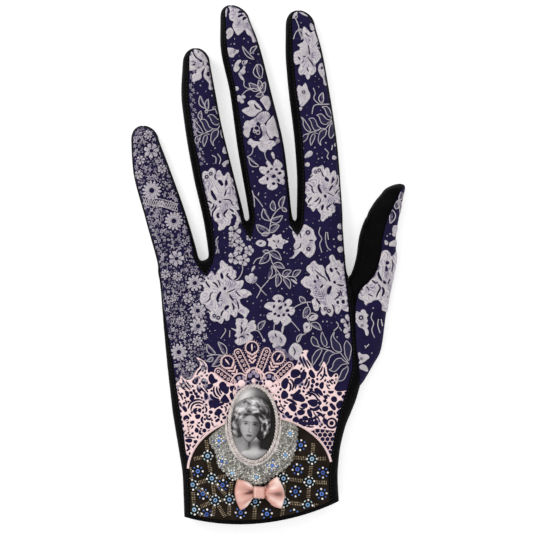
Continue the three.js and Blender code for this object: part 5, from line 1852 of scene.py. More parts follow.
# %% Trimming and threading the lace
ivory_thread = Finish("ivory_lace_thread", 0.8, 0.25, Sheen_Weight=0.1, Sheen_Roughness=0.5)
tone = ivory_thread.own("tone")
fuzz = ivory_thread.noise(1100, detail=4, roughness=0.65)
clouds = ivory_thread.noise(260, detail=4, roughness=0.65)
lines = (ivory_thread.own("along") * 9 + fuzz * 4 + clouds * 5).math("SINE") * 0.5 + 0.5
shade_here = tone * 0.94 + (fuzz - 0.5) * 0.95 + (lines - 0.5) * 0.46
shade_here = shade_here - clouds.between(0.5, 0.68) * 0.24
dark_to_lilac = ivory_thread.mix(shade_here.between(0.06, 0.5), rgb(30, 26, 62), rgb(150, 141, 160))
paleness = shade_here.between(0.4, 0.95)
ivory_thread.colour(ivory_thread.mix(paleness, dark_to_lilac, rgb(202, 196, 198)))
ivory_thread.relief(lines * 0.5 + fuzz, 0.00016, 0.8)

THUMB_TURN = 1.3  # mm inside the thumb's outer edge, where its lace starts to run down the side
THUMB_WRAP = 3.6
THUMB_LACE_END = -55
LACE_INSET = 0.2  # from the cloth's edge to the lace's
thumb_edge = seam_of(thumb, "right")
thumb_lace_area = [(float(thumb_edge(y)) + THUMB_WRAP - THUMB_TURN, float(y))
                   for y in np.arange(THUMB_LACE_END, 36, 2.0)]
thumb_lace_area += [(x + LACE_INSET, y) for x, y in thumb_seam_line if y > THUMB_LACE_END]


def round_thumb(x, y):
    """How far a plan point lies past the line where the thumb turns down."""
    return x - (thumb_edge(y) - THUMB_TURN)


lace_area, off_dome = grown(back_outline, -LACE_INSET), grown(dome_outline, LACE_INSET)
for name, work in (("floral_lace", big_flowers), ("small_floral_lace", small_flowers)):
    sewn = work.mesh(name)
    on_back = without(within(sewn, lace_area), off_dome)
    piece(name, draped(on_back), ivory_thread, "lace_cloth", crease=50)
    print(name, len(on_back.polygons), "faces")
    if name == "floral_lace":
        on_thumb = within(sewn, thumb_lace_area)
        piece("thumb_lace", draped(on_thumb, round_thumb), ivory_thread, "lace_cloth", crease=50)

# %% [markdown]
# ## The pink lace fan
#
# Above the cuff lies a fan of pale pink guipure, a lace without a ground. Its crown of eyes and
# bars is made of cords. The curved leaves round it are patches of close weave, cut through by
# slits and small holes, and cells of net fill two corners. The cords of this lace are rounder and
# higher than the floral lace below it, whose flowers show through the gaps. Patches are written
# as x and y by turns in tenths of a millimetre, everything else in millimetres.

# %% Where the pink cords run
LACE_EYES = table("x y half_width half_length turn", [
    (-8.0, -41.8, 3.2, 2.9, 0), (-20.2, -48.9, 3.2, 2.9, 38), (5.1, -46.7, 3.1, 2.9, -28),
])
LACE_BARS = table("x0 y0 x1 y1", [
    (-15.0, -44.1, -10.7, -52.5), (-0.7, -43.5, -4.3, -52.8), (-24.8, -53.6, -18.1, -58.7),
    (10.8, -50.7, 5.0, -56.2),
])
LACE_NETS = [
    (2.5, [(22.2, -82.6), (27.0, -82.0), (31.1, -83.1), (35.8, -81.4), (34.6, -88.0), (32.3, -96.1),
        (31.1, -97.9), (27.5, -92.0), (24.6, -87.9)]),
    (2.2, [(-41.5, -76.7), (-37.8, -77.8), (-38.5, -83.1), (-39.7, -86.1), (-41.6, -84.9)]),
]
LACE_SHEETS = [
    {"rim": [60, -570, 90, -548, 120, -520, 142, -502, 148, -480, 145, -460, 155, -440, 175, -432,
         202, -430, 192, -455, 200, -475, 215, -500, 228, -522, 240, -535, 255, -530, 270, -500,
         279, -485, 292, -510, 295, -535, 305, -560, 318, -565, 332, -548, 348, -550, 350, -580,
         338, -605, 330, -622, 345, -635, 370, -635, 400, -635, 400, -685, 385, -740, 365, -785,
         355, -822, 325, -832, 280, -825, 240, -822, 215, -832, 175, -810, 120, -782, 40, -758,
         10, -710, 18, -675, 30, -655, 40, -625, 25, -595],
     "holes": [[118, -535, 135, -526, 155, -532, 161, -544, 150, -558, 130, -566, 116, -558],
         [165, -548, 175, -536, 190, -542, 188, -560, 180, -574, 165, -568], [135, -576, 150, -569,
         173, -572, 168, -585, 152, -596, 140, -598, 133, -588], [75, -582, 88, -570, 101, -578,
         98, -595, 92, -616, 80, -621, 69, -608, 69, -592], [72, -640, 82, -632, 98, -648, 95, -664,
         75, -671, 67, -660], [122, -668, 140, -652, 160, -649, 175, -662, 183, -678, 170, -686,
         150, -681, 135, -678], [199, -685, 215, -678, 240, -679, 247, -692, 240, -706, 225, -710,
         210, -701, 202, -692], [210, -718, 230, -721, 255, -706, 253, -722, 238, -731, 218, -728],
         [104, -708, 115, -696, 130, -702, 141, -718, 132, -734, 118, -728, 110, -718], [164, -705,
         178, -696, 194, -699, 193, -714, 175, -714], [149, -735, 165, -728, 181, -733, 178, -746,
         162, -751, 149, -745], [197, -730, 208, -726, 218, -748, 218, -761, 208, -761, 199, -745],
         [124, -778, 135, -764, 148, -768, 151, -782, 140, -791, 130, -788], [152, -785, 162, -772,
         172, -776, 168, -794, 158, -798], [174, -765, 185, -759, 196, -764, 193, -778, 177, -778],
         [167, -801, 178, -786, 192, -789, 190, -804, 175, -807], [197, -790, 208, -784, 213, -795,
         206, -804, 197, -801], [214, -786, 230, -786, 228, -801, 215, -801], [234, -782, 244, -779,
         248, -790, 248, -801, 235, -801], [200, -772, 209, -769, 211, -781, 201, -782], [214, -769,
         223, -767, 224, -778, 216, -780], [229, -764, 238, -762, 240, -772, 231, -774], [85, -748,
         95, -738, 105, -749, 95, -756], [97, -762, 108, -756, 121, -758, 112, -768], [272, -720,
         280, -712, 296, -713, 295, -731, 277, -732], [317, -670, 330, -662, 342, -672, 338, -686,
         322, -684], [344, -698, 358, -684, 370, -686, 365, -708, 354, -721, 343, -710], [309, -702,
         318, -696, 336, -718, 333, -728, 322, -722], [299, -742, 312, -734, 323, -736, 318, -752,
         303, -755], [344, -740, 360, -726, 376, -724, 378, -732, 362, -745, 350, -750], [342, -764,
         355, -753, 366, -757, 355, -770], [277, -772, 288, -773, 292, -780, 288, -800, 282, -796,
         275, -782], [318, -769, 337, -776, 343, -795, 335, -814, 317, -820, 298, -812, 292, -794,
         300, -776], [206, -538, 215, -529, 231, -552, 231, -566, 218, -564, 207, -550], [218, -578,
         225, -574, 233, -588, 225, -594, 218, -588], [214, -605, 222, -600, 226, -610, 219, -616],
         [237, -598, 248, -593, 251, -601, 242, -608], [259, -600, 268, -591, 276, -594, 273, -618,
         264, -620, 258, -610], [207, -625, 215, -620, 222, -625, 217, -632], [232, -626, 242, -619,
         250, -623, 262, -633, 273, -654, 264, -654, 250, -642, 238, -636], [277, -660, 288, -656,
         296, -666, 288, -672], [277, -680, 288, -676, 290, -686, 280, -688], [252, -690, 262, -686,
         265, -697, 255, -701], [302, -635, 318, -636, 325, -634, 323, -642, 308, -644], [347, -641,
         365, -640, 367, -646, 359, -656, 350, -651], [369, -660, 382, -654, 386, -662, 374, -670],
         [114, -651, 130, -649, 145, -636, 158, -626, 161, -638, 145, -648, 128, -658, 115, -658],
         [27, -688, 40, -681, 46, -690, 35, -700]],
     "slits": [(4.8, [157, -444, 160, -468, 170, -490, 182, -515]), (4.8, [175, -460, 180, -480,
         190, -502, 202, -522]), (4, [192, -480, 205, -500, 215, -518]), (4.5, [272, -510,
         265, -530, 250, -548, 245, -562]), (4.5, [280, -515, 282, -545, 270, -570, 258, -580]),
         (5.5, [182, -608, 192, -588, 195, -570]), (4.8, [190, -622, 202, -602, 205, -580]), (5,
         [108, -572, 122, -585, 128, -605, 120, -630]), (5, [102, -590, 112, -602, 112, -622,
         105, -635]), (4.5, [132, -582, 139, -602, 135, -622]), (5, [185, -654, 205, -645,
         230, -652, 248, -672]), (4.5, [192, -640, 215, -635, 240, -644, 260, -665]), (7, [92, -676,
         112, -679, 132, -692, 144, -702]), (4.5, [42, -700, 50, -720, 65, -738, 80, -744]), (4.5,
         [78, -682, 90, -692, 100, -694]), (6.5, [240, -738, 255, -745, 270, -755, 282, -768]), (4,
         [305, -578, 315, -592, 325, -600]), (3.5, [292, -600, 300, -618, 310, -625]), (3.5,
         [225, -735, 235, -752, 250, -768, 260, -790]), (4, [292, -650, 308, -662]), (4,
         [300, -688, 288, -700]), (4, [155, -716, 170, -722, 185, -719]), (3.5, [60, -695, 70, -712,
         85, -725]), (4.5, [330, -740, 334, -754]), (4, [380, -675, 378, -695]), (4,
         [172, -535, 185, -526]), (4.5, [240, -668, 260, -685]), (4, [250, -709, 268, -735]), (4,
         [190, -809, 210, -812, 230, -812]), (4, [255, -805, 265, -815]), (4,
         [360, -612, 344, -622])]},
    {"rim": [-150, -595, -170, -598, -195, -590, -230, -572, -260, -548, -282, -538, -300, -542,
         -301, -510, -315, -488, -338, -472, -358, -465, -343, -485, -336, -500, -342, -515,
         -360, -535, -369, -555, -380, -572, -400, -580, -420, -570, -435, -555, -440, -580,
         -460, -600, -480, -640, -475, -680, -455, -740, -435, -805, -420, -870, -410, -945,
         -370, -955, -320, -920, -270, -880, -220, -830, -170, -780, -150, -730, -160, -660],
     "holes": [[-293, -560, -282, -549, -274, -558, -267, -572, -252, -582, -265, -591, -282, -594,
         -293, -580], [-333, -580, -318, -572, -302, -590, -308, -604, -322, -598, -330, -590],
         [-376, -585, -365, -572, -352, -566, -350, -585, -358, -598, -372, -594], [-311, -612,
         -298, -602, -277, -599, -279, -612, -292, -621, -305, -621], [-241, -602, -228, -589,
         -212, -596, -207, -612, -197, -614, -199, -638, -210, -646, -223, -636, -236, -624],
         [-233, -675, -222, -660, -215, -652, -207, -662, -194, -685, -212, -691, -231, -685],
         [-292, -685, -280, -681, -260, -684, -237, -684, -255, -698, -272, -714, -287, -711,
         -293, -698], [-264, -742, -250, -724, -238, -726, -229, -738, -242, -750, -242, -766,
         -252, -754, -263, -751], [-262, -782, -248, -771, -242, -776, -255, -786], [-225, -768,
         -212, -759, -210, -766, -220, -772], [-310, -795, -298, -789, -290, -798, -292, -818,
         -305, -818, -311, -808], [-363, -828, -358, -819, -349, -825, -350, -838, -360, -838],
         [-326, -832, -318, -822, -309, -828, -312, -837, -321, -838], [-421, -768, -408, -756,
         -395, -765, -397, -776, -410, -781, -420, -778], [-426, -716, -418, -712, -407, -725,
         -408, -736, -416, -733], [-413, -635, -402, -636, -395, -648, -400, -664, -408, -656,
         -410, -645], [-388, -665, -378, -654, -369, -662, -372, -675, -382, -681, -388, -674],
         [-361, -756, -340, -753, -342, -766, -355, -771], [-387, -789, -372, -783, -370, -792,
         -382, -796], [-346, -723, -335, -724, -338, -738, -346, -734], [-411, -879, -395, -873,
         -380, -877, -384, -888, -403, -888], [-368, -882, -355, -882, -357, -894, -367, -892],
         [-376, -912, -362, -902, -355, -910, -365, -921], [-390, -638, -380, -638, -378, -647,
         -387, -646], [-374, -629, -366, -628, -366, -638, -373, -637], [-367, -643, -354, -643,
         -354, -653, -363, -652], [-358, -659, -345, -656, -342, -664, -355, -666], [-316, -646,
         -305, -648, -302, -665, -312, -674], [-293, -736, -282, -732, -278, -742, -288, -745],
         [-188, -612, -172, -608, -162, -620, -172, -635, -185, -628], [-188, -648, -175, -642,
         -168, -658, -175, -680, -186, -665]],
     "slits": [(7.5, [-268, -720, -252, -706, -235, -699, -218, -695]), (6, [-352, -720, -368, -728,
         -366, -740, -355, -748]), (4, [-410, -866, -390, -864, -362, -868]), (5.5, [-408, -898,
         -398, -912, -391, -928]), (7.5, [-286, -648, -278, -665, -260, -675, -242, -677]), (5,
         [-268, -610, -271, -632, -262, -655, -245, -666]), (5, [-255, -612, -255, -630, -245, -650,
         -233, -660]), (4.5, [-245, -618, -238, -638, -228, -650]), (4.8, [-342, -478, -325, -492,
         -318, -515, -328, -538]), (4.8, [-328, -505, -332, -522, -348, -540, -355, -555]), (4,
         [-310, -512, -310, -530]), (4.8, [-430, -569, -420, -590, -405, -612, -388, -628]), (4.8,
         [-442, -590, -430, -615, -410, -629]), (4.5, [-410, -585, -398, -598, -382, -620]), (4.5,
         [-352, -605, -348, -630, -332, -648]), (4.5, [-338, -612, -325, -630, -310, -642]), (4.5,
         [-325, -605, -310, -624, -298, -640]), (5, [-398, -722, -392, -700, -375, -684, -350, -677,
         -328, -680]), (4.5, [-385, -732, -380, -709, -365, -695, -342, -692, -322, -698]), (4,
         [-362, -709, -348, -704, -332, -710]), (5, [-303, -752, -305, -768, -292, -775,
         -281, -766]), (4.5, [-355, -800, -348, -810, -340, -814]), (4.5, [-345, -834, -332, -832]),
         (5.5, [-325, -760, -331, -778, -322, -795]), (4.5, [-315, -708, -306, -725, -311, -742]),
         (4.5, [-402, -805, -395, -828, -400, -850]), (4, [-372, -805, -382, -822]), (4,
         [-448, -640, -432, -660, -425, -680]), (4, [-442, -690, -432, -715]), (4,
         [-412, -678, -405, -698]), (4, [-320, -852, -335, -872, -345, -895]), (4,
         [-282, -788, -272, -808]), (4.5, [-276, -699, -290, -722]), (4, [-218, -708, -208, -722,
         -212, -738]), (4, [-395, -748, -382, -762]), (4, [-428, -825, -418, -850]), (4,
         [-351, -560, -338, -572]), (4, [-338, -852, -325, -845])]},
    {"rim": [-160, -680, -175, -645, -170, -618, -150, -598, -130, -586, -123, -560, -110, -535,
         -88, -518, -70, -512, -50, -518, -30, -534, -15, -555, -8, -578, 20, -588, 40, -610,
         45, -645, 30, -680, 0, -695, -30, -665, -70, -632, -110, -635, -140, -655],
     "holes": [[-108, -575, -114, -560, -105, -546, -90, -545, -88, -532, -78, -523, -65, -523,
         -55, -532, -52, -545, -37, -546, -27, -560, -32, -575, -45, -580, -58, -572, -70, -565,
         -82, -572, -95, -580], [-106, -596, -100, -591, -93, -596, -100, -604], [-90, -586,
         -85, -582, -80, -586, -85, -591], [-73, -583, -69, -579, -64, -583, -69, -588], [-59, -592,
         -55, -586, -50, -592, -55, -596], [-43, -595, -37, -588, -29, -595, -37, -602], [-53, -610,
         -50, -606, -46, -610, -50, -614], [-86, -602, -82, -598, -78, -602, -82, -605],
         [-148, -630, -138, -626, -135, -635, -145, -639]],
     "slits": [(4, [-10, -605, 2, -625]), (4, [10, -598, 18, -615]), (4, [-8, -640, 5, -632,
         20, -642]), (4, [-150, -612, -135, -605]), (4, [-125, -612, -118, -630]), (4,
         [-160, -640, -148, -655])]},
]
LACE_TREFOILS = [  # lobes of darker weave (x, y, radius), and the cord over them
    ([(-9.0, -55.6, 1.1), (-7.2, -54.0, 1.2), (-5.4, -55.6, 1.1)], [(-11.0, -57.6), (-10.6, -54.6),
        (-8.8, -52.6), (-7.2, -51.9), (-5.5, -52.6), (-3.8, -54.6), (-3.4, -57.6)]),
    ([(-1.3, -56.9, 0.9), (0.6, -55.9, 1.0), (2.9, -56.9, 1.0), (3.9, -59.2, 0.8)], [(-2.7, -57.4),
        (-1.8, -55.2), (0.5, -54.0), (3.3, -54.8), (5.0, -57.2), (5.3, -60.4)]),
    ([(-12.2, -56.3, 0.8), (-14.4, -56.9, 1.0), (-16.6, -58.6, 1.0)], [(-11.2, -55.8),
        (-13.6, -54.5), (-16.5, -55.5), (-18.4, -58.4)]),
]
LACE_LOBES = [(-13.2, -59.6, 1.9), (0.4, -59.8, 1.9), (-7.2, -58.4, 1.0), (2.6, -62.9, 1.5)]
drawn_holes = sum(len(sheet["holes"]) for sheet in LACE_SHEETS)
print(len(LACE_SHEETS), "patches with", drawn_holes, "drawn holes")

# %% Sewing the pink lace
PINK_CORD = 0.62
PINK_LIFT = 0.95
PICOT_STEP = 1.25
PICOT = (0.2, 1.0, 0.6, 6)  # a tiny knot's radius, tone, lift and sides
BAR_REACH = 1.75  # from a bar's middle line to its cord
EYE_LIFT = 1.1
FAN_MIDDLE = (-7.3, -66.4)
HOLE_TRIES = 4500
HOLE_SPACING = 0.92
TINTS = 14
pink = Needlework()


def way(x0, y0, x1, y1):
    """The distance between two plan points and the direction from one to the other."""
    length = math.hypot(x1 - x0, y1 - y0)
    return length, (x1 - x0) / length, (y1 - y0) / length


def sew_bar(work, x0, y0, x1, y1):
    """A bar with round ends: a cord round a row of thread beads."""
    length, ux, uy = way(x0, y0, x1, y1)
    outline = []
    for (x, y), first in (((x0, y0), 90), ((x1, y1), 270)):
        for degrees in range(first, first + 181, 30):
            u, v = polar(0, 0, BAR_REACH, math.radians(degrees))
            outline.append((x + ux * u - uy * v, y + uy * u + ux * v))
    work.cord(outline, PINK_CORD, PINK_LIFT, 1.0, True, 0.7)
    count = max(3, round(length / 2.1))
    for k in range(count + 1):
        share = k / count
        x, y = x0 + (x1 - x0) * share, y0 + (y1 - y0) * share
        work.ring(x, y, 0.62, 0.5, PINK_LIFT * 0.8, 0.85)
        work.knot(x + uy * 1.15, y - ux * 1.15, 0.2, 0.5, 0.5, 6)
        work.knot(x - uy * 1.15, y + ux * 1.15, 0.2, 0.5, 0.5, 6)


for x, y, half_width, half_length, degrees in (row.values() for row in LACE_EYES):
    _, dx, dy = way(x, y, *FAN_MIDDLE)
    outline = oval(x, y, half_width, half_length * 1.12, math.radians(degrees))
    pink.cord(outline, 0.72, EYE_LIFT, 1.0, True, 0.7)
    pink.petal(x + dx * 1.7, y + dy * 1.7, x - dx * 2.1, y - dy * 2.1, 0.95, 1.0, 0.9, 10)
    for k, wide in enumerate((2.7, 2.3, 1.7)):
        far = 3.6 + k * 2.0
        px, py = x + dx * far, y + dy * far
        for arm in ((px - dy * wide - dx * 1.9, py + dx * wide - dy * 1.9), (px, py)), (
                (px, py), (px + dy * wide - dx * 1.9, py - dx * wide - dy * 1.9)):
            pink.cord(arm, 0.85, PINK_LIFT, 1.0)
for row in LACE_BARS:
    sew_bar(pink, *row.values())
dice = random.Random(8)


def somewhere(low, high):
    """A random place in the box between two corners."""
    return dice.uniform(low[0], high[0]), dice.uniform(low[1], high[1])


for sheet in LACE_SHEETS:
    rim = pairs(sheet["rim"])
    slits = [(width / 10 * 1.5, pairs(path)) for width, path in sheet["slits"]]
    holes = [(0, pairs(outline)) for outline in sheet["holes"]]
    edges = [grown(smooth_line(path, 0.6, True), HOLE_GROWTH) for _, path in holes]
    edges += [smooth_line(path, 0.5) for _, path in slits]
    taken = np.vstack([smooth_line(rim, 0.6, True), *edges])
    low, high = np.min(rim, axis=0), np.max(rim, axis=0)
    for _ in range(HOLE_TRIES):
        spot = np.array(somewhere(low, high))
        if inside(spot, rim)[0] and np.hypot(*(taken - spot).T).min() > HOLE_SPACING:
            half_width, half_length = dice.uniform(0.25, 0.34), dice.uniform(0.34, 0.62)
            outline = oval(*spot, half_width, half_length, dice.uniform(0, 3.1), 8)
            holes.append((0, outline))
            taken = np.vstack([taken, grown(outline, HOLE_GROWTH)])
    tints = [(*somewhere(low, high), 2.2, 2.0) for _ in range(TINTS)]
    pink.cutwork(rim, holes + slits, (), tints)
pink.ring(31.7, -79.4, 1.5, 0.8, PINK_LIFT, 1.0)
for lobes, cord_over in LACE_TREFOILS:
    for x, y, radius in lobes:
        pink.knot(x, y, radius, 0.25, 0.1, 12)
    pink.cord(cord_over, 0.8, PINK_LIFT, 1.0)
for x, y, radius in LACE_LOBES:
    pink.knot(x, y, radius, 1.0, PINK_LIFT, 14)
print("patches, eyes and bars:", len(pink.faces), "faces")

# %% Picots and net
# Picots are rows of tiny knots outside the eyes and the bars.
for row in LACE_EYES:
    around_eye = smooth_line(oval(row["x"], row["y"], 3.9, 4.1), 1.2, True)
    for x, y in smooth_line(around_eye, PICOT_STEP, True):
        pink.knot(x, y, *PICOT)
for x0, y0, x1, y1 in (row.values() for row in LACE_BARS):
    length, ux, uy = way(x0, y0, x1, y1)
    for k in range(int(length / PICOT_STEP)):
        x, y = x0 + ux * k * PICOT_STEP, y0 + uy * k * PICOT_STEP
        for side in (-2.4, 2.4):
            pink.knot(x - uy * side, y + ux * side, *PICOT)

NET_WOBBLE = 0.22 * 0.4


def honeycomb(work, spacing, outline):
    """Cells of net: six-sided holes with cords between them, slightly uneven."""
    edge = np.array(outline)
    low, high = edge.min(axis=0) - spacing, edge.max(axis=0) + spacing
    rise = spacing * 3**0.5 / 2
    wobble = random.Random(int(spacing * 100))
    corners, links = {}, set()
    for row in range(int((high[1] - low[1]) / rise) + 1):
        for k in range(int((high[0] - low[0]) / spacing) + 1):
            cx, cy = low[0] + (k + 0.5 * (row % 2)) * spacing, low[1] + row * rise
            keys = []
            for degrees in range(30, 390, 60):
                x, y = polar(cx, cy, spacing / 3**0.5, math.radians(degrees))
                key = (round(x / spacing * 6), round(y / spacing * 6))
                moved = (x + wobble.gauss(0, NET_WOBBLE), y + wobble.gauss(0, NET_WOBBLE))
                corners.setdefault(key, moved)
                keys.append(key)
            links |= {tuple(sorted(pair)) for pair in zip(keys, keys[1:] + keys[:1])}
    for a, b in sorted(links):
        middle = (np.array(corners[a]) + np.array(corners[b])) / 2
        if inside(middle, outline)[0]:
            work.cord([corners[a], corners[b]], 0.42, 0.6, 1.0)


for spacing, outline in LACE_NETS:
    honeycomb(pink, spacing, outline)
print("pink lace:", len(pink.faces), "faces")

# %% [markdown]
# The pink thread is matt cotton, its pink varying a little at random and with the twist, and greyer
# in scattered spots and in the darker lobes. Fine twist lines run across the cord. Where the lace
# meets the side seams and the dome's edge, it is trimmed on the same columns as the cloth.

# %% Trimming and threading the pink lace
pink_thread = Finish("pink_cotton_thread", roughness=0.75, specular=0.3, Sheen_Weight=0.1)
tone = pink_thread.own("tone")
fuzz = pink_thread.noise(700, detail=3)
twist = (pink_thread.own("along") * 11 + fuzz * 4).math("SINE") * 0.5 + 0.5
lilac = pink_thread.mix(fuzz.between(0.35, 0.65), rgb(128, 118, 146), rgb(170, 154, 172))
paleness = (fuzz * 0.6 + twist * 0.4).between(0.2, 0.9)
fresh = pink_thread.mix(paleness, rgb(238, 206, 205), rgb(250, 224, 223))
pink_thread.colour(pink_thread.mix(tone.between(0.35, 0.7), lilac, fresh))
pink_thread.relief(twist * 0.6 + fuzz, 0.00014, 0.8)
fan = without(within(pink.mesh("pink_lace"), lace_area), grown(dome_outline, 0.1))
piece("pink_lace_fan", draped(fan), pink_thread, "pink_lace", "lace_fan", crease=55)

# The pink cord on the dome's edge, in two lengths that end under the beaded collar.
for side, first, last in (("left", 177, 119), ("right", 74, 10)):
    path = [dome_place(math.radians(degrees)) for degrees in np.linspace(first, last, 14)]
    name = "dome_cord_" + side
    edging = Needlework()
    edging.cord(path, 1.15, 0.95, 1.0, False, 0.5)
    edging = draped(edging.mesh(name))
    piece(name, edging, pink_thread, "pink_lace", "piping_" + side, crease=60)
print("fan in mm:", [round(v, 1) for v in corners_of(fan).max(axis=0)])

# %% [markdown]
# ## Beads and stitches by Geometry Nodes
#
# A bead is tiny and comes in hundreds, so none is placed by hand. A Geometry Nodes tree takes a
# cloud of points, each with the direction its bead faces and the way it points, sets a small
# low-faced ball on every point, varies its size from a fixed seed, and joins all into one mesh.
# The same tree makes seed beads, dashes of thread and stitches: only its named inputs differ. A
# second tree sets rings instead of balls.

# %% The bead tree
TREE_INPUTS = {
    "Points": "Geometry", "Radius": "Float", "Length": "Float", "Height": "Float",
    "Spread": "Float", "Seed": "Int", "Finish": "Material",
}


def bead_tree(name, ring_shaped=False):
    """A node tree that sets a ball, or a ring, on every point of a cloud."""
    tree = bpy.data.node_groups.new(name, "GeometryNodeTree")
    for label, kind in TREE_INPUTS.items():
        tree.interface.new_socket(label, in_out="INPUT", socket_type="NodeSocket" + kind)
    tree.interface.new_socket("Beads", in_out="OUTPUT", socket_type="NodeSocketGeometry")

    def add(kind, settings=None, inputs=None):
        made = tree.nodes.new(kind)
        for key, setting in (settings or {}).items():
            setattr(made, key, setting)
        for key, given in (inputs or {}).items():
            if isinstance(given, bpy.types.NodeSocket):
                tree.links.new(given, made.inputs[key])
            else:
                made.inputs[key].default_value = given
        return made

    def first(kind, settings=None, inputs=None):
        return add(kind, settings, inputs).outputs[0]

    def own(kind, name):
        """What the cloud keeps for each point under a name."""
        return first("GeometryNodeInputNamedAttribute", {"data_type": kind}, {"Name": name})

    def sum_of(operation, a, b):
        return first("ShaderNodeMath", {"operation": operation}, {0: a, 1: b})

    given = add("NodeGroupInput").outputs
    align = "FunctionNodeAlignRotationToVector"
    upright = first(align, {"axis": "Z"}, {"Vector": own("FLOAT_VECTOR", "facing")})
    aimed = {"Rotation": upright, "Vector": own("FLOAT_VECTOR", "aim")}
    turned_to = first(align, {"axis": "X", "pivot_axis": "Z"}, aimed)
    sizes = {"Min": sum_of("SUBTRACT", 1.0, given["Spread"]),
             "Max": sum_of("ADD", 1.0, given["Spread"]), "Seed": given["Seed"]}
    chance_of_size = add("FunctionNodeRandomValue", {"data_type": "FLOAT"}, sizes).outputs["Value"]
    size = sum_of("MULTIPLY", chance_of_size, own("FLOAT", "size"))
    size = sum_of("MULTIPLY", size, given["Radius"])
    sides = {0: given["Length"], 1: 1.0, 2: given["Height"]}
    shape_of = first("ShaderNodeCombineXYZ", None, sides)
    scale = first("ShaderNodeVectorMath", {"operation": "SCALE"}, {0: shape_of, "Scale": size})
    if ring_shaped:
        circle = "GeometryNodeCurvePrimitiveCircle"
        path = first(circle, None, {"Resolution": 12, "Radius": 0.7})
        profile = first(circle, None, {"Resolution": 6, "Radius": 0.3})
        curves = {"Curve": path, "Profile Curve": profile}
        shape = first("GeometryNodeCurveToMesh", None, curves)
    else:
        shape = first("GeometryNodeMeshIcoSphere", None, {"Radius": 1.0, "Subdivisions": 2})
    on_points = {"Points": given["Points"], "Instance": shape,
                 "Rotation": turned_to, "Scale": scale}
    beads = first("GeometryNodeInstanceOnPoints", None, on_points)
    chance_of_colour = add("FunctionNodeRandomValue", {"data_type": "FLOAT"}, {"Seed": 7})
    marks = {"Geometry": beads, "Name": "chance", "Value": chance_of_colour.outputs["Value"]}
    per_bead = {"data_type": "FLOAT", "domain": "INSTANCE"}
    marked = first("GeometryNodeStoreNamedAttribute", per_bead, marks)
    real = first("GeometryNodeRealizeInstances", None, {"Geometry": marked})
    dressing = {"Geometry": real, "Material": given["Finish"]}
    add("NodeGroupOutput", None, {"Beads": first("GeometryNodeSetMaterial", None, dressing)})
    return tree


BEAD, RING = bead_tree("seed_beads"), bead_tree("bead_rings", ring_shaped=True)


def strewn(name, places, finish, slot_name, tree=BEAD, radius=0.4, length=1.0, height=0.8,
           spread=0.0, lift=0.1, sizes=None, seed=1):
    """Beads on plan points of the skin, as one plain mesh.

    A bead's own place may be followed by the direction that it points in."""
    count = len(places)
    x, y, *aim = np.array(places, float).T
    aims = np.stack([*(aim or (np.ones(count), np.zeros(count))), np.zeros(count)], axis=1)
    cloud = mesh_from(name, np.stack([x, y, height_at(x, y) + lift], axis=1), [])
    for label, values in (("facing", normal_at(x, y)), ("aim", aims)):
        attribute = cloud.attributes.new(label, "FLOAT_VECTOR", "POINT")
        attribute.data.foreach_set("vector", values.ravel())
    store(cloud, "size", np.ones(count) if sizes is None else sizes)
    wanted = {"Radius": radius * MM, "Length": length, "Height": height, "Spread": spread,
              "Seed": seed, "Finish": finish.material}
    inputs = [(item.identifier, wanted[item.name])
              for item in tree.interface.items_tree if item.name in wanted]
    made = evaluated(cloud, [("NODES", {"node_group": tree})], inputs)
    print(f"{name}: {count} beads, {len(made.polygons)} faces")
    piece(name, made, finish, slot_name, crease=0)


# %% [markdown]
# ## Rosettes on the cuff
#
# The brown cloth carries two kinds of small round rosettes in turn: one with a deep blue ring and
# dots in white and blue, one with a light blue ring and dots in white and pale aqua. Chains of
# short tan dashes link the light ones. They look embroidered with seed beads, so each dot is a
# bead pressed into the cloth, and each colour is one scatter of points.

# %% Where the rosettes lie
DEEP_ROSETTES = [
    (-35.0, -103.4), (-32.5, -114.6), (-30.6, -124.9), (-13.6, -123.9), (-0.5, -124.5),
    (12.7, -124.9),
    (13.7, -113.4), (14.7, -102.3), (16.3, -90.3), (27.4, -104.1), (26.8, -114.7), (-22.6, -110.2),
]
LIGHT_ROSETTES = [
    (-30.1, -95.7), (-28.0, -106.9), (-26.3, -117.8), (-19.2, -117.4), (-36.8, -122.6),
    (-6.4, -118.3), (7.7, -106.9), (20.6, -108.6), (19.8, -120.1), (21.9, -97.2), (-37.6, -110.2),
    (8.1, -118.7), (-17.6, -105.2),
]
OUTSIDE_LIGHTS = [
    (-19.5, -129), (-7, -130), (6.3, -129), (32.5, -109.3), (32.4, -121), (32.3, -97), (23, -85.7),
    (7.8, -96), (-31, -84.5), (-40, -98), (20, -131), (-28, -129),
]
CUFF_MARGIN = 0.7
ROSETTE_REACH, DASH_REACH = 2.45, 2.3
LINK_REACH = 14.2  # light rosettes nearer to each other than this are linked
LINK_START, LINK_END, LINK_STEP = 3.4, 3.2, 0.85
LINK_SIDE = 0.52  # from a link's middle line to either row of dashes
cuff_edge = dome_arc + [(dome_arc[-1][0], -130.5), (dome_arc[0][0], -130.5)]
cuff_inside = grown(cuff_edge, -CUFF_MARGIN)


def on_cuff(points):
    """Points clear of the cuff's edges, with whatever else belongs to each."""
    found = []
    for point in points:
        x, y = point[:2]
        beside = float(left_seam(y)) + CUFF_MARGIN < x < float(right_seam(y)) - CUFF_MARGIN
        if beside and inside((x, y), cuff_inside)[0] and y > hem_y(x, HEM_WIDTH + CUFF_MARGIN):
            found.append(point)
    return found


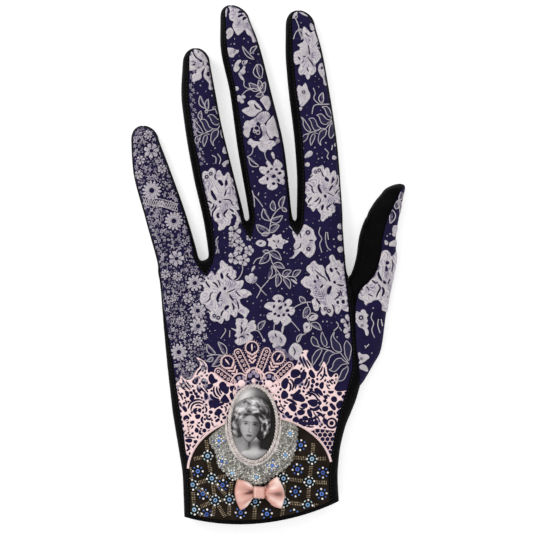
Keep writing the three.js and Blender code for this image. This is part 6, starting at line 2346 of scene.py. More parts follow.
rosettes = DEEP_ROSETTES + LIGHT_ROSETTES
white_dots, blue_dots, aqua_dashes, tan_dashes = [], [], [], []
for order, (x, y) in enumerate(rosettes):
    for k in range(8):
        turn = math.radians(45 * k + 8 * math.sin(order * 2.1))
        if k % 2 == 0:
            white_dots.append(polar(x, y, ROSETTE_REACH, turn))
        elif order < len(DEEP_ROSETTES):
            blue_dots.append(polar(x, y, ROSETTE_REACH, turn))
        else:
            aqua_dashes.append((*polar(x, y, DASH_REACH, turn), -math.sin(turn), math.cos(turn)))
lights = LIGHT_ROSETTES + OUTSIDE_LIGHTS
for order, (x0, y0) in enumerate(lights):
    for x1, y1 in lights[order + 1:]:
        reach, ux, uy = way(x0, y0, x1, y1)
        if reach > LINK_REACH:
            continue
        for far in np.arange(LINK_START, reach - LINK_END, LINK_STEP):
            for side in (-LINK_SIDE, LINK_SIDE):
                x, y = x0 + ux * far - uy * side, y0 + uy * far + ux * side
                tan_dashes.append((x, y, -uy, ux))


def glass(name, deep_colour, pale_colour, roughness=0.22):
    """Glass or pearl: the colour varies from bead to bead and a little within each."""
    finish = Finish(name, roughness=roughness, specular=0.5)
    clouds = finish.noise(900, detail=2)
    share = (finish.own("chance") * 0.8 + clouds * 0.3).between(0.1, 1.0)
    finish.colour(finish.mix(share, deep_colour, pale_colour))
    finish.rough(clouds * 0.2 + roughness - 0.05)
    finish.relief(clouds, 0.00005, 0.5)
    return finish


white_glass = glass("white_glass", rgb(216, 218, 220), rgb(255, 255, 252))
deep_glass = glass("deep_blue_glass", rgb(48, 84, 172), rgb(82, 128, 212))
light_glass = glass("light_blue_glass", rgb(112, 158, 205), rgb(158, 198, 226))
aqua_glass = glass("aqua_glass", rgb(178, 212, 216), rgb(214, 234, 236))
pupil_glass = glass("dark_blue_glass", rgb(14, 18, 34), rgb(26, 34, 66))
tan_thread = glass("tan_thread", rgb(118, 102, 80), rgb(186, 168, 138), 0.7)
for name, points, finish, shape in (
    ("white_dots", white_dots, white_glass, {"radius": 0.54, "height": 0.75}),
    ("blue_dots", blue_dots, deep_glass, {"radius": 0.44, "height": 0.7}),
    ("aqua_dashes", aqua_dashes, aqua_glass, {"radius": 0.3, "length": 2.1, "height": 0.9}),
    ("tan_dashes", tan_dashes, tan_thread,
     {"radius": 0.19, "length": 2.6, "height": 0.9, "lift": 0.03}),
    ("deep_rings", DEEP_ROSETTES, deep_glass, {"tree": RING, "radius": 1.12}),
    ("light_rings", LIGHT_ROSETTES, light_glass, {"tree": RING, "radius": 1.12}),
    ("ring_middles", rosettes, pupil_glass, {"radius": 0.42}),
):
    strewn(name, on_cuff(points), finish, "cuff_cloth", **shape)

# %% [markdown]
# ## The beaded collar
#
# Below the cameo lies a collar of silver-grey beadwork with a scalloped edge. Its ground is a thin
# padded lace, laid on the cuff and cut off at the dome's line. Beads sit on it in rows that follow
# the oval, and seven clusters are small flowers of pearls round a blue or pale stone. The ground
# is a closed low cushion that follows the skin.

# %% The collar's ground
OVAL = {"x": -7.3, "y": -79.5, "half_width": 11.9, "half_length": 18.9}
COLLAR_EDGE = [
    (5, -77.6), (14, -80.4), (14.6, -87.5), (13.1, -95.1), (11, -99.9), (3.4, -105.8),
    (-1.4, -109.3), (-5.5, -110.4), (-10.2, -109.8), (-15.5, -108.1), (-20.8, -104.6),
    (-25, -100.6), (-26.4, -94), (-28.8, -90.1), (-28.8, -86.0), (-21.5, -79.9),
]
COLLAR_HEIGHT = 1.25
COLLAR_TUCK = 0.6  # mm that it reaches under the rope
SCALLOP, SCALLOP_DEPTH, SCALLOP_START = 2.6, 0.7, -0.45
PADDING = [  # share of the way outwards, and share of the height or, below 0, millimetres
    (0.0, -0.3), (0.02, 0.8), (0.35, 1.0), (0.7, 1.0), (0.93, 0.85), (1.0, 0.35), (1.0, -0.3),
]


def turn_on(shape, x, y):
    """The angle at which a plan point lies on an ellipse."""
    across_share = (x - shape["x"]) / shape["half_width"]
    return math.atan2((y - shape["y"]) / shape["half_length"], across_share)


def place_on(shape, turn, extra=0.0):
    """The plan point of an ellipse at an angle, with both half axes longer by extra."""
    return (shape["x"] + (shape["half_width"] + extra) * math.cos(turn),
            shape["y"] + (shape["half_length"] + extra) * math.sin(turn))


edge = smooth_line(COLLAR_EDGE, 0.5)
waves = np.abs(np.sin(lengths_along(edge) * math.pi / SCALLOP)) * SCALLOP_DEPTH + SCALLOP_START
outwards = edge - np.array([OVAL["x"], OVAL["y"]])
outwards /= np.linalg.norm(outwards, axis=1)[:, None]
edge = edge + outwards * waves[:, None]
sections = []
for x, y in edge:
    inner_x, inner_y = place_on(OVAL, turn_on(OVAL, x, y), -COLLAR_TUCK)
    section = []
    for share, rise in PADDING:
        px, py = inner_x + (x - inner_x) * share, inner_y + (y - inner_y) * share
        lift = COLLAR_HEIGHT * max(rise, 0) + min(rise, 0)
        section.append((px, py, float(height_at(px, py)) + lift))
    sections.append(section)
silver = Finish("silver_beadwork_ground", 0.6, 0.4)
specks = silver.cells(1500)
weave = silver.noise(1100, detail=4)
paleness = (specks * 0.7 + weave * 0.5).between(0.25, 0.85)
silver.colour(silver.mix(paleness, rgb(52, 49, 43), rgb(168, 165, 156)))
silver.relief(specks * -1 + weave, 0.0003, 0.9)
points, faces = tube(sections)
ground = mesh_from("collar_ground", points, faces)
piece("collar_ground", ground, silver, "beadwork", "beaded_collar", crease=50)
print("collar ground:", len(faces), "faces")

# %% The collar's beads
CLUSTERS = [
    (-24.4, -88.1, "blue"), (-23.0, -98.3, "blue"), (-17.9, -104.2, "pale"), (-5.8, -106.2, "pale"),
    (2.2, -100.4, "blue"), (8.7, -95.3, "pale"), (11.0, -84.4, "pale"),
]
CLUSTER_ROOM = 2.05
COLLAR_ROWS = 19
BEAD_STEP = 0.98  # along a row, and from row to row at the oval's sides
ROW_RISE = 0.72  # from row to row at the oval's ends
BEAD_WOBBLE = 0.12
COLLAR_TOP = -78
collar_line = grown(list(edge) + [(OVAL["x"], OVAL["y"])], -0.35)
pearls, pearl_sizes, blue_stones, pale_stones, petals_round = [], [], [], [], []
for x, y, kind in CLUSTERS:
    (blue_stones if kind == "blue" else pale_stones).append((x, y))
    for k in range(8):
        turn = 2 * math.pi * k / 8 + x
        petals_round.append(polar(x, y, 1.6 + 0.3 * math.sin(3 * k + y), turn))
        if kind == "blue" and k % 2:
            blue_stones.append(polar(x, y, 2.5, turn))
chance = random.Random(12)
for row in range(COLLAR_ROWS):
    wide = OVAL["half_width"] + 0.9 + row * BEAD_STEP
    long = OVAL["half_length"] + 0.7 + row * ROW_RISE
    around = math.pi * (3 * (wide + long) - math.sqrt((3 * wide + long) * (wide + 3 * long)))
    count = int(around / BEAD_STEP)
    for k in range(count):
        turn = 2 * math.pi * (k + 0.5 * (row % 2)) / count
        x = OVAL["x"] + wide * math.cos(turn) + chance.gauss(0, BEAD_WOBBLE)
        y = OVAL["y"] + long * math.sin(turn) + chance.gauss(0, BEAD_WOBBLE)
        clear = all(math.hypot(x - u, y - v) > CLUSTER_ROOM for u, v, _ in CLUSTERS)
        if clear and y < COLLAR_TOP and inside((x, y), collar_line)[0]:
            pearls.append((x, y))
            pearl_sizes.append(chance.choice((0.5, 0.75, 0.95, 1.2)))
silver_glass = glass("silver_beads", rgb(84, 80, 72), rgb(222, 221, 214), 0.3)
on_top = COLLAR_HEIGHT + 0.05
petals_round = [spot for spot in petals_round if inside(spot, collar_line)[0]]
blue_stones = [spot for spot in blue_stones if inside(spot, collar_line)[0]]
cluster_middles = [(x, y) for x, y, _ in CLUSTERS]
blue_sizes = [1.35 if spot in cluster_middles else 0.8 for spot in blue_stones]
for name, points, finish, shape in (
    ("collar_beads", pearls, silver_glass,
     {"height": 0.9, "spread": 0.12, "sizes": pearl_sizes, "seed": 3}),
    ("collar_pearls", petals_round, white_glass, {"radius": 0.45}),
    ("collar_blue_stones", blue_stones, deep_glass, {"radius": 0.62, "sizes": blue_sizes}),
    ("collar_pale_stones", pale_stones, light_glass, {"radius": 0.9}),
):
    strewn(name, points, finish, "beadwork", lift=on_top, **shape)

# %% [markdown]
# ## The rope round the cameo
#
# A twisted rope frames the oval: two pearly strands wound round each other, like the edge of a
# real brooch. Each strand is a tube along a helix that runs round the oval, with a whole number of
# turns so that it closes on itself. Outside it, a smooth cream band lies round the lower part.

# %% Two strands and a band
ROPE_TURNS = 58  # half winds of each strand round the oval
PER_TURN = 12
STRAND = 0.5
ROPE_REACH = 0.42
ROPE_Z = 17.1
BAND_REACH, BAND_Z = 1.55, 16.5
BAND_HALF_WIDTH, BAND_HALF_HEIGHT = 0.85, 0.62
BAND_TAPER = 14  # sections over which each end grows to the full size


def oval_place(turn, extra=0.0):
    """A plan point on the oval moved outwards."""
    x, y = place_on(OVAL, turn)
    slant = math.cos(turn) / OVAL["half_width"], math.sin(turn) / OVAL["half_length"]
    out = Vector(slant).normalized()
    return x + out.x * extra, y + out.y * extra


def round_tube(centres, radius, sides=8):
    """A closed ring of even thickness along 3-D points in millimetres."""
    line = np.array(centres, float)
    along = np.roll(line, -1, axis=0) - np.roll(line, 1, axis=0)
    along /= np.linalg.norm(along, axis=1)[:, None]
    side = np.cross(along, (0, 0, 1.0))
    side /= np.linalg.norm(side, axis=1)[:, None]
    up = np.cross(side, along)
    points = []
    for k in range(sides):
        turn = 2 * math.pi * k / sides
        points.append(line + (side * math.cos(turn) + up * math.sin(turn)) * radius)
    faces = [(a, d, c, b) for a, b, c, d in tube_faces(len(line), sides, closed=True)]
    return np.stack(points, axis=1).reshape(-1, 3), faces


fine_turns = np.linspace(0, 2 * math.pi, 4001)
lengths = lengths_along([oval_place(turn) for turn in fine_turns])
spots = np.linspace(0, lengths[-1], ROPE_TURNS * PER_TURN, endpoint=False)
strands = []
for phase in (0, math.pi):
    centres = []
    for k, turn in enumerate(np.interp(spots, lengths, fine_turns)):
        wind = 2 * math.pi * k / PER_TURN / 2 + phase
        x, y = oval_place(turn, ROPE_REACH * math.cos(wind))
        centres.append((x, y, ROPE_Z + ROPE_REACH * math.sin(wind)))
    strands.append(round_tube(centres, STRAND))
pearly = Finish("pearly_rope", 0.35, 0.5, Coat_Weight=0.2)
haze = pearly.noise(500, detail=3)
pearly.colour(pearly.mix(haze.between(0.3, 0.7), rgb(180, 169, 165), rgb(224, 214, 209)))
pearly.rough(haze * 0.25 + 0.25)
pearly.relief(haze, 0.0001, 0.6)
piece("rope", mesh_from("rope", *gather(strands)), pearly, "pearl", "rope_frame", crease=0)

band_turns = np.radians(np.linspace(168, 372, 120))
sections = []
for k, turn in enumerate(band_turns):
    taper = min(1.0, k / BAND_TAPER, (len(band_turns) - 1 - k) / BAND_TAPER)
    taper = 0.15 + 0.85 * taper
    section = []
    for degrees in range(0, 360, 36):
        u, v = polar(0, 0, 1, math.radians(degrees))
        x, y = oval_place(turn, BAND_REACH + BAND_HALF_WIDTH * taper * u)
        section.append((x, y, BAND_Z + BAND_HALF_HEIGHT * taper * v))
    sections.append(section[::-1])
piece("cream_band", mesh_from("cream_band", *tube(sections)), pearly, "pearl", crease=0)
rope_faces = sum(len(faces) for _, faces in strands)
print("rope:", rope_faces, "faces in two strands of", ROPE_TURNS // 2, "winds")

# %% [markdown]
# ## The cameo
#
# The oval holds a low relief of a bust in shades of grey, like a carved shell or a print on
# porcelain. The face is this lesson's own: calm, seen from the front, and laid out by the drawing
# book's rules. Hairline, brows, the foot of the nose and the chin are three equal steps apart, the
# eyes are one eye's width apart, and the mouth lies a third of the way from nose to chin. The
# relief is a field of heights: small mounds and hollows on a large one make the face, waves and
# bent locks make the hair, and soft masks blend them with the neck and shoulders. The same fields
# give each point its shade of grey.
# Part of that grey is painted light: it changes with the relief's slope, the face, hair and body are
# painted darker on their right side and the hair lighter towards its top, and painted shade lies in the
# eye sockets, the nostrils, under the chin and along the neck.

# %% Fields for the relief
CAMEO = {"x": -7.3, "y": -79.5, "half_width": 11.75, "half_length": 18.75}
CAMEO_Z = 16.1
FACE = {"x": -8.9, "y": -81.2, "half_width": 5.5, "half_length": 7.5, "tilt": 7}
FACE_THIRD = 2 * FACE["half_length"] / 3
EYE_WIDTH = 2 * FACE["half_width"] / 5
GRAIN = 0.15

across = np.arange(-CAMEO["half_width"], CAMEO["half_width"] + GRAIN, GRAIN) + CAMEO["x"]
upwards = np.arange(-CAMEO["half_length"], CAMEO["half_length"] + GRAIN, GRAIN) + CAMEO["y"]
plan_x, plan_y = np.meshgrid(across, upwards)
tilt = math.radians(FACE["tilt"])
local_x = (plan_x - FACE["x"]) * math.cos(tilt) - (plan_y - FACE["y"]) * math.sin(tilt)
local_y = (plan_x - FACE["x"]) * math.sin(tilt) + (plan_y - FACE["y"]) * math.cos(tilt)


def mound(x, y, cx, cy, rx, ry, power=0.5):
    """A rounded mound, 1 at its middle and 0 from its edge outwards."""
    inside_share = np.maximum(0, 1 - ((x - cx) / rx) ** 2 - ((y - cy) / ry) ** 2)
    return inside_share**power


def bell(x, y, cx, cy, rx, ry):
    """A soft spot, 1 at its middle, that fades outwards."""
    return np.exp(-(((x - cx) / rx) ** 2) - ((y - cy) / ry) ** 2)


def streak(off, reach):
    """A soft line, 1 where off is 0."""
    return np.exp(-((off / reach) ** 2))


def above_brow(x):
    """How far each point lies above the brow's arch on its own side."""
    return local_y - (brow_y + 0.15 - 0.09 * (x - 2.0) ** 2)


def soft_step(values, low, high):
    """0 up to low and 1 from high on, with a smooth way between."""
    t = np.clip((values - low) / (high - low), 0, 1)
    return t * t * (3 - 2 * t)


brow_y = FACE["half_length"] - FACE_THIRD
nose_y = brow_y - FACE_THIRD
mouth_y = nose_y - FACE_THIRD / 3
chin_y = -FACE["half_length"]
eye_y = brow_y - 1.15

jaw = 1 + 0.42 * soft_step(-local_y, -0.5, 8.0)
face = mound(local_x * jaw, local_y, 0, 0, FACE["half_width"], FACE["half_length"], 0.42)
skin_mask = soft_step(face, 0.02, 0.28)
relief = 1.75 * face
for side in (-1, 1):
    x = local_x * side
    relief -= 0.42 * bell(x, local_y, EYE_WIDTH, eye_y, 1.55, 0.85)
    relief += 0.34 * mound(x, local_y, EYE_WIDTH, eye_y, EYE_WIDTH * 0.52, 0.55)
    lid = eye_y + 0.48 - 0.36 * (x - EYE_WIDTH) ** 2
    near_lid = bell(x, local_y, EYE_WIDTH, eye_y + 0.4, 1.2, 1.0)
    relief += 0.16 * streak(local_y - lid, 0.14) * near_lid
    near_brow = bell(x, local_y, 2.3, brow_y, 1.9, 1.2)
    relief += 0.22 * streak(above_brow(x), 0.34) * near_brow
    relief += 0.26 * bell(x, local_y, 3.1, -0.9, 1.7, 1.9)
    relief += 0.2 * bell(x, local_y, 0.72, nose_y + 0.35, 0.42, 0.4)
bridge = 0.42 + 0.12 * soft_step(-local_y, -brow_y, -nose_y)
along_nose = soft_step(local_y, nose_y - 0.1, nose_y + 0.35)
along_nose = along_nose * (1 - soft_step(local_y, brow_y - 0.6, brow_y + 1.4))
nose_height = 0.35 + 0.5 * soft_step(-local_y, -brow_y, -nose_y - 0.4)
relief += nose_height * streak(local_x, bridge) * along_nose
lips_open = streak(local_y - mouth_y, 0.13) * bell(local_x, local_y, 0, mouth_y, 1.35, 1)
upper_lip = 0.3 * mound(local_x, local_y, 0, mouth_y + 0.32, 1.55, 0.5)
lower_lip = 0.3 * mound(local_x, local_y, 0, mouth_y - 0.42, 1.25, 0.55)
relief += upper_lip + lower_lip
relief -= 0.2 * lips_open
relief -= 0.14 * bell(local_x, local_y, 0, mouth_y - 1.25, 1.2, 0.35)
relief += 0.3 * bell(local_x, local_y, 0, chin_y + 1.25, 1.35, 0.9)

neck = mound(plan_x, plan_y, -6.6, -88.6, 3.3, 9.5, 0.5) * 1.05
shoulders = mound(plan_x, plan_y, -5.6, -101.2, 12.5, 9.6, 0.45) * 1.25
body_mask = soft_step(np.maximum(neck, shoulders), 0.05, 0.4) * (1 - skin_mask)
for side in (-1, 1):
    collarbone = 0.14 * streak(plan_y + 93.4 + 0.05 * (plan_x + 6.2) ** 2, 0.45)
    shoulders += collarbone * bell((plan_x + 6.2) * side, plan_y, 3.4, -94, 3.4, 3)

# %% [markdown]
# The hair is gathered up in loose waves. Fine ridges run round the face, and on them lie bent
# locks: long low swells and hollows whose places come from a fixed seed, over the crown and down
# both sides.

# %% Hair, ground and shades
crown = mound(local_x, local_y, 0.6, 6.4, 9.8, 8.8, 0.45) * 2.05
left_side = mound(local_x, local_y, -5.6, 1.2, 4.2, 7.2, 0.4)
right_side = mound(local_x, local_y, 6.0, 1.6, 4.2, 7.6, 0.4)
hair = np.maximum(crown, np.maximum(left_side, right_side) * 1.75)
hairline = soft_step(local_y + 0.16 * local_x**2, 5.4, 6.6)
hair_mask = soft_step(hair, 0.2, 0.7) * np.maximum(1 - skin_mask, hairline)
chance = random.Random(21)
around_face = np.hypot(local_x, (local_y - 1.0) * 0.8)
drift = np.sin(local_x * 0.8 + 1.7) + np.sin(local_y * 0.7 - local_x * 0.35)
waves = np.sin((around_face + 0.55 * drift) * 7.5)
strand_field = waves * 0.07
LOCKS = 90
for k in range(LOCKS):
    turn = math.radians(chance.uniform(-35, 215))
    reach = chance.uniform(5.8, 12.4)
    cx, cy = reach * math.cos(turn) * 0.84, 1.2 + reach * math.sin(turn)
    lean = turn + math.pi / 2 + chance.uniform(-0.9, 0.9)
    along_lock = (local_x - cx) * math.cos(lean) + (local_y - cy) * math.sin(lean)
    beside_lock = (local_y - cy) * math.cos(lean) - (local_x - cx) * math.sin(lean)
    beside_lock = beside_lock - chance.choice((-0.22, 0.22)) * along_lock**2
    long, wide = chance.uniform(1.2, 2.4), chance.uniform(0.45, 0.95)
    lock = np.exp(-((along_lock / long) ** 2) - (beside_lock / wide) ** 2)
    strand_field += chance.choice((-0.17, 0.2, 0.3)) * lock
hair_height = hair + strand_field * hair_mask
covered = hair_mask * soft_step(hair - relief * 0.55, -0.12, 0.12)
height = np.maximum(relief * skin_mask, np.maximum(neck, shoulders) * body_mask)
height = height * (1 - covered) + hair_height * covered
rim_share = ((plan_x - CAMEO["x"]) / CAMEO["half_width"]) ** 2
rim_share += ((plan_y - CAMEO["y"]) / CAMEO["half_length"]) ** 2
height *= 1 - soft_step(rim_share, 0.84, 1.0)

ground_shade = 0.66 - 0.6 * soft_step(plan_x, -13, -3) + 0.34 * soft_step(plan_y, -72, -64)
ground_shade -= 0.12 * bell(plan_x, plan_y, -14, -84, 5, 7)
# The face's grey holds painted light: lighter or darker by the relief's slope across it, and darker
# towards its right side and towards the chin.
face_tone_and_painted_light = 0.7 - 0.08 * np.gradient(height, GRAIN, axis=1)
face_tone_and_painted_light -= 0.34 * soft_step(local_x, -1.0, 5.0)
face_tone_and_painted_light -= 0.1 * soft_step(-local_y, 3, 8)
for side in (-1, 1):
    x = local_x * side
    near_brow = bell(x, local_y, 2.3, brow_y, 1.5, 1.2)
    face_tone_and_painted_light -= 0.3 * streak(above_brow(x), 0.24) * near_brow
    lid = eye_y + 0.42 - 0.34 * (x - EYE_WIDTH) ** 2
    near_lid = bell(x, local_y, EYE_WIDTH, eye_y, 1.0, 1)
    face_tone_and_painted_light -= 0.45 * streak(local_y - lid, 0.17) * near_lid
    face_tone_and_painted_light += 0.12 * mound(x, local_y, EYE_WIDTH, eye_y - 0.05, 1.0, 0.42, 0.3)
    face_tone_and_painted_light -= 0.5 * mound(x, local_y, EYE_WIDTH, eye_y + 0.02, 0.46, 0.44, 0.3)
    # Painted shade in the eye socket, and a painted shadow in the nostril below.
    face_tone_and_painted_light -= 0.12 * bell(x, local_y, EYE_WIDTH, eye_y + 0.2, 1.5, 0.9)
    face_tone_and_painted_light -= 0.25 * bell(x, local_y, 0.5, nose_y, 0.25, 0.18)
lips = mound(local_x, local_y, 0, mouth_y - 0.05, 1.5, 0.75, 0.3)
face_tone_and_painted_light -= 0.22 * lips + 0.3 * lips_open
# The hair's grey follows its locks, lighter on raised ones and darker in hollows, as painted light,
# with a painted highlight towards the top and painted shade on its right side.
hair_tone_and_painted_light = 0.25 + 0.95 * strand_field + 0.26 * soft_step(local_y, 4, 11)
hair_tone_and_painted_light -= 0.2 * soft_step(local_x, 1, 7)
# The body is darker towards the bottom; a painted shadow lies under the chin, and painted shade on its
# right side and along the neck's edges.
body_tone_and_painted_shade = 0.8 - 0.3 * soft_step(-plan_y, 93, 98.5)
body_tone_and_painted_shade -= 0.34 * bell(plan_x, plan_y, -6.2, -89.4, 6.5, 2.6)
body_tone_and_painted_shade -= 0.25 * soft_step(plan_x, -7, 1)
body_tone_and_painted_shade -= 0.3 * soft_step(np.abs(plan_x + 6.6), 1.0, 3.4) * soft_step(plan_y, -94.0, -91.0)
shade = ground_shade * (1 - body_mask) + body_tone_and_painted_shade * body_mask
shade = shade * (1 - skin_mask) + face_tone_and_painted_light * skin_mask
shade = np.clip(shade * (1 - covered) + hair_tone_and_painted_light * covered, 0.04, 0.95)
print("relief up to", round(float(height.max()), 2), "mm, from", LOCKS, "locks and one face")

# %% The cameo's body
# Rings from the rim to the middle would pinch at the centre, so a square grid is cropped to the
# oval and its cut edge is drawn onto the oval before the sides and back are added.
CAMEO_RIM = 0.05
CAMEO_DEPTH = 1.1
EDGE_SHADE = 0.3
kept_spots = rim_share <= 1.0
square = kept_spots[:-1, :-1] & kept_spots[1:, :-1] & kept_spots[:-1, 1:] & kept_spots[1:, 1:]
number = -np.ones(plan_x.shape, int)
used = np.zeros(plan_x.shape, bool)
for dy in (0, 1):
    for dx in (0, 1):
        used[dy:dy + square.shape[0], dx:dx + square.shape[1]] |= square
number[used] = np.arange(used.sum())
top_points = np.column_stack([plan_x[used], plan_y[used], CAMEO_Z + height[used]])
faces = []
for row, k in zip(*np.nonzero(square)):
    ring = number[row, k], number[row, k + 1], number[row + 1, k + 1], number[row + 1, k]
    faces.append(tuple(int(corner) for corner in ring))
one_way = {pair: None for face in faces for pair in zip(face, face[1:] + face[:1])}
open_edges = {a: b for a, b in one_way if (b, a) not in one_way}
loop = [next(iter(open_edges))]
while open_edges[loop[-1]] != loop[0]:
    loop.append(open_edges[loop[-1]])
start, count = len(top_points), len(loop)
skirt = []
for k in loop:
    turn = turn_on(CAMEO, *top_points[k][:2])
    skirt.append((*place_on(CAMEO, turn, CAMEO_RIM), CAMEO_Z))
skirt += [(x, y, CAMEO_Z - CAMEO_DEPTH) for x, y, _ in skirt]
for k in range(count):
    beside = (k + 1) % count
    faces.append((loop[beside], loop[k], start + k, start + beside))
    faces.append((start + beside, start + k, start + count + k, start + count + beside))
middle = start + 2 * count
faces += [(start + count + k, middle, start + count + (k + 1) % count) for k in range(count)]
points = list(map(tuple, top_points)) + skirt + [(CAMEO["x"], CAMEO["y"], CAMEO_Z - CAMEO_DEPTH)]
cameo_mesh = mesh_from("cameo", points, faces)
store(cameo_mesh, "shade", np.concatenate([shade[used], np.full(2 * count + 1, EDGE_SHADE)]))
shell_grey = Finish("grey_cameo", 0.5, 0.16, Coat_Weight=0.03)
# The stored grey carries the features' own tones and the painted light and shade of the relief.
grey = shell_grey.own("shade").power(1.75)
mist = shell_grey.noise(900, detail=4)
tone_here = (grey + (mist - 0.5) * 0.12).between(-0.02, 1.0)
shell_grey.colour(shell_grey.mix(tone_here, rgb(24, 22, 21), rgb(232, 228, 229)))
shell_grey.rough(0.6 - mist * 0.2)
shell_grey.relief(mist, 0.00005, 0.5)
piece("cameo_relief", cameo_mesh, shell_grey, "cameo", "cameo", crease=60)
print("cameo:", len(faces), "faces")

# %% [markdown]
# ## The satin bow
#
# The bow is two loops of salmon satin ribbon and a knot wrapped over their gathered ends. Each
# loop is a puffed, hollow-looking cushion: wide and open at its far edge, and drawn into pleats
# where the knot grips it. The grid runs from the knot outwards, and the pleats are waves across
# it that are deepest at the knot and fade outwards.
# The satin's colour also carries painted highlights, and painted shade in the creases near the knot.

# %% Loops and knot
BOW_Z = 17.0
LOOP_ACROSS, LOOP_ALONG = 36, 30
LOOP_HEIGHT = 3.6
PLEATS = 2
KNOT_ACROSS, KNOT_ALONG = 40, 25


def resampled(line):
    """As many points of a line as a loop has sections."""
    shares, own = np.linspace(0, 1, LOOP_ALONG), np.linspace(0, 1, len(line))
    return np.stack([np.interp(shares, own, line[:, k]) for k in (0, 1)], axis=1)


def bow_loop(upper_edge, lower_edge, phase, bulge_mm, painted_light_spots):
    """A loop between its upper and lower edge lines, both from the knot outwards, and its painted
    light.

    Each row of painted light spots is a soft spot: share of the way out, share of the way down,
    reach in both, and how much lighter as painted highlight, or below 0 darker as painted shade."""
    tops, bottoms = (resampled(smooth_line(line, 0.3)) for line in (upper_edge, lower_edge))
    rightwards = math.copysign(1, tops[-1][0] - tops[0][0])
    sections, painted_light = [], []
    for k, share in enumerate(np.linspace(0, 1, LOOP_ALONG)):
        section, row = [], []
        puff = LOOP_HEIGHT * (0.62 + 0.38 * math.sin(math.pi * min(1, share * 0.75 + 0.1)))
        end = math.sqrt(max(0.0, 1 - max(0, (share - 0.86) / 0.14) ** 2))
        for j in range(2 * LOOP_ACROSS):
            turn = 2 * math.pi * j / (2 * LOOP_ACROSS)
            t = 0.5 - 0.5 * math.cos(turn)
            x, y = tops[k] * (1 - t) + bottoms[k] * t
            swell = abs(math.sin(turn)) ** 0.62 * (0.25 + 0.75 * end)
            pleat = 0.5 + 0.5 * math.cos(2 * math.pi * PLEATS * t + phase + 1.1 * share)
            fold = 1 - 0.55 * (1 - 0.75 * share) * pleat**2
            crease_off = (t - 0.5 - 0.1 * math.sin(phase)) / 0.1
            fold -= 0.16 * math.exp(-(crease_off**2)) * (1 - share) ** 0.6
            z = BOW_Z + (puff * swell * fold if turn < math.pi else -0.25 * swell)
            bulge = bulge_mm * math.sin(math.pi * t) * share**2
            # Painted highlights and painted shade: soft spots that lighten or darken the loop's colour.
            row.append(0.5 + sum(more * math.exp(-(((share - s) / ds) ** 2) - ((t - at) / dt) ** 2)
                                 for s, at, ds, dt, more in painted_light_spots))
            section.append((x + bulge * rightwards, y, z))
        sections.append(section)
        painted_light.append(row)
    if rightwards < 0:
        sections, painted_light = sections[::-1], painted_light[::-1]
    return (*tube(sections), [value for row in painted_light for value in row])


satin = Finish("salmon_satin", 0.34, 0.5, Sheen_Weight=0.2, Sheen_Roughness=0.3)
x, y, _ = satin.axes()
weft = ((x * 0.3 + y) * 16000 + satin.noise(300) * 6).math("SINE") * 0.5 + 0.5
cloudy = satin.noise(160, detail=3)
# The stored number is painted light: it mixes the satin from a painted-shade salmon through mid salmon
# to a painted highlight.
painted_light_here = satin.own("shade") + (cloudy - 0.5) * 0.12
painted_shade_to_middle = satin.mix(painted_light_here.between(0.0, 0.55), rgb(108, 66, 60), rgb(220, 164, 151))
satin.colour(satin.mix(painted_light_here.between(0.5, 1.0), painted_shade_to_middle, rgb(255, 228, 218)))
satin.rough(cloudy * 0.2 + 0.24)
satin.relief(weft * 0.5 + cloudy * 2, 0.00008, 0.5)
# The last list of each loop holds its painted highlights and painted shade.
left_loop = bow_loop(
    [(-7.2, -110.9), (-8.4, -109.7), (-10.0, -108.5), (-12.6, -107.6), (-15.4, -107.2)],
    [(-7.2, -116.4), (-8.4, -118.0), (-9.7, -119.9), (-11.3, -121.5), (-13.7, -122.7)],
    0.6, 2.0,
    [(0.0, 0.5, 0.62, 0.05, -0.6), (0.12, 0.5, 0.34, 0.16, -0.42), (0.25, 0.08, 0.4, 0.1, 0.5),
     (0.85, 0.45, 0.16, 0.22, 0.24), (0.4, 0.95, 0.4, 0.12, 0.42), (0.6, 0.2, 0.3, 0.12, -0.12),
     (0.7, 0.7, 0.3, 0.08, 0.16), (1.0, 0.1, 0.12, 0.4, -0.16), (0.5, 0.8, 0.3, 0.06, -0.14)])
right_loop = bow_loop(
    [(-1.8, -110.8), (-0.2, -109.5), (1.8, -107.5), (4.6, -105.8)],
    [(-1.8, -116.3), (0.1, -118.1), (2.5, -120.6), (6.7, -121.9)],
    2.2, 2.5,
    [(0.22, 0.06, 0.16, 0.2, -0.5), (0.1, 0.9, 0.12, 0.14, -0.36), (0.55, 0.28, 0.34, 0.1, 0.38),
     (0.8, 0.55, 0.24, 0.13, -0.34), (0.5, 0.52, 0.4, 0.07, -0.16), (0.5, 0.72, 0.34, 0.09, 0.36),
     (1.0, 0.4, 0.05, 0.5, 0.5), (0.9, 0.1, 0.24, 0.14, 0.44), (0.9, 0.86, 0.22, 0.12, 0.4),
     (0.45, 0.93, 0.2, 0.08, -0.14)])
for side, (points, faces, painted_light) in (("left", left_loop), ("right", right_loop)):
    loop_mesh = mesh_from("loop", points, faces)
    store(loop_mesh, "shade", painted_light)
    piece("bow_loop_" + side, loop_mesh, satin, "satin", "bow_" + side, crease=60)
sections = []
for k in range(KNOT_ALONG):
    share = k / (KNOT_ALONG - 1)
    round_off = math.sqrt(max(0.0, 1 - (abs(share - 0.5) * 2) ** 6))
    half, narrowed = 3.05 - 0.1 * math.sin(share * math.pi), 0.85 + 0.15 * round_off
    section = []
    for j in range(KNOT_ACROSS):
        turn = 2 * math.pi * j / KNOT_ACROSS
        u = math.copysign(abs(math.cos(turn)) ** 0.5, math.cos(turn))
        v = math.copysign(abs(math.sin(turn)) ** 0.6, math.sin(turn))
        rise = 4.5 * (0.55 + 0.45 * round_off) if v > 0 else 0.3
        crease_here = 0.12 * math.sin(share * 19) * max(v, 0)
        y = -113.75 - 0.35 * (share - 0.5) + u * half * narrowed
        section.append((-7.45 + 5.8 * share, y, BOW_Z + rise * v + crease_here))
    sections.append(section)
knot_mesh = mesh_from("knot", *tube(sections))
across_knot = corners_of(knot_mesh)[:, 0]
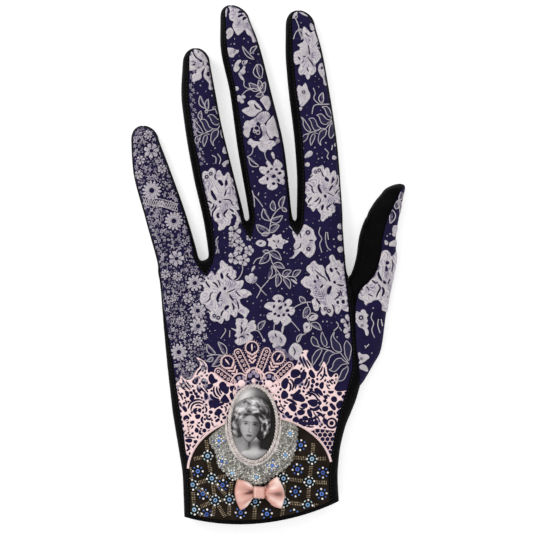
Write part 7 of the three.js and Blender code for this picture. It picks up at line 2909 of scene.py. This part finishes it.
# Painted shade along the creases at both ends of the knot, where it grips the loops, and a painted
# highlight beside the left crease.
knot_painted_light = 0.62 - 0.3 * streak(across_knot + 7.2, 0.5) + 0.2 * streak(across_knot + 6.4, 0.35)
knot_painted_light -= 0.22 * streak(across_knot + 1.4, 0.5)
store(knot_mesh, "shade", knot_painted_light)
piece("bow_knot_satin", knot_mesh, satin, "satin", "bow_knot", crease=60)
print("bow:", len(left_loop[1]) + len(right_loop[1]), "faces in the loops")

# %% [markdown]
# ## Stitches
#
# Black thread holds leather and cloth together. On the leather beside every seam of the back lies
# a row of small stitches, and the bead tree above makes them too: a stitch is a long low bead
# that points along the seam.

# %% Stitches beside the seams
STITCH_STEP = 1.9
STITCH_OFF = 0.72
HEM_ENDS = (-39, 33)  # x between which the hem's own row of stitches runs
LOWEST_STITCH = 6


def stitch_row(line, off):
    """Stitches beside a line of plan points: places and directions."""
    path = smooth_line(line, STITCH_STEP)
    along, left = directions(np.gradient(path, axis=0))
    return [(*place, *way_on) for place, way_on in zip(path - left * off, along)]


black_thread = Finish("black_thread", 0.55, 0.25)
ply = black_thread.noise(2500, detail=2)
black_thread.colour(black_thread.mix(ply, rgb(6, 6, 7), rgb(20, 20, 22)))
black_thread.relief(ply, 0.00008, 0.6)
stitches = stitch_row(back_outline[:-1], -STITCH_OFF) + stitch_row(thumb_seam_line, -STITCH_OFF)
hem_row = stitch_row([(x, hem_y(x, 1.1)) for x in across_hem], 0)
stitches += [stitch for stitch in hem_row if HEM_ENDS[0] < stitch[0] < HEM_ENDS[1]]
stitches = [(x, y, *way_on) for x, y, *way_on in stitches
            if height_at(x, y) > LOWEST_STITCH and y > hem_y(x, 0.6)]
strewn("stitches", stitches, black_thread, "leather", radius=0.2, length=3.0, lift=-0.14)

# %% [markdown]
# ## Sizes and the end
#
# The dressed glove stays in the CAD model's box, and the sizes of both boxes are printed to compare.

# %% Sizes and the finish
bpy.data.collections.remove(scratch)
boxes = {"cad": [list(cad_low), list(cad_high)], "visual": [list(corner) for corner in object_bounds()]}
for name, box in boxes.items():
    print(name, [round((high - low) / MM, 1) for low, high in zip(*box)])
